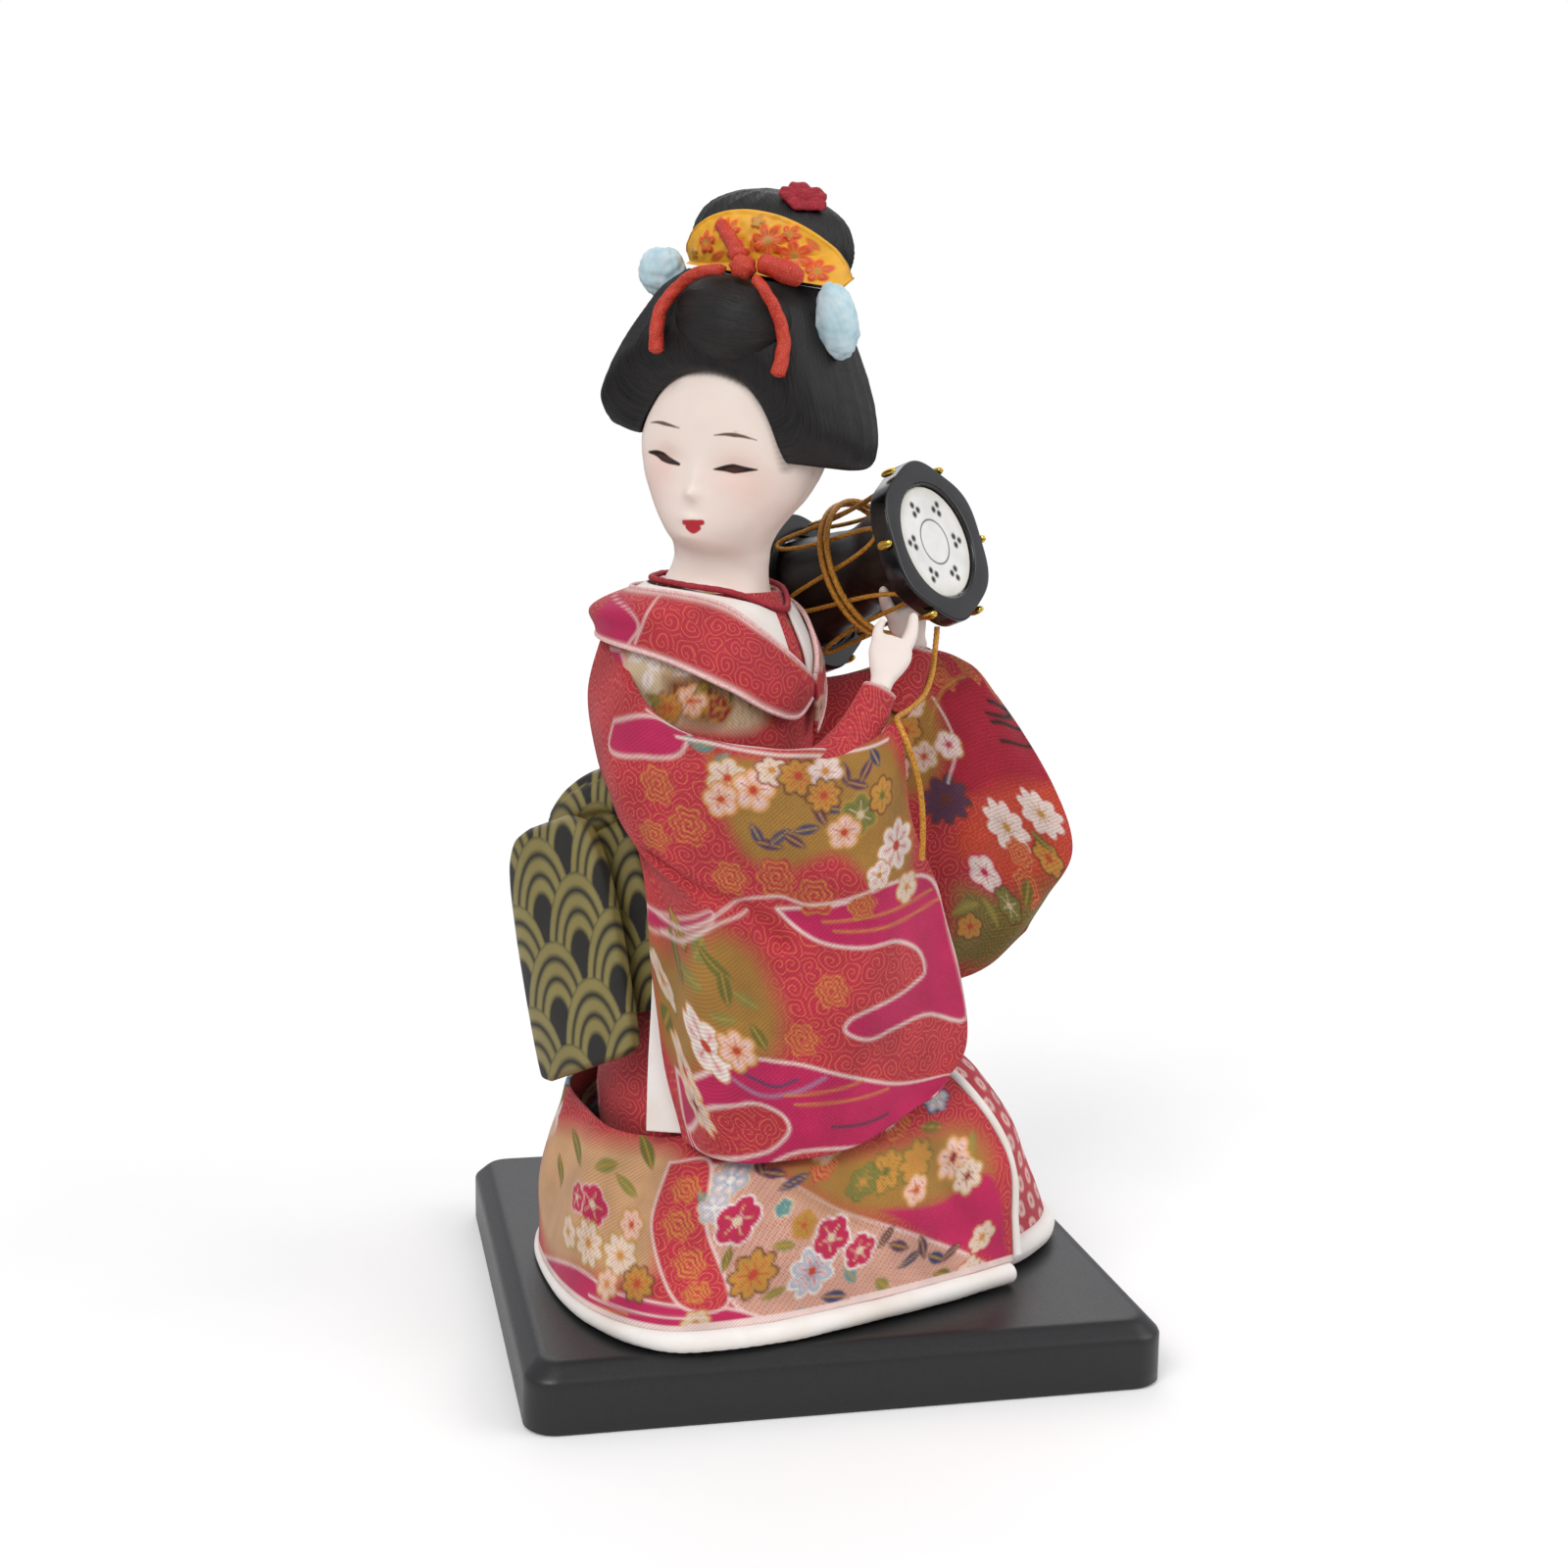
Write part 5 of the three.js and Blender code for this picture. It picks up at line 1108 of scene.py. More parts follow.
fold = fold * np.sin(np.pi * np.minimum(1, v * 1.25))[:, None] ** 2
inward = grid_normals(skirt_grid)
skirt_grid = skirt_grid - inward * fold[..., None]
dents = 0.22 * ripple(skirt_grid, 13, 5) * np.sin(np.pi * v)[:, None] ** 0.5
skirt_grid = skirt_grid - inward * dents[..., None]
skirt_flat = cloth_lengths(skirt_grid)


# %% Skirt pattern, as it can be seen
def skirt_weave(w):
    w.scatter(3, 17)
    w.patch([(562, 1150), (600, 1158), (660, 1170), (690, 1185), (672, 1240), (662, 1300), (610, 1300), (560, 1280),
             (548, 1220)], "straw", soft=5)
    meadow = [(727, 1190), (762, 1186), (820, 1215), (900, 1250), (1005, 1290), (1010, 1312), (900, 1346),
              (800, 1358), (752, 1332), (724, 1272)]
    w.patch(meadow, "blush", "pale", 0.6, steps=60)
    hatch = np.abs((w.flat[..., 0] * 0.9 + w.flat[..., 1] * 0.5) % 1.2 - 0.6) - 0.14
    w.lay(np.maximum(hatch, w.within(meadow, 60)), "rose", soft=0.3)
    w.patch([(790, 1188), (900, 1172), (985, 1150), (1010, 1200), (960, 1228), (880, 1240), (815, 1212)], "ochre",
            soft=5)
    w.patch([(550, 1280), (585, 1292), (622, 1316), (665, 1328), (738, 1334), (785, 1350), (760, 1358), (700, 1366),
             (640, 1376), (600, 1352), (565, 1320)], "pink", "pale", 0.5, steps=60)
    w.patch([(900, 1236), (960, 1226), (1008, 1198), (1024, 1262), (1030, 1292), (960, 1266)], "pink", soft=1)
    w.patch([(640, 1358), (738, 1354), (744, 1380), (650, 1384)], "gold", soft=1.5)
    w.patch([(684, 1186), (724, 1186), (720, 1255), (742, 1330), (690, 1330), (664, 1258)], "red", "pale", 0.5,
            scroll=1.0, steps=50)
    w.rosettes((700, 1215, 2.8), (692, 1250, 3.0), (704, 1290, 3.0), (712, 1320, 2.4), (880, 1150, 3.0),
               (915, 1150, 3.0), (840, 1190, 2.6))
    w.leaves(
            (918, 1272, 5.4, "plum", 20), (930, 1284, 5.4, "navy", -25), (942, 1272, 5.4, "plum", 60),
            (956, 1284, 5.4, "navy", 20), (905, 1262, 5, "plum", -50), (970, 1278, 5, "plum", -30),
            (590, 1170, 8, "olive", 30), (618, 1190, 7, "leaf", -35), (660, 1175, 8, "olive", 60),
            (640, 1210, 7, "leaf", 20), (572, 1195, 6, "olive", 100), (582, 1258, 6, "leaf", 60),
            (800, 1272, 5, "leaf", 10), (742, 1285, 5, "olive", 100), (868, 1300, 5, "teal", 45),
            (790, 1196, 6, "plum", 20), (810, 1205, 6, "navy", -20), (775, 1190, 5, "plum", 60),
            (850, 1322, 6, "navy", 10), (815, 1342, 6, "teal", 5), (790, 1320, 5, "leaf", -20),
            (950, 1150, 6, "olive", 10), (992, 1165, 5, "leaf", 80), (720, 1225, 5, "teal", 50),
            (900, 1310, 5, "leaf", 30), (960, 1300, 5, "olive", 10))
    w.flowers(
            (604, 1228, 3.8, "pink", "cream", "petal", 5), (588, 1222, 2.6, "pink", "cream", "petal", 5),
            (600, 1268, 4.2, "cream", "amber", "gold", 8), (632, 1282, 4.4, "cream", "amber", "gold", 8),
            (580, 1256, 3.0, "cream", "amber", "gold", 6), (650, 1310, 3.4, "gold", "scarlet", "brown", 8),
            (645, 1250, 3.2, "peach", "scarlet", "gold", 6), (620, 1310, 3.0, "peach", "amber", "gold", 6),
            (745, 1204, 3.6, "blue", "white", "cream", 6), (728, 1232, 2.8, "blue", "white", "cream", 6),
            (752, 1246, 4.2, "pink", "cream", "white", 5), (768, 1300, 4.4, "gold", "scarlet", "brown", 8),
            (828, 1297, 4.4, "blue", "scarlet", "white", 8), (848, 1262, 3.8, "pink", "cream", "white", 5),
            (878, 1275, 3.0, "pink", "cream", "white", 5), (800, 1232, 1.6, "teal", "teal", "cream", 5),
            (820, 1250, 2.4, "gold", "scarlet", "amber", 5), (905, 1195, 3.8, "gold", "olive", "olive", 8),
            (935, 1186, 3.8, "gold", "amber", "olive", 8), (880, 1206, 3.0, "leaf", "amber", "olive", 6),
            (972, 1180, 4.0, "peach", "deep_red", "gold", 6), (988, 1200, 3.2, "cream", "deep_red", "gold", 6),
            (955, 1120, 3.4, "blue", "white", "navy", 6), (905, 1135, 3.0, "white", "pink", "petal", 5),
            (935, 1215, 2.8, "peach", "scarlet", "gold", 5), (1002, 1262, 2.8, "cream", "amber", "scarlet", 6),
            (985, 1300, 3.0, "cream", "amber", "scarlet", 6), (845, 1172, 3.0, "peach", "amber", "gold", 5),
            (710, 1350, 2.4, "cream", "amber", "amber", 6))
    for places, ink in (([(560, 1300), (600, 1330), (640, 1342)], "amber"),
                        ([(600, 1322), (660, 1342), (720, 1345)], "pale"),
                        ([(572, 1318), (606, 1350), (636, 1360)], "lavender")):
        w.stroke(places, ink, 0.4)


w = Weave(skirt_grid, skirt_flat, "red", 1.0)
skirt_weave(w)
edge = skirt_flat[..., 1] < PALE_EDGE
w.ink[edge] = [*tint(INK["pale"]), 0]
skirt = two_skins("skirt_cloth", skirt_grid, skirt_grid + inward * CLOTH, BROCADE, uv=skirt_flat, paint=w.ink)
fit(skirt, "doll", "brocade", "skirt")
print("skirt seen from", int(w.front.sum()), "of", w.front.size, "points")

# %% [markdown]
# ### Padded hems and piping
# The hem is a silk roll stuffed with wadding. A bevelled curve would be a perfect
# tube, so its radius swells and dips a little along its length, as wadding does,
# and small gathers cross it where it is stitched under.


# %% Hem rolls
GATHERS, PIPING_RADIUS = 0.035, 0.9


def padded_roll(name, row, radius, node, steps, seed=1):
    """A stuffed roll that rests on the plinth along a hem, and swells and dips a little"""
    line = smooth_line(row, np.linspace(0, 1, steps))
    length, angle = run_length(line), round_turn(20)
    line[:, 2] = radius + GAP
    swell = 1 - 0.05 * np.sin(length / 9 + seed) ** 2 - 0.03 * np.sin(length / 3.7 + 2 * seed) ** 2
    pucker = 1 - GATHERS * np.maximum(0, np.sin(length * TAU / 2.3 + 0.6 * np.sin(length)))[:, None] \
        * np.maximum(0, np.cos(angle + math.pi / 2))[None]
    end = np.minimum(np.minimum(length, length[-1] - length) / 1.2, 1)
    ring = (radius * swell)[:, None] * pucker * np.sqrt(np.maximum(1 - (1 - end) ** 2, 0.04))[:, None]
    flat = np.stack(np.broadcast_arrays(angle * 2, length[:, None]), -1)
    piece = fit(lofted(name, swept(line, ring, angle), WHITE_SILK, uv=flat), "doll", "white_silk", node)


padded_roll("skirt_hem_padding", hem_row, hem_radius(np.linspace(0, 1, 640)), "skirt_hem_roll", 640)
shares = np.array([0.03, 0.12, 0.25, 0.4, 0.55, 0.7, 0.82])
edge_points = guided(SKIRT_ROWS, np.array([0, 0.02]), shares)
outward = unit(edge_points[:, 0] - edge_points[:, 1])
line = smooth_line(edge_points[:, 0] + outward * (PIPING_RADIUS + GAP), np.linspace(0, 1, 120))
fit(rope("skirt_front_piping", line, PIPING_RADIUS, WHITE_SILK, sides=14), "doll", "white_silk", "front_edge_piping")

# %% Under skirt
UNDER_HEM = 2 * UNDER_HEM_RADIUS + GAP
UNDER_ROWS = [
    [[33.5, -27.5, UNDER_HEM], [43.8, -18.5, UNDER_HEM], [52, -4, UNDER_HEM], [51, 9, UNDER_HEM],
     [34.5, 24.5, UNDER_HEM]],
    [[33.2, -26.5, 14], [42.5, -17, 14], [49, -3, 14], [48, 9, 14], [34, 22.5, 14]],
    [[32, -23, 26], [40, -14, 26], [44.5, -2, 26], [43, 9.5, 26], [32.5, 19, 26]],
    [[22, -17, 37], [29.5, -9.5, 38], [34, -1, 38], [32.5, 7.5, 38], [22.5, 14, 37.5]],
    [[11, -8, 43.5], [14.5, -5, 44], [16, -2, 44], [15.5, 1, 44], [11.5, 3, 43.5]],
]
under_grid = guided(UNDER_ROWS, np.linspace(0, 1, 150), np.linspace(0, 1, 110))
outward = grid_normals(under_grid)
under_grid = under_grid + outward * (0.25 * ripple(under_grid, 15, 8))[..., None]
under_flat = cloth_lengths(under_grid)
w = Weave(under_grid, under_flat, "red", 0.3)
for row in range(-8, 9):
    for column in range(16):
        centre = np.array([row * 6.0 + 3.0 * (column % 2), column * 4.4])
        w.flower(centre, 1.7, "petal", "scarlet", None, petals=4, turn=45)
under = two_skins("under_skirt_cloth", under_grid, under_grid - outward * CLOTH, BROCADE, uv=under_flat, paint=w.ink)
fit(under, "doll", "brocade", "under_skirt")
padded_roll("under_skirt_padding", UNDER_ROWS[0], UNDER_HEM_RADIUS, "under_skirt_hem_roll", 200, seed=4)
print("skirts:", [round(x * 1000) for x in skirt.dimensions], [round(x * 1000) for x in under.dimensions])

# %% [markdown]
# ## Sleeves
# Each sleeve is a stiff bag of brocade hung over the arm. The near one shows most
# of the pattern, and its largest fold falls from the elbow. It is a guided
# surface with fanned folds; the deep crease of the photograph is pressed in along
# its own line.

# %% Near sleeve
NEAR_SLEEVE = [
    [[-35.5, -16.5, 126], [-25.8, -32.6, 111.6], [-8.5, -35.6, 105.4], [9.5, -35.6, 105.8], [18.4, -32.6, 110.6]],
    [[-37.2, -15.5, 124.5], [-28, -34.4, 110.5], [-9, -38.9, 105.4], [10.5, -38.3, 106], [19.2, -34.6, 110]],
    [[-39.5, -19, 113.5], [-31.5, -38, 100], [-9, -44, 96.5], [11, -43, 97], [20, -38, 105]],
    [[-37, -21, 99], [-29, -38, 89], [-9, -44, 86], [12, -42, 86], [22, -34, 92]],
    [[-28, -34, 84], [-21, -40.5, 77], [-8, -43, 73], [12, -40, 74], [28, -28, 78]],
    [[-25.5, -36.5, 62], [-19, -42, 60], [-7, -43.5, 58], [12, -40.5, 60], [33, -24, 60]],
    [[-23.5, -38, 45], [-17, -42.5, 44], [-6, -43.5, 44], [13, -39.5, 45], [34, -22, 46]],
    [[-20, -38.5, 31.5], [-14, -42, 29.5], [-5, -43, 29], [12, -39, 31], [28, -30, 39]],
]
DRAPE_DEPTH, ELBOW, SLEEVE_RIM = 1.1, 0.42, 1.3


def draped(rows, turns, cols, lines):
    """A sleeve's grid, with folds that fan out below the elbow, and its inward side"""
    u, v = np.linspace(0, 1, cols)[None], np.linspace(0, 1, lines)[:, None]
    grid = guided(rows, u[0], v[:, 0])
    inward = grid_normals(grid)
    fall = ease(v, ELBOW, ELBOW + 0.25) * np.sin(np.pi * np.minimum(1, v * 1.02)) ** 0.5
    wave = np.cos(TAU * (turns * u + 0.9 * v)) * DRAPE_DEPTH * fall
    return grid + inward * wave[..., None], inward


def pressed(w, grid, inward, places, depth, width, lift=0.0):
    """Presses a crease into cloth along a line in the picture; lift rounds the cloth above it"""
    away = w.to_line(w.line_at(places, 24))
    push = depth * np.exp(-(away / width) ** 2) - lift * np.exp(-((away - 2.2 * width) / (1.6 * width)) ** 2)
    return grid + inward * push[..., None]


near_grid, inward = draped(NEAR_SLEEVE, 2.5, 200, 240)
near_flat = cloth_lengths(near_grid)
w = Weave(near_grid, near_flat, "red", 1.0)
near_grid = pressed(w, near_grid, inward, [(662, 872), (710, 905), (760, 925), (800, 962)], 1.0, 1.3, 0.5)
near_grid = pressed(w, near_grid, inward, [(668, 778), (740, 768), (820, 775), (890, 745)], 0.5, 1.2, 0.3)
near_grid = near_grid - inward * (0.18 * ripple(near_grid, 11, 2))[..., None]


def near_sleeve_weave(w):
    w.scatter(7, 17)
    w.patch([(626, 735), (660, 730), (704, 745), (696, 768), (655, 772), (622, 765)], "pink", "petal")
    w.patch([(722, 768), (800, 775), (868, 765), (905, 755), (925, 800), (930, 880), (900, 905), (855, 872),
             (800, 888), (762, 874), (738, 830)], "ochre", soft=3)
    w.patch([(655, 925), (690, 936), (722, 931), (724, 944), (690, 952), (655, 948)], "pink", "petal", 0.5)
    w.patch([(662, 958), (720, 952), (762, 968), (786, 1002), (800, 1045), (788, 1082), (740, 1084), (690, 1090),
             (664, 1040)], "ochre", soft=5)
    w.patch([(793, 927), (813, 947), (840, 963), (880, 967), (913, 960), (937, 970), (943, 990), (933, 1003),
             (913, 1017), (887, 1030), (867, 1040), (863, 1053), (887, 1060), (913, 1050), (947, 1035), (984, 1040),
             (992, 1000), (988, 950), (978, 905), (940, 892), (900, 905), (850, 925)], "pink", "pale", 0.6, steps=90)
    w.patch([(690, 1092), (740, 1085), (800, 1084), (850, 1094), (905, 1106), (968, 1096), (960, 1125), (870, 1170),
             (790, 1190), (700, 1182)], "pink", "pale", 0.6, steps=60)
    w.patch([(602, 1080), (662, 1084), (668, 1178), (640, 1168), (606, 1142)], "pink", soft=1)
    w.patch([(702, 1152), (722, 1132), (760, 1126), (794, 1134), (806, 1152), (790, 1172), (750, 1182),
             (712, 1176)], "red", "pale", 0.6, scroll=1.0)
    w.rosettes((672, 800, 3.4), (702, 842, 3.8), (668, 852, 3.0), (792, 895, 3.6), (832, 915, 3.8),
               (745, 895, 3.2), (880, 925, 2.8), (850, 1010, 3.2), (820, 1060, 3.2))
    w.leaves(
            (772, 852, 5, "navy", 60), (784, 862, 5.4, "plum", 10), (796, 854, 5, "navy", -40),
            (812, 858, 5, "plum", 30), (824, 846, 5.2, "navy", -10), (836, 832, 5, "plum", 60),
            (850, 826, 4.6, "navy", 10), (862, 790, 5, "plum", 80), (874, 800, 5, "plum", 20),
            (884, 786, 5.4, "plum", 120), (893, 772, 5, "navy", 60), (690, 975, 8, "olive", 60),
            (712, 968, 8, "leaf", 110), (728, 985, 8, "olive", 20), (704, 1000, 7, "leaf", -30),
            (740, 1010, 7, "olive", 80), (760, 1020, 6, "leaf", 30), (680, 1040, 7, "olive", 100),
            (775, 1058, 6, "olive", 60), (738, 1040, 6, "leaf", -20), (905, 885, 5, "olive", 30),
            (720, 762, 5, "teal", -20), (735, 776, 5, "teal", -60), (706, 757, 4, "teal", 20))
    w.flowers(
            (742, 794, 3.8, "cream", "scarlet", "amber", 6), (768, 806, 4.0, "peach", "scarlet", "gold", 5),
            (735, 815, 3.2, "peach", "scarlet", "amber", 5), (788, 786, 3.0, "cream", "amber", "deep_red", 6),
            (815, 792, 3.6, "gold", "scarlet", "brown", 8), (842, 788, 3.2, "petal", "amber", "gold", 6),
            (840, 812, 3.0, "gold", "scarlet", "brown", 8), (878, 832, 3.8, "leaf", "cream", "gold", 6),
            (862, 850, 3.2, "peach", "scarlet", "gold", 5), (900, 812, 3.2, "gold", "olive", "brown", 6),
            (914, 862, 4.8, "white", "scarlet", "amber", 7), (898, 894, 2.8, "white", "amber", "amber", 5),
            (925, 905, 2.8, "cream", "amber", "amber", 5), (720, 1068, 5.2, "white", "scarlet", "peach", 6),
            (752, 1072, 3.8, "peach", "scarlet", "gold", 6), (700, 1092, 3.6, "cream", "scarlet", "peach", 6),
            (710, 1128, 3.6, "cream", "deep_red", "peach", 8), (676, 1000, 3.0, "cream", "amber", "olive", 5),
            (692, 948, 2.4, "gold", "olive", "brown", 5), lift=1)
    for places, ink, width in (
            ([(668, 930), (735, 930), (790, 914), (830, 924), (905, 898)], "pale", 0.5),
            ([(675, 950), (722, 948), (762, 930)], "pale", 0.5), ([(840, 940), (890, 935), (950, 908)], "amber", 0.4),
            ([(850, 950), (900, 948), (958, 918)], "amber", 0.4),
            ([(748, 1102), (780, 1118), (815, 1112), (842, 1100)], "lavender", 0.7),
            ([(760, 1096), (790, 1108), (812, 1102)], "navy", 0.5),
            ([(800, 1118), (850, 1112), (880, 1102)], "amber", 0.4),
            ([(812, 1126), (870, 1122), (905, 1110)], "amber", 0.4),
            ([(850, 1150), (880, 1146), (905, 1136)], "plum", 0.6),
            ([(660, 724), (700, 737), (745, 743), (800, 747), (850, 743), (895, 734)], "pale", 0.7),
            ([(690, 752), (735, 761), (800, 771), (860, 768), (906, 754)], "pale", 0.6)):
        w.stroke(places, ink, width)


near_sleeve_weave(w)
near_sleeve = two_skins("near_sleeve_cloth", near_grid, near_grid + inward * SLEEVE_RIM, BROCADE, uv=near_flat,
                        paint=w.ink)
fit(near_sleeve, "doll", "brocade", "right_sleeve")

# %% Far sleeve
FAR_SLEEVE = [
    [[-9, 13, 109], [10, 22, 110], [26, 20, 116], [35, 16, 116], [40, 13, 112]],
    [[-9, 7.5, 113.5], [10, 16, 114], [26, 13, 119.5], [36, 11, 116.5], [42, 11.5, 110]],
    [[-2, 6, 104], [17, 7, 106], [31, 6, 107.5], [41, 8, 105], [47, 11.5, 103]],
    [[3, 5, 91], [20, 4, 92], [34, 4, 92], [45, 7, 91], [53.5, 11.5, 92]],
    [[8, 7, 76], [23, 4, 77], [36, 5, 76], [47, 8, 77], [57.5, 11.5, 79]],
    [[13, 10.5, 64], [25.5, 7, 62], [37, 8, 62], [46, 10, 65], [53, 12, 69]],
    [[19, 14, 54], [27, 13, 51], [34, 13, 50.5], [42, 14, 54], [49, 14, 61]],
]
FAR_ARM_ROW, FAR_ARM_WIDTH, SLEEVE_BAG, OVER_ARM = 0.17, 0.13, 4.2, 9.0


def far_depth(u, v):
    """Thickness of the quilted far sleeve: full over the arm, thin at its rims"""
    over_arm = np.exp(-((v - FAR_ARM_ROW) / FAR_ARM_WIDTH) ** 2)
    bag = SLEEVE_BAG * np.minimum(1, np.sin(np.pi * np.clip(u, 0.02, 0.98)) * 2)
    bag = bag * (1 - ease(u, 0.62, 0.88) * (1 - ease(v, 0.12, 0.4)))
    hem = ease(1 - v, 0, 0.16) * ease(v, 0, 0.06)
    start = (0.55 + 0.45 * ease(u, 0, 0.2)) * (1 - ease(u, 0.54, 0.76))
    return SLEEVE_RIM + (np.maximum(bag, OVER_ARM * over_arm * start) - SLEEVE_RIM) * hem


far_grid, inward = draped(FAR_SLEEVE, 2, 170, 200)
u, v = np.linspace(0, 1, 170)[None], np.linspace(0, 1, 200)[:, None]
back_grid = far_grid + inward * far_depth(u, v)[..., None]
far_grid = far_grid - inward * (0.18 * ripple(far_grid, 11, 4))[..., None]
far_flat = cloth_lengths(far_grid)
w = Weave(far_grid, far_flat, "red", 1.0)


def far_sleeve_weave(w):
    w.scatter(13, 16)
    w.patch([(952, 712), (985, 690), (1018, 705), (1062, 775), (1070, 802), (1010, 815), (968, 800)], "crimson",
            soft=2)
    w.patch([(897, 715), (940, 702), (962, 750), (952, 800), (912, 805), (898, 760)], "ochre", soft=4)
    w.patch([(990, 818), (1070, 800), (1098, 862), (1086, 905), (1018, 900), (975, 870)], "scarlet", None, scroll=0.5,
            soft=4)
    w.patch([(975, 905), (1020, 915), (1085, 900), (1050, 950), (1000, 990), (960, 985)], "olive", soft=5, scroll=0.6)
    w.flowers(
            (965, 815, 4.8, "plum", "brown", "brown", 9), (1027, 845, 4.6, "petal", "gold", "white", 9),
            (1062, 830, 4.2, "petal", "gold", "white", 9), (1005, 890, 3.8, "petal", "pink", "pink", 5),
            (925, 745, 3.2, "gold", "scarlet", "brown", 6), (942, 772, 3.0, "cream", "scarlet", "gold", 6),
            (915, 785, 3.0, "peach", "scarlet", "brown", 5), (930, 720, 2.8, "cream", "amber", "gold", 5),
            (968, 760, 2.8, "petal", "pink", "gold", 5), (1070, 875, 3.0, "gold", "scarlet", "brown", 6),
            (990, 945, 3.0, "gold", "scarlet", "brown", 6), (1030, 925, 3.0, "leaf", "cream", "brown", 6))
    w.rosettes(*((x, y, 2.8) for x, y in ((1010, 700), (985, 680), (948, 672), (960, 690), (1050, 905), (1040, 870))))
    w.leaves((1012, 930, 6, "leaf", 40), (1048, 912, 6, "olive", 100), (985, 925, 7, "leaf", -20),
             (970, 965, 6, "olive", 60), (1062, 858, 5, "olive", 20))
    for places in ([(1008, 716), (1028, 722), (1046, 719)], [(1012, 736), (1034, 742), (1052, 738)],
                   [(1006, 727), (1020, 731), (1030, 729)], [(1022, 756), (1040, 760), (1058, 757)]):
        w.stroke(places, "black", 0.7)
    w.stroke([(952, 712), (975, 760), (968, 800)], "pale", 0.4)
    w.stroke([(985, 690), (962, 705), (948, 740)], "gold", 0.4)


far_sleeve_weave(w)
far_sleeve = two_skins("far_sleeve_cloth", far_grid, back_grid, BROCADE, uv=far_flat, paint=w.ink)
fit(far_sleeve, "doll", "brocade", "left_sleeve")

# %% Cuffs
CUFFS = {
    "near": ([[2.5, -36.9, 101.8], [8.6, -34.4, 104.2], [12, -30.9, 108.6], [15.5, -27.5, 115.9]],
             [3.2, 4.7, 4.1, 3.3]),
    "far": ([[20.5, 9.8, 108], [22.4, 9.6, 112.4], [24.9, 9.3, 121]], [4.2, 3.8, 3.1]),
}
CUFF_CLOTH = 0.6
share, turn = np.linspace(0, 1, 60), round_turn(96)
for side, (line, radii) in CUFFS.items():
    size = smooth_line(np.array(radii)[:, None], share) * (1 + 0.05 * np.sin(3 * turn + 4 * share[:, None]))
    centre = smooth_line(line, share)
    outer, inner = (swept(centre, radius, turn, (0, 1.0, 0)) for radius in (size, size - CUFF_CLOTH))
    flat = cloth_lengths(outer)
    w = Weave(outer, flat, "red", 1.0)
    w.lay(cloth_lengths(outer[::-1])[::-1, :, 1] - 0.5, "petal")
    fit(two_skins(f"{side}_cuff", outer, inner, BROCADE, wrap=True, uv=flat, paint=w.ink), "doll", "brocade")
print("cuffs:", list(CUFFS))

# %% White lining strip
STRIP = [
    [[-26.4, -31.8, 84], [-25, -31.8, 84]], [[-26.2, -33.8, 62], [-21, -33.8, 61]],
    [[-26.8, -35.8, 45], [-19, -35.8, 45]], [[-27, -37, 33], [-18.3, -37, 32.5]],
]
strip_grid = guided(STRIP, np.linspace(0, 1, 24), np.linspace(0, 1, 120))
inward = grid_normals(strip_grid)
strip_grid = strip_grid + inward * (0.15 * ripple(strip_grid, 8, 9))[..., None]
strip = two_skins("lining_strip", strip_grid, strip_grid + inward * 0.5, WHITE_SILK, uv=cloth_lengths(strip_grid))
fit(strip, "doll", "white_silk", "sleeve_lining_strip")
print("sleeves:", [round(x * 1000) for x in near_sleeve.dimensions], [round(x * 1000) for x in far_sleeve.dimensions])

# %% [markdown]
# ## The bow of the belt
# The bow on the back is a stiff folded pad: a crowned pillow of black brocade, a
# second fold behind it and a rolled knot on top. Its front and back bulge, its
# sides pull in towards the seams, and the woven arcs run straight across it.

# %% Padded bow
PAD_OUTLINE = [
    [0, -13.2, -24, 8, -19.6], [0.06, -15, -22.3, 10.4, -17.6], [0.35, -15.6, -8, 11, -6],
    [0.63, -15.6, 6, 10.8, 8], [0.87, -14.6, 18, 9.2, 20], [0.95, -12, 23, 6.6, 25], [1, -8, 25.4, 2.6, 27],
]
FOLD_OUTLINE = [[0, -9, -15, 10.5, -12], [0.1, -10.5, -13, 12.6, -9.5], [0.55, -11, 4, 13.2, 6],
                [0.9, -9.6, 19, 11, 21], [1, -6.5, 22.5, 7.5, 24.4]]
PAD_THICKNESS, FOLD_THICKNESS, PAD_CROWN = 8, 7.5, 1.6
FOLD_MIDDLE = (PAD_THICKNESS + FOLD_THICKNESS) / 2 + GAP
SIDE_POWER, FACE_POWER = 0.55, 0.5


def powered(values, power):
    """A sine or cosine with squarer shoulders"""
    return np.sign(values) * np.abs(values) ** power


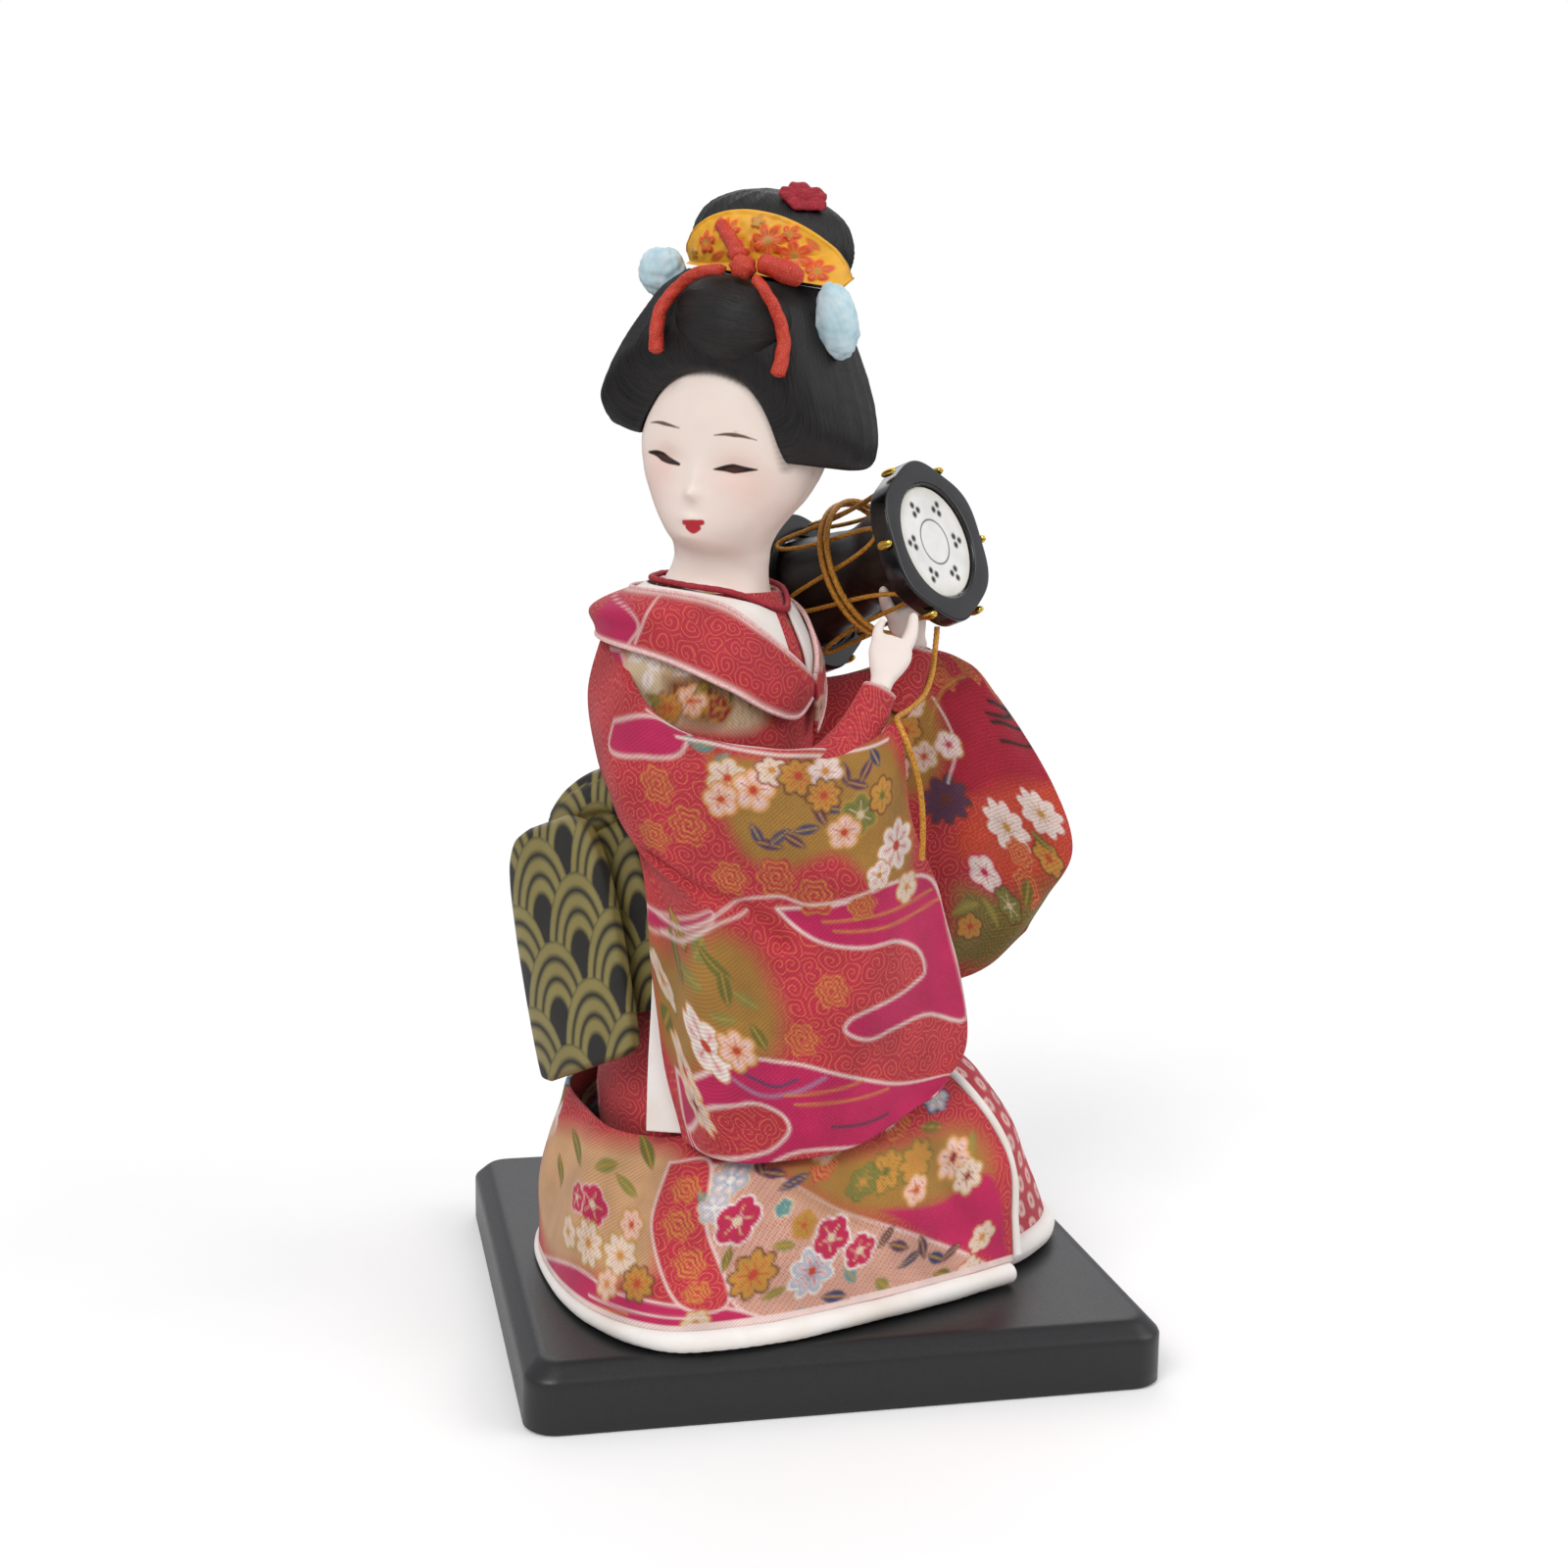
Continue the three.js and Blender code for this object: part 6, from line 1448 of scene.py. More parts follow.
def cushion(outline, middle, thickness, cols=240, rows=190):
    """A stuffed pillow: rounded section rings, their points evenly spaced, from its foot to its top"""
    v = np.linspace(0, 1, rows)
    left_x, left_z, right_x, right_z = np.moveaxis(stations(outline, v)[:, None], -1, 0)
    fine = TAU * (np.arange(4000) + 0.5) / 4000
    run = run_length(np.stack([13 * powered(np.cos(fine), SIDE_POWER), 4 * powered(np.sin(fine), FACE_POWER)], -1))
    angle = np.interp(np.linspace(0, run[-1], cols, endpoint=False), run, fine)
    across = 0.5 + 0.5 * powered(np.cos(angle), SIDE_POWER)
    arch_u, arch_v = (np.sin(np.pi * np.clip(share, 0.002, 0.998)) for share in (across, v))
    half = thickness / 2 - PAD_CROWN + PAD_CROWN * (arch_u[None] * arch_v[:, None]) ** 0.6
    end = np.sqrt(np.clip(1 - (1 - np.clip(np.minimum(v, 1 - v) / 0.05, 0, 1)) ** 2, 0.02, 1))
    depth = powered(np.sin(angle), FACE_POWER)
    rings = np.stack([left_x + (right_x - left_x) * across, middle + depth[None] * half * end[:, None],
                      left_z + (right_z - left_z) * across], -1)
    rings[..., 1] += 0.16 * ripple(rings, 9, 3) * np.abs(depth)[None]
    return rings


def pad_flat(rings):
    """Cloth coordinates: across the front, on round the right side, and up the pillow"""
    return np.stack([rings[..., 0] + rings[..., 1], rings[..., 2]], -1)


def black_piece(name, rings, node, seam=None):
    """A padded piece of the bow, with the woven arcs on it"""
    flat = pad_flat(rings)
    w = Weave(rings, flat, "black", 0.0, "pad")
    wave_scales(w, SCALE_SLOPE)
    if seam is not None:
        w.lay(seam, "thread", 1.0)
    piece = lofted(name, rings, BLACK_BROCADE, "pad", uv=flat, paint=w.ink)
    fit(piece, "doll", "black_brocade", node)
    return piece


def off_the_waist(rings, outset=3.1):
    """Keeps a piece of the bow outside the torso's cloth"""
    local = from_doll(to_doll(rings, "pad"), "torso")
    lean = TORSO_LEAN * local[..., 2]
    x, y = local[..., 0] + lean, local[..., 1]
    skin = torso_point(np.arctan2(y, x), np.clip(local[..., 2], 21, 136), outset)
    least = np.hypot(skin[..., 0] + TORSO_LEAN * skin[..., 2], skin[..., 1])
    grow = np.maximum(least / np.maximum(np.hypot(x, y), 1e-6), 1)
    return from_doll(to_doll(np.stack([x * grow - lean, y * grow, local[..., 2]], -1), "torso"), "pad")


pad = black_piece("belt_bow_pad", cushion(PAD_OUTLINE, 0, PAD_THICKNESS), "obi_pad")
fold_rings = off_the_waist(cushion(FOLD_OUTLINE, FOLD_MIDDLE, FOLD_THICKNESS))
black_piece("belt_bow_fold", fold_rings, "obi_inner_fold")

# %% Knot of the bow
KNOT_LINE = [[-6.5, 6, 22], [0, 8.5, 27], [7, 11, 28.5], [14, 12.5, 24]]
KNOT_PLEATS, KNOT_TWIST, SEAM_SLOPE = 5, 4.5, 2.4
t, angle = np.linspace(0, 1, 120)[:, None], round_turn(72)[None]
rounding = 1 - (2 * np.clip(np.abs(t - 0.5), 0.38, 0.5) - 0.76) ** 2 / 0.0595
width = (4.6 + 1.7 * np.sin(np.pi * t)) * np.sqrt(np.clip(rounding, 0.03, 1))
pleat = 1 - 0.13 * np.maximum(0, np.cos(KNOT_PLEATS * angle + KNOT_TWIST * t)) ** 2
knot_rings = off_the_waist(swept(smooth_line(KNOT_LINE, t[:, 0]), width * pleat, angle))
seam = np.abs((angle * KNOT_PLEATS + KNOT_TWIST * t + math.pi) % TAU - math.pi) - 0.16
knot = black_piece("belt_bow_knot", knot_rings, "obi_knot", seam * SEAM_SLOPE)
print("bow:", [round(x * 1000) for x in pad.dimensions], [round(x * 1000) for x in knot.dimensions])

# %% [markdown]
# ## Head
# The head and neck are one smooth moulding, with the face painted on. A sculpted
# mesh would hide its sizes in thousands of moved points, so it is a stack of
# outlines with small soft swellings for the nose, lips, chin and cheeks. Brows,
# eyes and lips are painted where the picture shows them.

# %% Head shape
HEAD = [
    [0, 10.6, 10.6, 10, 0], [2.5, 9.6, 9.6, 9.4, 0], [5, 9.1, 9.4, 9, 0], [7, 9, 10, 8.8, 0.1],
    [8.2, 8.9, 11.2, 8.8, 0.18], [9.2, 9, 12.8, 8.6, 0.26], [10.5, 9.3, 14, 8.4, 0.38], [13, 10.4, 15, 8.6, 0.5],
    [16, 12.3, 15.2, 9.4, 0.48], [20.5, 15.2, 15.2, 12.2, 0.38], [27, 17.2, 15.2, 15.6, 0.3],
    [34, 16, 15, 15.2, 0.22], [40, 13.4, 13.6, 13, 0.15], [46, 9.2, 10, 9.4, 0], [50, 3.8, 4.4, 4.4, 0],
]
FACE_RELIEF = [
    [0, 20.2, 1.5, 3.6, 0.9], [0, 18.4, 1.6, 1.3, 1.1], [0, 13.8, 2, 1.1, 0.5], [0, 10, 3.4, 1.7, 0.4],
    [-7.3, 24.2, 3.6, 2, -0.7], [7.3, 24.2, 3.6, 2, -0.7], [-8, 17, 3.5, 3.5, 0.3], [8, 17, 3.5, 3.5, 0.3],
]


def head_point(angle, height):
    """Points of the head; angle 0 is the middle of the face"""
    half, front, back, cheek = np.moveaxis(stations(HEAD, height), -1, 0)
    s, c = np.sin(angle), np.cos(angle)
    reach = np.where(c >= 0, front, back)
    x = half * s * (1 + cheek * np.abs(s) * np.maximum(c, 0))
    y = -reach * np.sign(c) * np.abs(c) ** np.where(c > 0, 0.88, 1)
    for across, up, spread_x, spread_z, depth in FACE_RELIEF:
        swell = np.exp(-((x - across) / spread_x) ** 2 - ((height - up) / spread_z) ** 2)
        y = y - depth * swell * (np.cos(angle) > 0)
    return np.stack([x, y, height], -1)


angle = np.linspace(-math.pi, math.pi, 440, endpoint=False)
angle = np.sort(angle - 0.62 * np.sin(angle))
height = np.concatenate([np.linspace(0, 8, 20, endpoint=False), np.linspace(8, 31, 164, endpoint=False),
                         np.linspace(31, 50, 36)])
head_grid = head_point(*np.broadcast_arrays(angle, height[:, None]))
head_flat = head_grid[..., [0, 2]]
print("head points:", head_grid.shape)


# %% Painted face
FACE_DEPTH = 3
BROW, LASHES, IRIS, LIPS = "6b5145", "231512", "4b2a1c", "c22634"
BLUSHES = [((668, 488), 4.6, 0.3), ((770, 500), 5.0, 0.3), ((680, 470), 3.4, 0.35), ((750, 482), 3.8, 0.35)]
HAIRLINE_SHADE = [(652, 446), (659, 424), (672, 397), (694, 380), (714, 377), (737, 380), (762, 392), (778, 411),
                  (789, 432), (796, 456), (801, 478)]
BRUSHED = [
    ([(664, 431), (672, 431), (683, 434), (693, 437)], BROW, (0.2, 0.75, 0.2)),
    ([(729, 444), (742, 443), (757, 445), (772, 449)], BROW, (0.2, 0.8, 0.15)),
    ([(662, 461), (671, 463), (682, 469), (693, 474)], LASHES, (0.4, 1.7, 0.6)),
    ([(729, 479), (742, 478), (756, 479), (772, 479)], LASHES, (0.3, 1.8, 0.3)),
    ([(672, 464), (678, 467), (684, 470)], IRIS, (0.4, 0.9, 0.4)),
    ([(742, 479), (750, 479), (758, 479)], IRIS, (0.4, 1.0, 0.4)),
    ([(698, 533), (703, 534), (711, 534), (716, 533)], LIPS, (1.0, 1.3, 1.0)),
    ([(702, 538), (707, 540), (712, 538)], LIPS, (1.2, 1.6, 1.2)),
]


def brush(w, places, code, widths, soft=0.22):
    """A brush stroke in the picture whose width changes from end to end"""
    points = w.line_at(places, 40)
    halves = np.interp(np.linspace(0, 1, len(points)), [0, 0.5, 1], widths) / 2
    away = np.min([np.linalg.norm(w.flat - point, axis=-1) - half for point, half in zip(points, halves)], 0)
    w.glaze(np.clip(0.5 - away / soft, 0, 1) * (head_grid[..., 1] < FACE_DEPTH), tint(code))


w = Weave(head_grid, head_flat, "white", 0.0, "head")
w.ink[..., :3] = tint("fae8dc")
w.front &= head_grid[..., 1] < 2
for place, spread, amount in BLUSHES:
    away = np.linalg.norm(w.flat - w.at(*place), axis=-1)
    w.glaze(amount * np.exp(-(away / spread) ** 2) * (head_grid[..., 1] < FACE_DEPTH), tint("e9b3a6"))
brush(w, HAIRLINE_SHADE, "8d857f", (0.6, 1.0, 0.6), soft=2.0)
for row in BRUSHED:
    brush(w, *row)
head_piece = lofted("head_moulding", head_grid, SKIN, "head", uv=head_flat, paint=w.ink)
fit(head_piece, "head", "face_shell", "head_shell")

# %% [markdown]
# ### Dressed hair
# The hair is black silk floss, waxed into a bell with flat-cut wings, a roll over
# the forehead and a bun on top. Strand by strand it would be thousands of curves;
# grooves that run along each lock, with finer streaks in the finish, give the
# same look on solid forms.

# %% Hair bell
HAIR_DROP, HAIR_TOP, HAIR_SHIFT, HAIR_SQUARENESS = 27, 58.8, -2, 2.5
HAIR_BELL = [[27, 28.2, 12, 19], [32, 28.4, 15, 20], [38, 26.6, 16.2, 20.5], [44, 23.6, 16.8, 20],
             [50, 20, 16.4, 18.5], [55, 16.8, 14.6, 16], [58.8, 12.5, 11, 13]]
CUT_EDGE, ROLL_RISE = 2.4, 7.0
HAIRLINE = [
    [-180, 27, 0], [-92, 27, 0], [-72, 27, 0.6], [-58, 27.5, 1], [-52, 31.5, 1], [-46, 35.4, 1], [-32, 39, 1],
    [-14, 40.8, 1], [6, 41.1, 1], [25, 39.8, 1], [35, 37, 1], [41, 33.6, 1], [46, 29.5, 1], [52, 27, 1],
    [64, 27, 0.6], [84, 27, 0], [180, 27, 0],
]


def hair_point(angle, height, outset=0.0):
    half, front, back = np.moveaxis(stations(HAIR_BELL, height), -1, 0)
    c, s = np.cos(angle), np.sin(angle)
    reach = np.where(c >= 0, front, back)
    scale = (np.abs(s) ** HAIR_SQUARENESS + np.abs(c) ** HAIR_SQUARENESS) ** (-1 / HAIR_SQUARENESS)
    return np.stack([HAIR_SHIFT + (half + outset) * s * scale, -(reach + outset) * c * scale, height + 0 * c], -1)


def strands(angle, height, seed, count=150):
    """Depth of the grooves between locks, which wander a little along their length"""
    rng = np.random.default_rng(seed)
    wander = 0.05 * np.sin(height / 7 + rng.uniform(0, 6)) + 0.03 * np.sin(height / 3.1)
    fine = np.abs(np.sin((angle + wander) * count / 2))
    locks = np.abs(np.sin((angle + 0.6 * wander) * 13 + 1.3 * np.sin(angle * 3)))
    return 0.2 * fine + 0.45 * locks


angle = np.linspace(-math.pi, math.pi, 440, endpoint=False)
foot, hug = np.moveaxis(stations(HAIRLINE, np.degrees(angle)), -1, 0)
foot = np.maximum(foot, HAIR_DROP)
height = foot[None] + (HAIR_TOP - foot[None]) * np.linspace(0, 1, 108)[:, None] ** 1.3
ring_angle = angle[None] + 0 * height
bell = hair_point(ring_angle, height)
scalp = head_point(ring_angle, np.minimum(height, 49.5))
scalp[..., 2] = height
out = np.stack([np.sin(ring_angle), -np.cos(ring_angle), 0 * height], -1)
rise = np.clip((height - foot) / ROLL_RISE, 0, 1)
close = (np.clip(hug, 0, 1) * (1 - np.sqrt(1 - (1 - rise) ** 2)))[..., None]
bell = bell * (1 - close) + (scalp + 0.9 * out) * close
cut = np.clip((height - foot) / CUT_EDGE, 0, 1)
tuck = CUT_EDGE * (1 - np.sqrt(1 - (1 - cut) ** 2)) * (1 - np.clip(hug, 0, 1))
bell = bell - out * (strands(ring_angle, height, 1) * 0.6 * ease(rise, 0, 0.3) + tuck)[..., None]
within = (1 - 0.97 * ease(height, 49, 57))[..., None]
inner = scalp * [1, 1, 0] * within + scalp * [0, 0, 1] + 0.4 * out * within
hair_flat = np.stack([ring_angle * 22, height], -1)
hair_bell = two_skins("hair_bell", bell, inner, HAIR, "head", wrap=True, uv=hair_flat)
fit(hair_bell, "head", "hair_floss", "hair_wings")

print("hair bell:", [round(x * 1000) for x in hair_bell.dimensions])


def clumped(name, rings, node, seed, groove, lines, count):
    """A lock of hair: grooves run round it from root to tip"""
    angle = round_turn(rings.shape[1])[None]
    level = np.linspace(0, 1, len(rings))[:, None]
    wander = 0.12 * np.sin(level * 5 + seed)
    depth = 0.4 * np.abs(np.sin((angle + wander) * count / 2)) + 0.6 * np.abs(np.sin((angle + wander) * lines / 2))
    away = rings - rings.mean(1, keepdims=True)
    radius = np.linalg.norm(away, axis=-1, keepdims=True)
    rings = rings - away / np.maximum(radius, 1e-6) * np.minimum(groove * depth[..., None], radius * 0.5)
    flat = np.stack([angle * 12 + 0 * level, level * 30 + 0 * angle], -1)
    return fit(lofted(name, rings, HAIR, "head", uv=flat), "head", "hair_floss", node)


# %% Front roll and bun
ROLL = {"x": 0.6, "y": -10.5, "z": 50.4, "width": 12.6, "depth": 8.6, "height": 8.6}
turn = round_turn(150)
across = np.cos(np.linspace(math.pi * 0.985, math.pi * 0.015, 110))[:, None]
r = np.sqrt(1 - across * across)
roll = np.stack([ROLL["x"] + ROLL["width"] * across + 0 * turn,
                 ROLL["y"] + ROLL["depth"] * r * (1 + 0.05 * np.sin(across * 3)) * np.cos(turn),
                 ROLL["z"] + ROLL["height"] * r * np.sin(turn)], -1)
clumped("hair_front_lock", roll, "hair_front_roll", 2, 0.22, 7, 16)

KNOT = [[59.1, 13.6, 10.5], [62.5, 16, 12], [67, 16.3, 12.2], [71.5, 13.8, 10.4], [74.4, 8.5, 6.5], [75.6, 3, 2.5]]
BUN_X, BUN_Y = -2, 5
levels = np.concatenate([np.linspace(58.9, 74, 80), np.linspace(74.2, 75.6, 14)])
half, deep = np.moveaxis(stations(KNOT, levels)[:, None], -1, 0)
bun = oval(round_turn(260), half, deep, levels[:, None]) + [BUN_X, BUN_Y, 0]
clumped("hair_bun", bun, "hair_top_knot", 5, 0.42, 17, 110)

# %% [markdown]
# ### Crown, ties and flowers
# In front of the bun leans a half round of gilt card with raised flowers, painted
# red. The red tie is cord full of glitter and the pale blue tufts are fleece. A
# red flower of crepe lies on top of the bun.

# %% Gilt crown
CROWN_RADIUS, CROWN_RISE, CROWN_BOW, CROWN_LEAN, CROWN_FOOT, CARD = 16.5, 11.5, 6.5, 4.5, 59.5, 1.2
CROWN_GAP, CROWN_SEAT = 0.8, 1.4
BLOOMS = [
    (-9.5, 4.4, 2.3, 5, "flame"), (-4.6, 7.2, 2.4, 7, "flame"), (-2.2, 3.4, 2.6, 6, "flame"),
    (3.4, 6.4, 3.2, 7, "flame"), (8.2, 4.4, 3.2, 6, "flame"), (12.4, 2.4, 2.2, 5, "flame"),
    (-13.2, 2.2, 1.4, 5, "amber"), (0.6, 9.4, 1.5, 5, "amber"), (6.8, 8.2, 1.8, 5, "flame"),
]
SPRIGS = [(-6.8, 2.2, 4, 30), (5.6, 2.4, 4, 150), (-7.6, 8, 3.4, 70), (10.4, 7, 3, -40), (0.6, 5.4, 3, 90)]
u, v = np.linspace(0, 1, 260)[None], np.linspace(0, 1, 110)[:, None]
across = 2 * u - 1
rise = CROWN_RISE * v * np.sqrt(np.maximum(0.04, 1 - across * across))
crown_grid = np.stack([1 + CROWN_RADIUS * across + 0 * v, -9.6 + CROWN_BOW * across * across + CROWN_LEAN * v,
                       CROWN_FOOT + rise], -1)
crown_flat = np.stack([CROWN_RADIUS * across + 0 * v, rise], -1)
bun_half, bun_deep = np.moveaxis(stations(KNOT, crown_grid[..., 2]), -1, 0)
bun_side = np.clip(1 - ((crown_grid[..., 0] - BUN_X) / (bun_half + CROWN_GAP)) ** 2, 0, 1)
crown_grid[..., 1] = np.minimum(crown_grid[..., 1], BUN_Y - (bun_deep + CROWN_GAP) * np.sqrt(bun_side) - CROWN_SEAT)
w = Weave(crown_grid, crown_flat, "gold", 0.0, "head")
w.ink[..., :3] = tint("f0ae22")
relief = np.zeros(crown_flat.shape[:2])
for x, z, size, petals, ink in BLOOMS:
    centre = np.array([x, z])
    w.flower(centre, size, ink, "gold", None, petals, turn=x * 20, slim=0.7)
    away, a = w.polar(centre, x * 20)
    reach = size * (0.7 + 0.3 * np.abs(np.cos(petals / 2 * a)) ** 0.6)
    relief = np.maximum(relief, 0.5 * ease(reach - away, 0, 0.7))
for x, z, length, turn in SPRIGS:
    w.leaf(np.array([x, z]), length, "flame", "amber", turn)
rim = np.clip(1 - CROWN_RISE * (1 - v), 0, 1) + 0 * u
relief = np.maximum(relief, 0.3 * np.clip(rim * 1.4, 0, 1))
crown_grid[..., 1] -= relief + 0.12 * ripple(crown_flat, 2.6, 3)
crown = two_skins("gilt_half_crown", crown_grid, crown_grid + [0, CARD, 0], GILT_CARD, "head", uv=crown_flat,
                  paint=w.ink)
fit(crown, "head", "gilt_card", "gilt_crown")


def hair_front(x, z):
    """How far forward the hair comes at a place across and a height"""
    half, front, _ = stations(HAIR_BELL, np.array([float(z)]))[0]
    side = min(0.98, abs(x - HAIR_SHIFT) / half)
    bell_front = -front * (1 - side ** HAIR_SQUARENESS) ** (1 / HAIR_SQUARENESS)
    inside = 1 - ((x - ROLL["x"]) / ROLL["width"]) ** 2 - ((z - ROLL["z"]) / ROLL["height"]) ** 2
    ball = ROLL["y"] - ROLL["depth"] * math.sqrt(inside) if inside > 0 else 0
    return min(bell_front, ball)


# %% Red tie
TIE_RADIUS = 1.3
TIE_SEAT = GAP + TIE_RADIUS + 0.25


def on_hair(x, z):
    return [x, hair_front(x, z) - TIE_SEAT, z]


TIE_LINES = {
    "tie_tail_left": ([[0.6, -16.2, 59.8], [-4.5, -17, 58.4], on_hair(-9, 55.5), on_hair(-11.2, 51),
                       on_hair(-11, 46.5), on_hair(-10.2, 42.8)], 0.75, 0.35),
    "tie_tail_right": ([[6.6, -16.2, 59.2], [9.6, -16.4, 56.8], on_hair(12, 53), on_hair(13.6, 49),
                        on_hair(14.2, 45.5), on_hair(14.2, 42.4)], 0.75, 0.35),
}
t = np.linspace(0, 1, 150)
for name, (points, start, more) in TIE_LINES.items():
    radius = TIE_RADIUS * (start + more * t) * np.sqrt(np.clip(np.minimum(t, 1 - t) / 0.03, 0.25, 1))
    tail = rope(name + "_cord", smooth_line(points, t), radius, RED_TIE, "head", sides=24, strands=3, pitch=5.5)
    fit(tail, "head", "red_cord", name)

turn, tip = round_turn(48), np.linspace(0.12, math.pi - 0.12, 30)[:, None]
swirl = np.sin(tip) * (1 + 0.07 * np.sin(6 * turn + np.linspace(0, 5, 30)[:, None]))
knot_ball = np.stack([2.6 * swirl * np.cos(turn), -2.0 * np.cos(tip) + 0 * turn, 2.1 * swirl * np.sin(turn)], -1)
fit(lofted("tie_knot", knot_ball + [3.6, -15.4, 60.6], RED_TIE, "head"), "head", "red_cord", "tie_bow")
t = np.linspace(0, 1, 90)
loops = {"tie_loop_left": ([[2.6, -15, 61.8], [-1.8, -11.6, 65], [-6.4, -8.6, 67.8]], 1.5 - 0.3 * t),
         "tie_loop_right": ([[6.2, -15, 61.8], [9.8, -12.8, 61.2], [13.2, -9.8, 59.9]],
                            1.5 + 0.6 * np.sin(np.pi * t))}
for name, (points, radius) in loops.items():
    radius = radius * np.sqrt(np.clip(np.minimum(t, 1 - t) / 0.06, 0.1, 1))
    fit(rope(name, smooth_line(points, t), radius, RED_TIE, "head", sides=24, strands=2, pitch=6), "head", "red_cord")


# %% Blue tufts and red flower
def tuft(name, centre, size, lean, node, seed):
    """A soft fleecy oval with a dented, uneven surface"""
    tip = np.linspace(0.06, math.pi - 0.06, 50)[:, None]
    ball = oval(round_turn(80), np.sin(tip), np.sin(tip), -np.cos(tip))
    grow = 1 + 0.05 * ripple(ball * 5, 4.0, seed) + 0.04 * ripple(ball * 5, 1.6, seed + 1)
    ball = (ball * grow[..., None] * size) @ turn_y(lean).T + centre
    return fit(lofted(name, ball, PALE_BLUE, "head"), "head", "pale_blue", node)


tuft("blue_tuft_left", [-19.3, -5, 57.4], [4.9, 3.2, 4.6], 0, "blue_ornament_left", 1)
tuft("blue_tuft_right", [18.9, -5, 53.6], [4, 2.8, 7], -22, "blue_ornament_right", 5)

FLOWER_RINGS = [(0, 0.55), (0.3, 0.8), (0.7, 1.0), (1.2, 0.97), (1.5, 0.8), (1.5, 0.55), (1.3, 0.38), (1.7, 0.3),
                (2.1, 0.2), (2.2, 0.08)]
angle = round_turn(120)
z, share = np.array(FLOWER_RINGS).T[..., None]
reach = 4.4 * share * (1 + 0.2 * np.abs(np.cos(2.5 * angle)) - 0.1)
petals = oval(angle, reach, reach, z + 0.35 * share * np.sin(5 * angle) ** 2)
petals = petals @ turn_x(26).T @ turn_y(20).T + [5, 1.2, 73.9]
fit(lofted("hair_flower", petals, FLOWER_RED, "head"), "head", "rose_red", "red_flower")

# %% [markdown]
# ## Drum
# The drum is an hourglass bowl between two lacquered hoops, each with six low
# lobes where gilt clips draw the cords over it. Turned and swept forms are exact
# and light, so each part is written as a profile or a path.

# %% Drum hoops, skins and bowl
HOOP_RADIUS, HOOP_WIDTH, HOOP_BORE, HOOP_LOBE, HOOP_ROUND = 16.2, 4.2, 12.2, 0.45, 0.5
DRUM_LENGTH, CLIPS, BOWL_RADIUS, BOWL_WAIST, BOWL_WALL = 32, 6, 11.2, 8.4, 1.8
HOOP_AT = DRUM_LENGTH / 2
turn = round_turn(216)
bend = np.linspace(0, math.pi / 2, 7)
hoop_edge = HOOP_RADIUS + HOOP_LOBE * np.cos(CLIPS * turn)
hoop_bore = np.full(216, HOOP_BORE - HOOP_ROUND)


def hoop_rings(middle):
    """Rings round a hoop's section: over its rim, then back through its bore, with rounded edges"""
    rings = []
    for edge, way in ((hoop_edge, 1), (hoop_bore, -1)):
        for sign, angles in ((way, bend), (-way, bend[::-1])):
            for b in angles:
                radius = edge - way * HOOP_ROUND * (1 - math.sin(b))
                z = sign * (HOOP_WIDTH / 2 - HOOP_ROUND * (1 - math.cos(b)))
                rings.append(oval(turn, radius, radius, middle + z))
    return np.array(rings)


SKIN_THICKNESS, SKIN_RECESS = 0.8, 0.9
SKIN_AT = HOOP_AT + HOOP_WIDTH / 2 - SKIN_RECESS - SKIN_THICKNESS / 2
SKIN_RADIUS = HOOP_BORE - HOOP_ROUND - GAP
radii = np.concatenate([[0.05], np.linspace(0.4, SKIN_RADIUS - 0.3, 90), [SKIN_RADIUS - 0.08, SKIN_RADIUS]])
drop = np.concatenate([np.zeros(91), [0.08, 0.3]])
dish = 0.12 * np.cos(np.pi / 2 * radii / SKIN_RADIUS)
for end, side in (("front", 1), ("back", -1)):
    hoop = looped(f"hoop_{end}", hoop_rings(side * HOOP_AT), LACQUER, "drum")
    fit(hoop, "doll", "black_lacquer", f"drum_{end}_hoop")
    face_z = side * (SKIN_AT + SKIN_THICKNESS / 2 - drop - dish)
    back_z = side * (SKIN_AT - SKIN_THICKNESS / 2 + drop)
    r, z = (np.concatenate(pair)[:, None] for pair in ((radii, radii[::-1]), (face_z, back_z[::-1])))
    rings = oval(round_turn(200), r, r, z)
    w = Weave(rings, rings[..., :2], "white", 0.0, "drum")
    w.ink[..., :3] = tint("f3f1ec")
    away = np.hypot(w.flat[..., 0], w.flat[..., 1])
    w.lay(np.abs(away - SKIN_RADIUS * 0.4) - 0.16, "black", soft=0.3)
    for k in range(6):
        for step in (-1, 0, 1):
            a = TAU * (k + 0.5) / 6 + step * 0.125
            r = SKIN_RADIUS * (0.63 if step else 0.77)
            w.disc(np.array([r * math.cos(a), r * math.sin(a)]), 0.68, "black")
    w.glaze(0.25 * ease(away, SKIN_RADIUS * 0.75, SKIN_RADIUS), w.ink[..., :3] * tint("cdbb95"))
    fit(lofted(f"skin_{end}", rings, DRUM_SKIN, "drum", uv=rings[..., :2], paint=w.ink), "doll", "drum_skin",
        f"drum_{end}_skin")

BOWL_PROFILE = [[0, BOWL_WAIST], [0.25, BOWL_WAIST + 1], [0.5, BOWL_RADIUS - 1.2], [0.8, BOWL_RADIUS - 0.3],
                [1, BOWL_RADIUS]]
share = np.linspace(-1, 1, 90)[:, None]
radius = stations(BOWL_PROFILE, np.abs(share[:, 0])) + 0.25 * np.exp(-(share / 0.06) ** 2)
z = share * (SKIN_AT - SKIN_THICKNESS / 2 - GAP)
outside, inside = (oval(round_turn(96), r, r, z) for r in (radius, radius - BOWL_WALL))
bowl = looped("hourglass_bowl", np.concatenate([outside, inside[::-1]]), BOWL_WOOD, "drum")
fit(bowl, "doll", "black_lacquer", "drum_bowl")

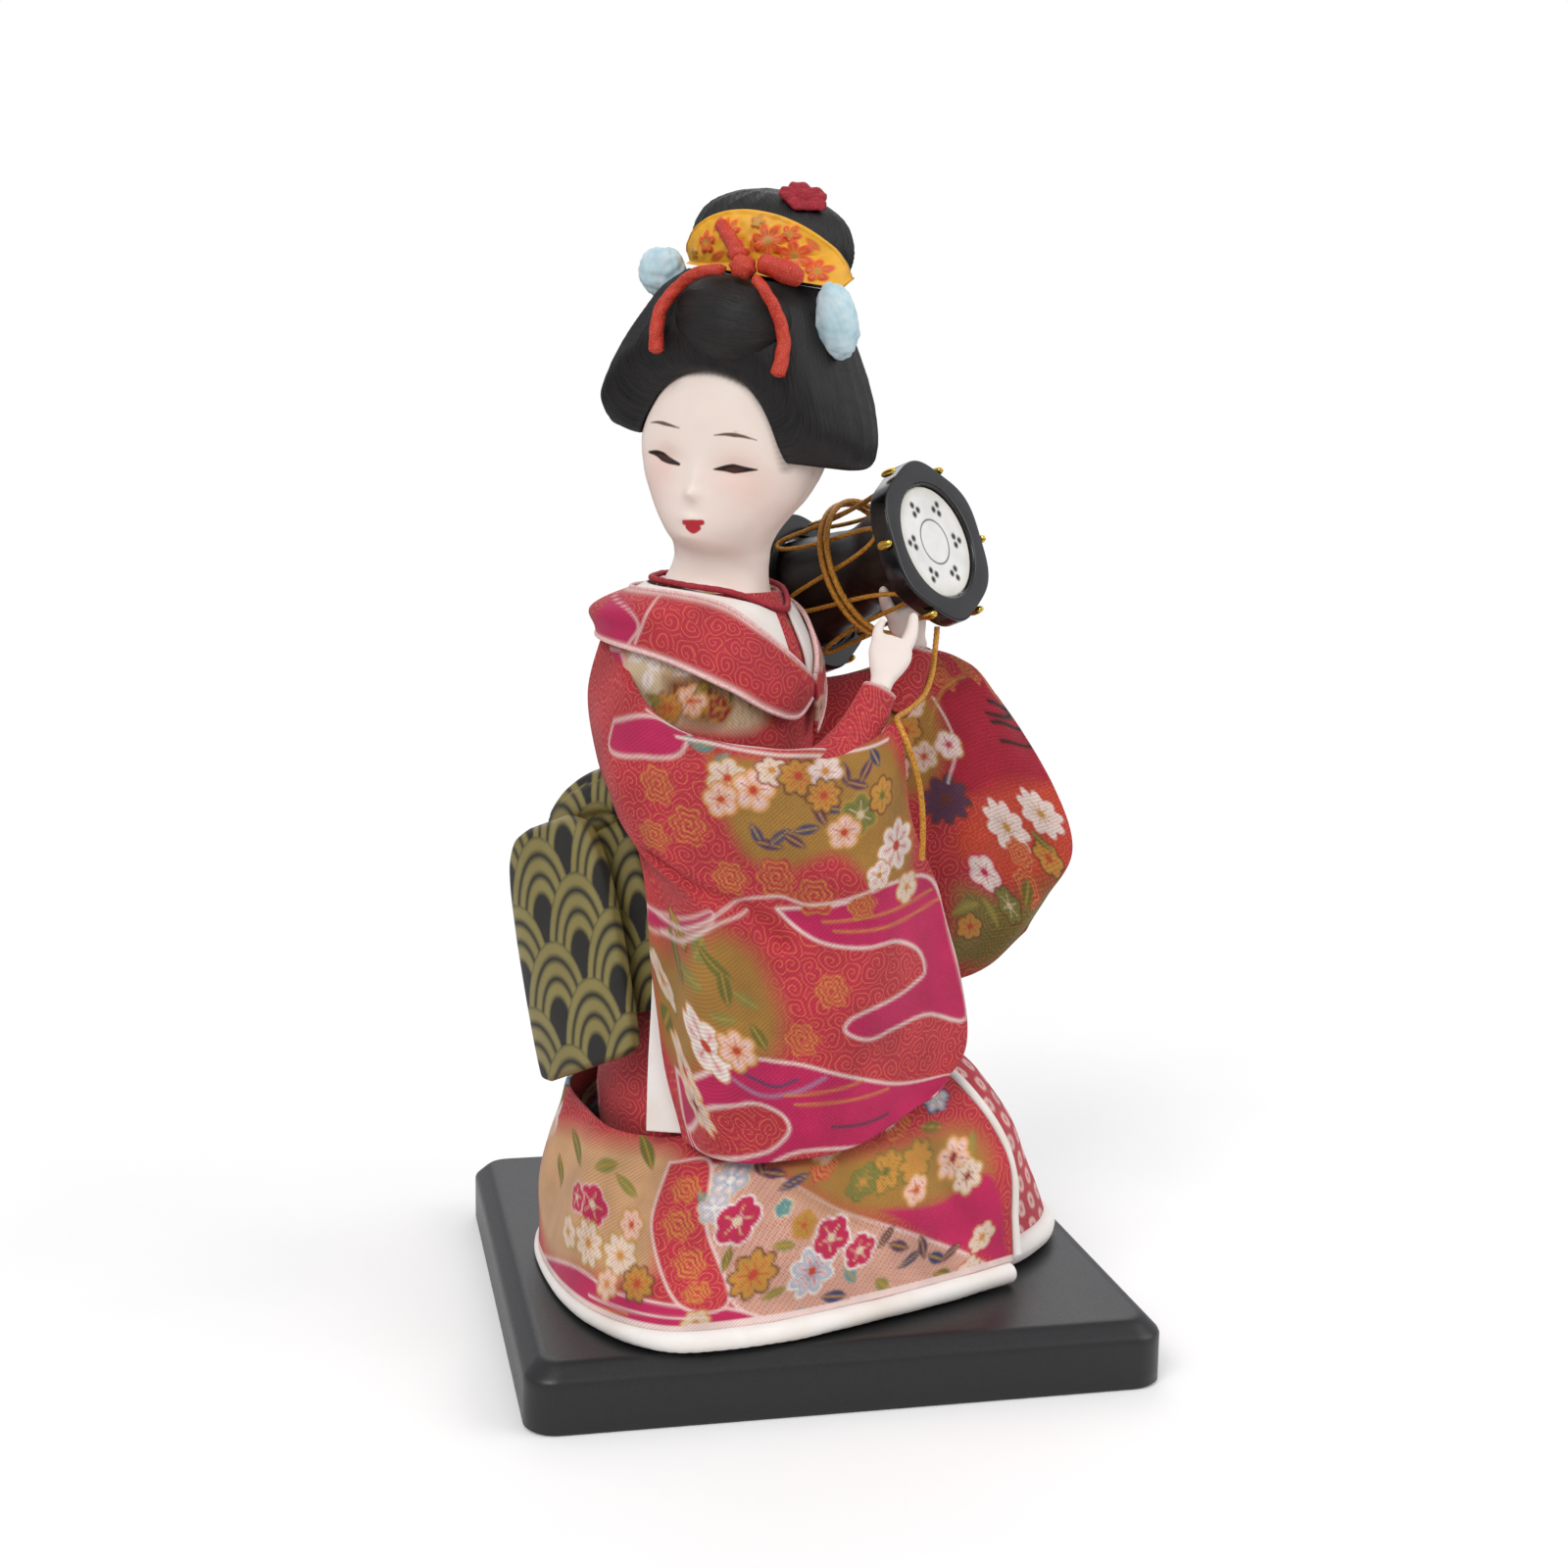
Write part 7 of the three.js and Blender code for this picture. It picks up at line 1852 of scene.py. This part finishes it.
# %% Clips, lacing and waist cord
CLIP_RADIUS, CLIP_LENGTH, CLIP_OFFSET = 0.75, 3.4, 0.6
CLIP_REACH = HOOP_RADIUS - HOOP_LOBE + CLIP_RADIUS + GAP
tip, around = np.linspace(0.1, math.pi - 0.1, 22)[:, None], round_turn(24)
flute = np.sin(tip) * (1 - 0.1 * np.abs(np.cos(2 * around)))
pebble = oval(around, CLIP_RADIUS * flute, flute, -CLIP_LENGTH / 2 * powered(np.cos(tip), 0.8))
for end, side in (("front", 1), ("back", -1)):
    for k in range(CLIPS):
        a = TAU * (k + 0.5) / CLIPS
        seat = [CLIP_REACH * math.cos(a), CLIP_REACH * math.sin(a), side * (HOOP_AT + CLIP_OFFSET)]
        clip = lofted(f"clip_{end}_{k + 1}", pebble @ turn_z(math.degrees(a)).T + seat, GILT_METAL, "drum")
        fit(clip, "doll", "gilt_metal", f"{end}_clip_{k + 1}")

LACING_RADIUS, RING_RADIUS, RING_TURNS = 0.45, 0.6, 2
LACING_END = HOOP_AT - HOOP_WIDTH / 2 - GAP - LACING_RADIUS - 0.1
AT_HOOP, AT_WAIST = HOOP_BORE + 1.6, HOOP_BORE + 0.4
RING_REACH = AT_WAIST + LACING_RADIUS + RING_RADIUS + 1.5 * GAP
t = np.linspace(0, 1, 720)
a = TAU * (0.006 + 0.988 * t)
wave = np.sin(CLIPS * a)
z = LACING_END * np.sign(wave) * (1 - (1 - np.abs(wave)) ** 1.35)
reach = AT_WAIST + (AT_HOOP - AT_WAIST) * (z / LACING_END) ** 2
lacing_line = oval(a, reach, reach, z)
lacing = rope("zigzag_lacing", lacing_line, LACING_RADIUS, GOLD_CORD, "drum", sides=10, strands=3, pitch=2.2)
fit(lacing, "doll", "gold_cord", "drum_lacing")
ring_line = oval(TAU * RING_TURNS * t, RING_REACH, RING_REACH, (t - 0.5) * RING_TURNS * (2 * RING_RADIUS + 0.5))
waist = rope("waist_cord", ring_line, RING_RADIUS, GOLD_CORD, "drum", sides=12, strands=3, pitch=2.0)
fit(waist, "doll", "gold_cord", "drum_waist_cord")

# %% [markdown]
# ## Hands
# Each hand is a simple mitten shape: a flat palm, the thumb on one side and the
# fingers drawn together. The three lofts are merged by a voxel remesh and
# smoothed, which gives soft webs between them that a boolean join would not.

# %% Hands
PALM = [[0, 2.1, 1.7], [2.5, 2.3, 1.7], [5.5, 3.4, 1.9], [8.5, 4.2, 1.9], [11, 3.9, 1.6], [12.5, 2.6, 1.1]]
FINGERS = [[1.6, 0, 9.5], [2.6, 0.1, 13], [2.7, 0.2, 16.5], [2.1, 0, 20]]
THUMB = [[-2.2, 0, 8], [-3.2, -0.2, 11], [-3.5, -0.3, 13.5], [-3, -0.2, 16]]
VOXEL = 0.00028


def limb(points, radius, steps=30, sides=24):
    """A finger or thumb: rings that close in at both ends"""
    t = np.linspace(0, 1, steps)
    size = radius(t) * np.sqrt(np.clip(np.minimum(t, 1 - t) / 0.07, 0.06, 1))
    angle = round_turn(sides)
    return swept(smooth_line(points, t), size[:, None] * np.ones(sides), angle, (0, 1.0, 0))


def hand(name, side, start, tilt, node):
    """Palm, fingers and thumb, tilted about x, then y, then z, and merged into one skin"""
    levels = np.linspace(0, 12.5, 30)
    half_width, half_depth = np.moveaxis(stations(PALM, levels)[:, None], -1, 0)
    palm = oval(round_turn(36), half_width, half_depth, levels[:, None])
    parts = [palm, limb(FINGERS, lambda t: 1.55 - 0.75 * t * t), limb(THUMB, lambda t: 1.2 - 0.6 * t * t)]
    turn = turn_z(tilt[2]) @ turn_y(tilt[1]) @ turn_x(tilt[0])
    groups = [lofted(f"{name}_{index}", part * [side, 1, 1] @ turn.T + start, SKIN)
              for index, part in enumerate(parts)]
    bpy.ops.object.select_all(action="DESELECT")
    for group in groups:
        group.select_set(True)
    bpy.context.view_layer.objects.active = groups[0]
    bpy.ops.object.join()
    piece = groups[0]
    piece.name = name
    for kind, settings in (("REMESH", {"mode": "VOXEL", "voxel_size": VOXEL}),
                           ("SMOOTH", {"factor": 0.5, "iterations": 8})):
        modifier = piece.modifiers.new(kind.title(), kind)
        for key, value in settings.items():
            setattr(modifier, key, value)
        bpy.ops.object.modifier_apply(modifier=modifier.name)
    piece.data.polygons.foreach_set("use_smooth", np.ones(len(piece.data.polygons), bool))
    ink = np.tile([*tint("f1e3da"), 0.0], (len(piece.data.vertices), 1))
    layer = piece.data.color_attributes.new("paint", "FLOAT_COLOR", "POINT")
    layer.data.foreach_set("color", ink.ravel())
    piece.data.materials.clear()
    piece.data.materials.append(SKIN)
    print(f"{name}: {len(piece.data.polygons)} faces")
    return fit(piece, "doll", "face_shell", node)


hand("near_hand", 1, [15.5783, -27.1284, 115.8536], (-41, 19, 0), "right_hand")
hand("far_hand", -1, [24.794, 9.403, 120.5409], (35, -30, 10), "left_hand")

# %% [markdown]
# ## Light, floor and the last measures
# The floor is one plain pale sheet. Two large soft lamps and a pale sky light the
# doll from the left and above at a plain level. What the camera sees beyond the
# floor is white by Light Path, not by stronger light on the doll.

# %% Floor
floor_mesh = bpy.data.meshes.new("floor")
floor_mesh.from_pydata([(-4, -4, 0), (4, -4, 0), (4, 4, 0), (-4, 4, 0)], [], [(0, 1, 2, 3)])
floor = bpy.data.objects.new("floor", floor_mesh)
bpy.context.scene.collection.objects.link(floor)
f = Finish("pale floor", "e9e7e4", 0.8)
ground = f.add("TexCoord").outputs["Object"]
reach = f.add("VectorMath", {"operation": "LENGTH"}, Vector=ground).outputs["Value"]
far = f.between(reach, 0.22, 0.6)
pale = f.mix(f.noise(40.0), tint("f1f0ee"), tint("f6f5f3"))
f.colour(f.mix(far, pale, tint("000000")))
f.shader.inputs["Emission Color"].default_value = (1, 1, 1, 1)
lit = f.between(far, 0.0, 1.0, 0.1, 1.0)
camera_ray = f.add("LightPath").outputs["Is Camera Ray"]
f.put(f.shader, "Emission Strength", f.math("MULTIPLY", lit, camera_ray))
f.shader.inputs["Specular IOR Level"].default_value = 0.0
floor.data.materials.append(f.material)

# %% Lamps and sky
LAMPS = {"key lamp": ((-0.7, -0.9, 1.1), 0.7, 9.6), "side lamp": ((1.0, -0.5, 0.7), 0.9, 5.0),
         "back lamp": ((0.2, 1.0, 0.9), 0.8, 3.0)}
for name, (place, size, power) in LAMPS.items():
    lamp_data = bpy.data.lights.new(name, "AREA")
    lamp_data.size = size
    lamp_data.energy = power
    lamp = bpy.data.objects.new(name, lamp_data)
    bpy.context.scene.collection.objects.link(lamp)
    lamp.location = place
    aim = np.array([0, 0, 0.1]) - place
    side = np.cross(aim, [0, 0, 1])
    lamp.rotation_mode = "QUATERNION"
    turned = Matrix([unit(v) for v in (side, np.cross(side, aim), -aim)]).transposed()
    lamp.rotation_quaternion = turned.to_quaternion()

world = bpy.data.worlds.new("studio")
bpy.context.scene.world = world
world.use_nodes = True
tree = world.node_tree
sky = tree.nodes["Background"]
sky.inputs["Color"].default_value = (0.95, 0.96, 1.0, 1)
sky.inputs["Strength"].default_value = 0.64
seen = tree.nodes.new("ShaderNodeBackground")
seen.inputs["Color"].default_value = (1, 1, 1, 1)
seen.inputs["Strength"].default_value = 1.0
path = tree.nodes.new("ShaderNodeLightPath")
either = tree.nodes.new("ShaderNodeMath")
either.operation = "MAXIMUM"
tree.links.new(path.outputs["Is Camera Ray"], either.inputs[0])
tree.links.new(path.outputs["Is Transmission Ray"], either.inputs[1])
choose = tree.nodes.new("ShaderNodeMixShader")
tree.links.new(either.outputs[0], choose.inputs[0])
tree.links.new(sky.outputs[0], choose.inputs[1])
tree.links.new(seen.outputs[0], choose.inputs[2])
tree.links.new(choose.outputs[0], tree.nodes["World Output"].inputs["Surface"])
bpy.context.scene.view_settings.view_transform = "Standard"
